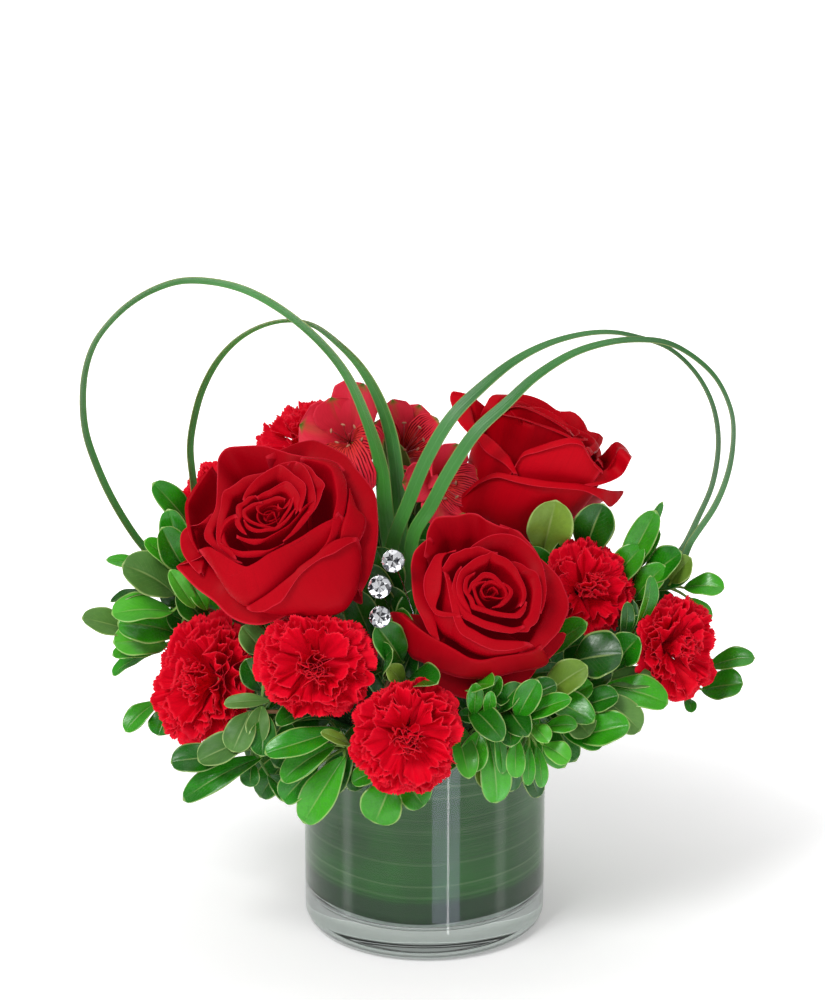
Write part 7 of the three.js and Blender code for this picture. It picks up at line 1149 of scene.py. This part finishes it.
# ------------------------------------------------------------------ gems on pins
def build_gem(name, s, gm, pm):
    ax = head_axes({"c": s["c"], "axis": [-0.04, -0.93, 0.36]})
    c, X, Y, Z = ax
    r = s["r"]
    ring = lambda n, rad, z, off=0.0: [c + rad * math.cos(2 * math.pi * (k + off) / n) * X + rad * math.sin(2 * math.pi * (k + off) / n) * Y + z * Z for k in range(n)]
    T = ring(8, 0.55 * r, 0.335 * r)
    S = ring(8, 0.78 * r, 0.20 * r, 0.5)
    G1 = ring(16, r * 0.985, 0.035 * r)
    G2 = ring(16, r * 0.985, -0.035 * r)
    Lw = ring(8, 0.28 * r, -0.52 * r, 0.5)
    TM = [(T[k] + T[(k + 1) % 8]) / 2 for k in range(8)]
    verts = T + S + G1 + G2 + Lw + [c - 0.70 * r * Z] + TM + [c + 0.335 * r * Z]
    t, sidx, g1, g2, lo, cu, tm, mid_ = 0, 8, 16, 32, 48, 56, 57, 65
    F = []
    for k in range(8):
        F += [(mid_, t + k, tm + k), (mid_, tm + k, t + (k + 1) % 8)]
    for k in range(8):
        k1 = (k + 1) % 8
        F.append((t + k, sidx + k, tm + k))                                # star, in halves
        F.append((tm + k, sidx + k, t + k1))
        km = (k - 1) % 8
        F.append((t + k, sidx + km, g1 + 2 * k, sidx + k))                 # kite
        F.append((sidx + k, g1 + 2 * k, g1 + 2 * k + 1))                   # halves
        F.append((sidx + k, g1 + 2 * k + 1, g1 + (2 * k + 2) % 16))
        F.append((lo + k, g2 + 2 * k + 1, g2 + 2 * k))
        F.append((lo + k, g2 + (2 * k + 2) % 16, g2 + 2 * k + 1))
        F.append((lo + km, lo + k, g2 + 2 * k)[::1])
        F.append((cu, lo + k, lo + km))
    for k in range(16):
        F.append((g1 + k, g2 + k, g2 + (k + 1) % 16, g1 + (k + 1) % 16))
    me = bpy.data.meshes.new(name + "_stone")
    me.from_pydata([tuple(p * MM) for p in verts], [], F)
    import bmesh
    bm = bmesh.new()
    bm.from_mesh(me)
    bmesh.ops.recalc_face_normals(bm, faces=bm.faces)
    bm.to_mesh(me)
    bm.free()
    me.uv_layers.new(name="UVMap")
    # painted sparkle: neighbouring facets are painted bright or dark, painted glints and shade of a cut stone
    rng = np.random.default_rng(int(c[2] * 10))
    at = me.attributes.new("tone", "FLOAT", "FACE")
    facet_glint_and_shade = rng.choice([0.0, 0.05, 0.22, 0.55, 1.0, 1.0, 1.0], len(me.polygons))
    at.data.foreach_set("value", facet_glint_and_shade.astype(np.float32))
    me.materials.append(gm)
    ob = bpy.data.objects.new(name + "_stone", me)
    bpy.context.scene.collection.objects.link(ob)
    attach(ob, "root")
    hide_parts(name)
    # the foil-backed cup, its four claws and the wire
    g = Geo()
    cup = [(0, -1.22 * r), (0.30 * r, -1.20 * r), (0.42 * r, -1.10 * r), (0.70 * r, -0.62 * r), (0.97 * r, -0.20 * r), (1.005 * r, -0.06 * r), (0.98 * r, -0.075 * r), (0.66 * r, -0.46 * r), (0.30 * r, -0.74 * r), (0, -0.80 * r)]
    g.lathe(cup, 48, ax, 0, 0.5)
    for k in range(4):
        a = k * math.pi / 2 + 0.12
        d = math.cos(a) * X + math.sin(a) * Y
        p = np.array([c + 0.99 * r * d - 0.20 * r * Z, c + 1.04 * r * d + 0.05 * r * Z, c + 0.98 * r * d + 0.13 * r * Z, c + 0.86 * r * d + 0.17 * r * Z])
        p, _ = catmull(p, 10)
        g.tube(p, np.linspace(0.42, 0.30, 10), 8, 0, 0.5)
    entry, inner = V(s["entry"]), V(s["inner"])
    top = c - 1.1 * r * Z
    mid = top * 0.55 + entry * 0.45 + V(0, 3, 3)
    w, _ = catmull([top, mid, entry, inner], 40)
    g.tube(w, 0.38, 10, 0, 0.5)
    pin = name.replace("gem_", "pin_")
    piece(name + "_setting", g, [pm], [pin])


# --------------------------------------------------------------------- assembly
build_vase()
build_liner()
build_foam()
gm, pm = gem_mats()
for name, s in GEMS.items():
    build_gem(name, s, gm, pm)
# the left pair painted brighter and the right pair darker: painted light and shade for how each blade faces the lamps
gmats = {"grass_blade_1": grass_mat("left_outer", 1.22), "grass_blade_2": grass_mat("left_inner", 1.60)}
right_blades = grass_mat("right", 0.88)
NARROW = {"grass_blade_3": 0.80, "grass_blade_4": 0.80}
for k, (name, table) in enumerate(BLADES.items()):
    g = Geo()
    blade(g, table, 50 + k, NARROW.get(name, 1.0))
    piece(name + "_leaf", g, gmats.get(name, right_blades), [name])

HEART = {
    "rose_left": dict(n=5, r0=1.3, dr=0.85, squash=(1.3, 0.6), phase=0.6, seed=3, top=0.30, stop=4),
    "rose_front": dict(n=4, r0=1.2, dr=0.8, squash=(1.15, 0.2), phase=2.0, seed=7, top=0.29),
    "rose_rear": dict(n=14, r0=1.6, dr=1.25, squash=(1.15, 0.5), phase=1.1, seed=9, top=0.47, wide=1.15),
}
for k, (name, cfg) in enumerate(HEART.items()):
    h = HEADS[name]
    ax = head_axes(h)
    g = Geo()
    cfg = dict(cfg)
    cfg.pop("stop", None)
    hub = ROSE_HUB[name]
    z0 = -0.97 * h["R"] if name == "rose_rear" else -0.60 * h["R"]
    rose_heart(g, ax, h["R"], offset=tuple(hub), z0=z0, **cfg)
    for i, (pn, F, E, belly, drop) in enumerate(PETALS[name]):
        rose_petal(g, ax, h["R"], F, E, belly=belly, drop=drop, z0=z0, hub=hub, seed=500 + 40 * k + i, tone=0.3 + 0.4 * ((i * 7) % 5) / 4, nu=57)
    piece(name + "_petals", g, [rose_red_rear_brightened if name == "rose_rear" else rose_red, rose_rim_highlight], [name])
    g = Geo()
    rose_green(g, ax, h["R"], STEMS[name + "_stem"], 20 + len(name), deep=0.97 if name == "rose_rear" else 0.6)
    piece(name + "_stalk", g, [green_stem], [name + "_stem"])

CARN = {
    "carnation_left": (11, 62, 1.05, 0.86, 1.10), "carnation_centre": (12, 60, 1.0, 1.0, 0.96), "carnation_low": (13, 58, 1.0, 1.0, 1.0), "carnation_right": (14, 56, 1.0, 1.0, 1.0),
    "carnation_far_right": (15, 56, 1.0, 1.0, 1.0), "carnation_rear_left": (16, 50, 1.0, 1.0, 1.0), "carnation_rear": (17, 50, 1.0, 1.0, 1.0),
}
for name, (seed, count, flat, sx, sy) in CARN.items():
    h = HEADS[name]
    ax = head_axes(h)
    g = Geo()
    carnation(g, ax, h["R"], seed, count, flat, sx=sx, sy=sy)
    piece(name + "_petals", g, [carnation_red, carnation_rim_highlight], [name])
    g = Geo()
    carnation_green(g, ax, h["R"], STEMS[name + "_stem"], seed + 40)
    piece(name + "_stalk", g, [calyx_green], [name + "_stem"])

am = alstro_mats()
ALSTRO = {
    # shift of the centre in mm (right, up), outer tepals, inner tepals; the radius is the bloom's own in HEADS
    "alstroemeria_left": ((0, 0), [(174, 1.12, 0.52, 24), (68, 1.42, 0.48, 30), (112, 1.10, 0.42, 44)], [(-16, 1.34, 0.36, 6), (-61, 1.86, 0.42, -26), (-90, 1.60, 0.40, -10)]),
    "alstroemeria_middle": ((-9, -9), [(66, 1.32, 0.36, 34), (104, 1.42, 0.36, 34), (-84, 1.62, 0.50, 6)], [(32, 1.34, 0.33, 26), (4, 1.25, 0.32, 20), (150, 1.30, 0.30, 30)]),
    "alstroemeria_right": ((-9, 4), [(66, 1.34, 0.38, 32), (176, 1.35, 0.44, 22), (-100, 1.40, 0.46, 14)], [(-28, 1.42, 0.36, 16), (-58, 1.32, 0.34, 16), (4, 1.30, 0.34, 20)]),
}
for k, (name, (shift, outer, inner)) in enumerate(ALSTRO.items()):
    h = HEADS[name]
    g = Geo()
    ax = head_axes(h)
    c0 = ax[0] + V(shift[0], 0, shift[1])
    alstroemeria(g, (c0,) + tuple(ax[1:]), h["R"], 70 + k, outer, inner)
    piece(name + "_bloom", g, am, [name])
g = Geo()
um, _ = catmull([V(q) for q in UMBEL], 30)
g.tube(um, np.linspace(2.4, 2.1, 30), 12, 0, 0.5)
top = V(UMBEL[-1])
for k, name in enumerate(("alstroemeria_left", "alstroemeria_middle", "alstroemeria_right")):
    c, X, Y, Z = head_axes(HEADS[name])
    end = c - 0.60 * HEADS[name]["R"] * Z
    mid = (top + end) / 2 + V(0, 2, -2)
    p, _ = catmull([top + V(0, -0.5, -2), mid, end], 18)
    g.tube(p, np.linspace(1.3, 1.2, 18), 10, 0, 0.5)
    g.lathe([(0, -0.64 * HEADS[name]["R"]), (1.6, -0.64 * HEADS[name]["R"]), (2.9, -0.58 * HEADS[name]["R"]), (2.6, -0.50 * HEADS[name]["R"]), (1.4, -0.44 * HEADS[name]["R"]), (0, -0.43 * HEADS[name]["R"])], 18, (c, X, Y, Z), 0, 0.6)
piece("alstroemeria_stalk", g, [green_stem], ["alstroemeria_stem"])

rng = np.random.default_rng(404)
greens = {}
for name, s in SPRIGS.items():
    greens[name] = sprig(name, s, rng)

# further leaves of the same twigs, where the photo shows the green closing up:
# a skirt over the vase's rim, a middle tier and, between the blooms, darker ones painted in shade
KEEP_OFF = [(V(h["c"]) - 0.15 * h["R"] * unit(V(h["axis"])), 0.88 * h["R"]) for h in HEADS.values()]
KEEP_OFF += [(V(s["c"]) + V(0, -6, 0), 9.0) for s in GEMS.values()]


def extra(base, way, length, wide, roll, kind, seed, reach=10.0):
    base, way = V(base), unit(V(way))
    best = None
    for name, (tw, lv, pts) in greens.items():
        d = np.linalg.norm(pts - base, axis=1)
        k = int(np.argmin(d))
        if best is None or d[k] < best[0]:
            best = (d[k], name, pts[k])
    dist, name, near = best
    if dist > 30:
        return False
    base = near + unit(base - near) * min(dist, reach)
    tip = base + way * length
    for q in (0.0, 0.25, 0.5, 0.75, 1.0):
        p = base + way * length * q
        if any(np.linalg.norm(p - c) < r for c, r in KEEP_OFF):
            return False
        if np.hypot(p[0], p[1]) < 66.5 and p[2] < 129:
            return False
    own = np.array([base + way * length * q for q in (0.25, 0.45, 0.65, 0.85)])
    near_by = np.concatenate(LEAF_LINES)
    if np.min(np.linalg.norm(own[:, None] - near_by[None], axis=2)) < 0.13 * length:
        return False
    leaf(greens[name][1], base, tip, wide, roll, kind, near, seed=seed)
    return True


for tier, (count, r0, z0, e0, spread_e, size) in enumerate(((40, 66, 133, -40, 10, 37), (44, 72, 143, -6, 18, 38), (48, 60, 156, 28, 22, 35), (48, 44, 165, 52, 22, 33))):
    for i in range(count):
        th = 2 * math.pi * (i + 0.5 * (tier % 2)) / count + rng.uniform(-0.1, 0.1)
        el = math.radians(e0 + rng.uniform(-spread_e, spread_e))
        o = V(math.cos(th), math.sin(th), 0)
        sw = th + rng.uniform(-0.5, 0.5)
        way = V(math.cos(sw) * math.cos(el), math.sin(sw) * math.cos(el), math.sin(el))
        L = size * rng.uniform(0.85, 1.15)
        # the inner, higher tiers take more of the dark kind: painted shade deeper in the bunch
        kind = rng.choice(["dark", "top", "lime", "olive"], p=[[0.35, 0.40, 0.15, 0.10], [0.40, 0.35, 0.15, 0.10], [0.55, 0.30, 0.05, 0.10], [0.75, 0.20, 0.0, 0.05]][tier])
        extra(o * (r0 + rng.uniform(-5, 5)) + V(0, 0, z0 + rng.uniform(-4, 4)), way, L, L * rng.uniform(0.38, 0.46), rng.uniform(-35, 35), str(kind), int(rng.integers(1 << 30)))

for name, (tw, lv, pts) in greens.items():
    piece(name + "_twig", tw, [twig_bark], [name])
    piece(name + "_leaves", lv, LEAFMATS, [name])


# -------------------------------------------------------- floor, light and camera
def plain(name, col, rough, near, far):
    """White paper sweep that glows by its own emission: painted light that keeps it white, with less glow right round
    the vase as painted shade.
    """
    m = Mat(name)
    n = m.noise(m.obj(), 3.0, 2.0)
    m.color(m.mix(n, col, tuple(c * 0.995 for c in col[:3]) + (1,)))
    m.set(Roughness=rough, Specular_IOR_Level=0.1, Emission_Color=(1, 1, 1, 1))
    d = m.node("ShaderNodeVectorMath", operation="LENGTH")
    m.link(m.obj(), d.inputs[0])
    # painted light: the glow rises from near round the vase to far beyond 0.45 m; the weaker glow close in is painted
    # shade
    m.link(m.step(0.14, 0.45, d.outputs["Value"], near, far), m.b.inputs["Emission Strength"])
    return m.m


def floor():
    prof = [(-14.0, 0.0), (14.0, 0.0)]
    vs, fs = [], []
    for y, z in prof:
        vs += [(-14.0, y, z), (14.0, y, z)]
    for i in range(len(prof) - 1):
        fs.append((2 * i, 2 * i + 1, 2 * i + 3, 2 * i + 2))
    me = bpy.data.meshes.new("floor")
    me.from_pydata(vs, [], fs)
    me.polygons.foreach_set("use_smooth", np.ones(len(fs), bool))
    me.materials.append(plain("floor_white", (0.93, 0.93, 0.935, 1), 0.9, 0.24, 0.80))
    ob = bpy.data.objects.new("floor", me)
    bpy.context.scene.collection.objects.link(ob)


floor()
world = bpy.data.worlds.new("studio")
bpy.context.scene.world = world
world.use_nodes = True
bg = world.node_tree.nodes["Background"]
bg.inputs[0].default_value = (1.0, 1.0, 1.0, 1.0)
bg.inputs[1].default_value = 0.40


def area(name, loc, target, size, power, col=(1, 1, 1), sy=None):
    li = bpy.data.lights.new(name, "AREA")
    li.shape = "RECTANGLE"
    li.size = size
    li.size_y = sy or size
    li.energy = power
    li.color = col
    ob = bpy.data.objects.new(name, li)
    bpy.context.scene.collection.objects.link(ob)
    d = V(target) - V(loc)
    from mathutils import Vector
    ob.location = loc
    ob.rotation_euler = Vector(tuple(d)).to_track_quat("-Z", "Y").to_euler()
    return ob


area("key", (-0.93, -1.34, 1.75), (0, 0, 0.15), 0.75, 33.0)
area("fill", (1.6, -1.6, 1.2), (0, 0, 0.15), 1.6, 6.0)
area("top", (0.1, 0.5, 2.1), (0, 0, 0.1), 1.4, 9.0)



def gleam_shape(li, near, core, uneven, seed):
    """The strip's light: widening away from the glass, fading over its edges from core of
    its half width outwards, and a little uneven along its length."""
    li.use_nodes = True
    t = li.node_tree
    em = t.nodes["Emission"]

    def op(kind, a, b=None, c=None):
        n = t.nodes.new("ShaderNodeMath")
        n.operation = kind
        for k, x in enumerate((a, b, c)):
            if x is None:
                continue
            if isinstance(x, (int, float)):
                n.inputs[k].default_value = x
            else:
                t.links.new(x, n.inputs[k])
        return n.outputs[0]

    geo = t.nodes.new("ShaderNodeNewGeometry")
    sep = t.nodes.new("ShaderNodeSeparateXYZ")
    t.links.new(geo.outputs["Parametric"], sep.inputs[0])
    off = op("ABSOLUTE", op("SUBTRACT", sep.outputs[0], 0.5))
    half = op("MULTIPLY_ADD", sep.outputs[1], 0.5 - near, near)
    edge = t.nodes.new("ShaderNodeMapRange")
    edge.interpolation_type = "SMOOTHSTEP"
    for key, x in (("From Min", core), ("From Max", 1.0), ("To Min", 1.0), ("To Max", 0.0)):
        edge.inputs[key].default_value = x
    t.links.new(op("DIVIDE", off, half), edge.inputs["Value"])
    wave = t.nodes.new("ShaderNodeTexNoise")
    wave.noise_dimensions = "1D"
    wave.inputs["Scale"].default_value = 9.0
    t.links.new(op("ADD", sep.outputs[1], seed), wave.inputs["W"])
    t.links.new(op("MULTIPLY", edge.outputs[0], op("MULTIPLY_ADD", wave.outputs[0], uneven, 1.0 - 0.5 * uneven)), em.inputs["Strength"])


def strip(name, deg, wide, t0, t1, radiance, core=0.8, uneven=0.0, seed=1.0, z=0.0015):
    """A low strip of light on the table, seen again in the glass as an upright gleam wide
    millimetres across, where the wall faces deg degrees right of the front."""
    a = math.radians(deg)
    r = RO * math.cos(a)
    p = V(RO * math.sin(a), -RO * math.cos(a))
    d = V(math.sin(2 * a), -math.cos(2 * a))
    m = (p + d * (t0 + t1) / 2) * MM
    w, l = wide * (r + 2 * t1) / r * MM, (t1 - t0) * MM
    ob = area(name, (m[0], m[1], z), (m[0], m[1], 1.0), w, radiance * math.pi * w * l, sy=l)
    gleam_shape(ob.data, 0.5 * (r + 2 * t0) / (r + 2 * t1), core, uneven, seed)
    ob.rotation_euler = (math.pi, 0.0, 2 * a)
    ob.visible_camera = False
    ob.visible_diffuse = False
    ob.visible_transmission = False
    return ob


strip("gleam_line", 11.0, 1.7, 26, 330, 6.5, 0.3, 0.9, 3.0, 0.004)
strip("gleam_band", 10.0, 16.0, 44, 330, 2.4, 0.84, 0.3, 5.0).data.color = (0.71, 0.71, 1.0)
strip("gleam_left", -39.5, 8.0, 40, 330, 1.25, 0.1, 0.5, 7.0)
strip("gleam_right", 38.5, 9.0, 40, 330, 0.95, 0.1, 0.5, 9.0)

cam = bpy.data.cameras.new("camera")
cam.sensor_fit = "AUTO"
cam.sensor_width = 36.0
cam.lens = 36.0 * 3890.0 / 1000.0
cam.clip_start = 0.05
cam.clip_end = 30.0
co = bpy.data.objects.new("camera", cam)
bpy.context.scene.collection.objects.link(co)
co.location = (-0.0064, -1.891037, 0.883736)
co.rotation_euler = (math.radians(71.0), 0.0, 0.0)
bpy.context.scene.camera = co
bpy.context.scene.view_settings.view_transform = "Standard"
bpy.context.scene.view_settings.look = "None"

bpy.context.view_layer.update()
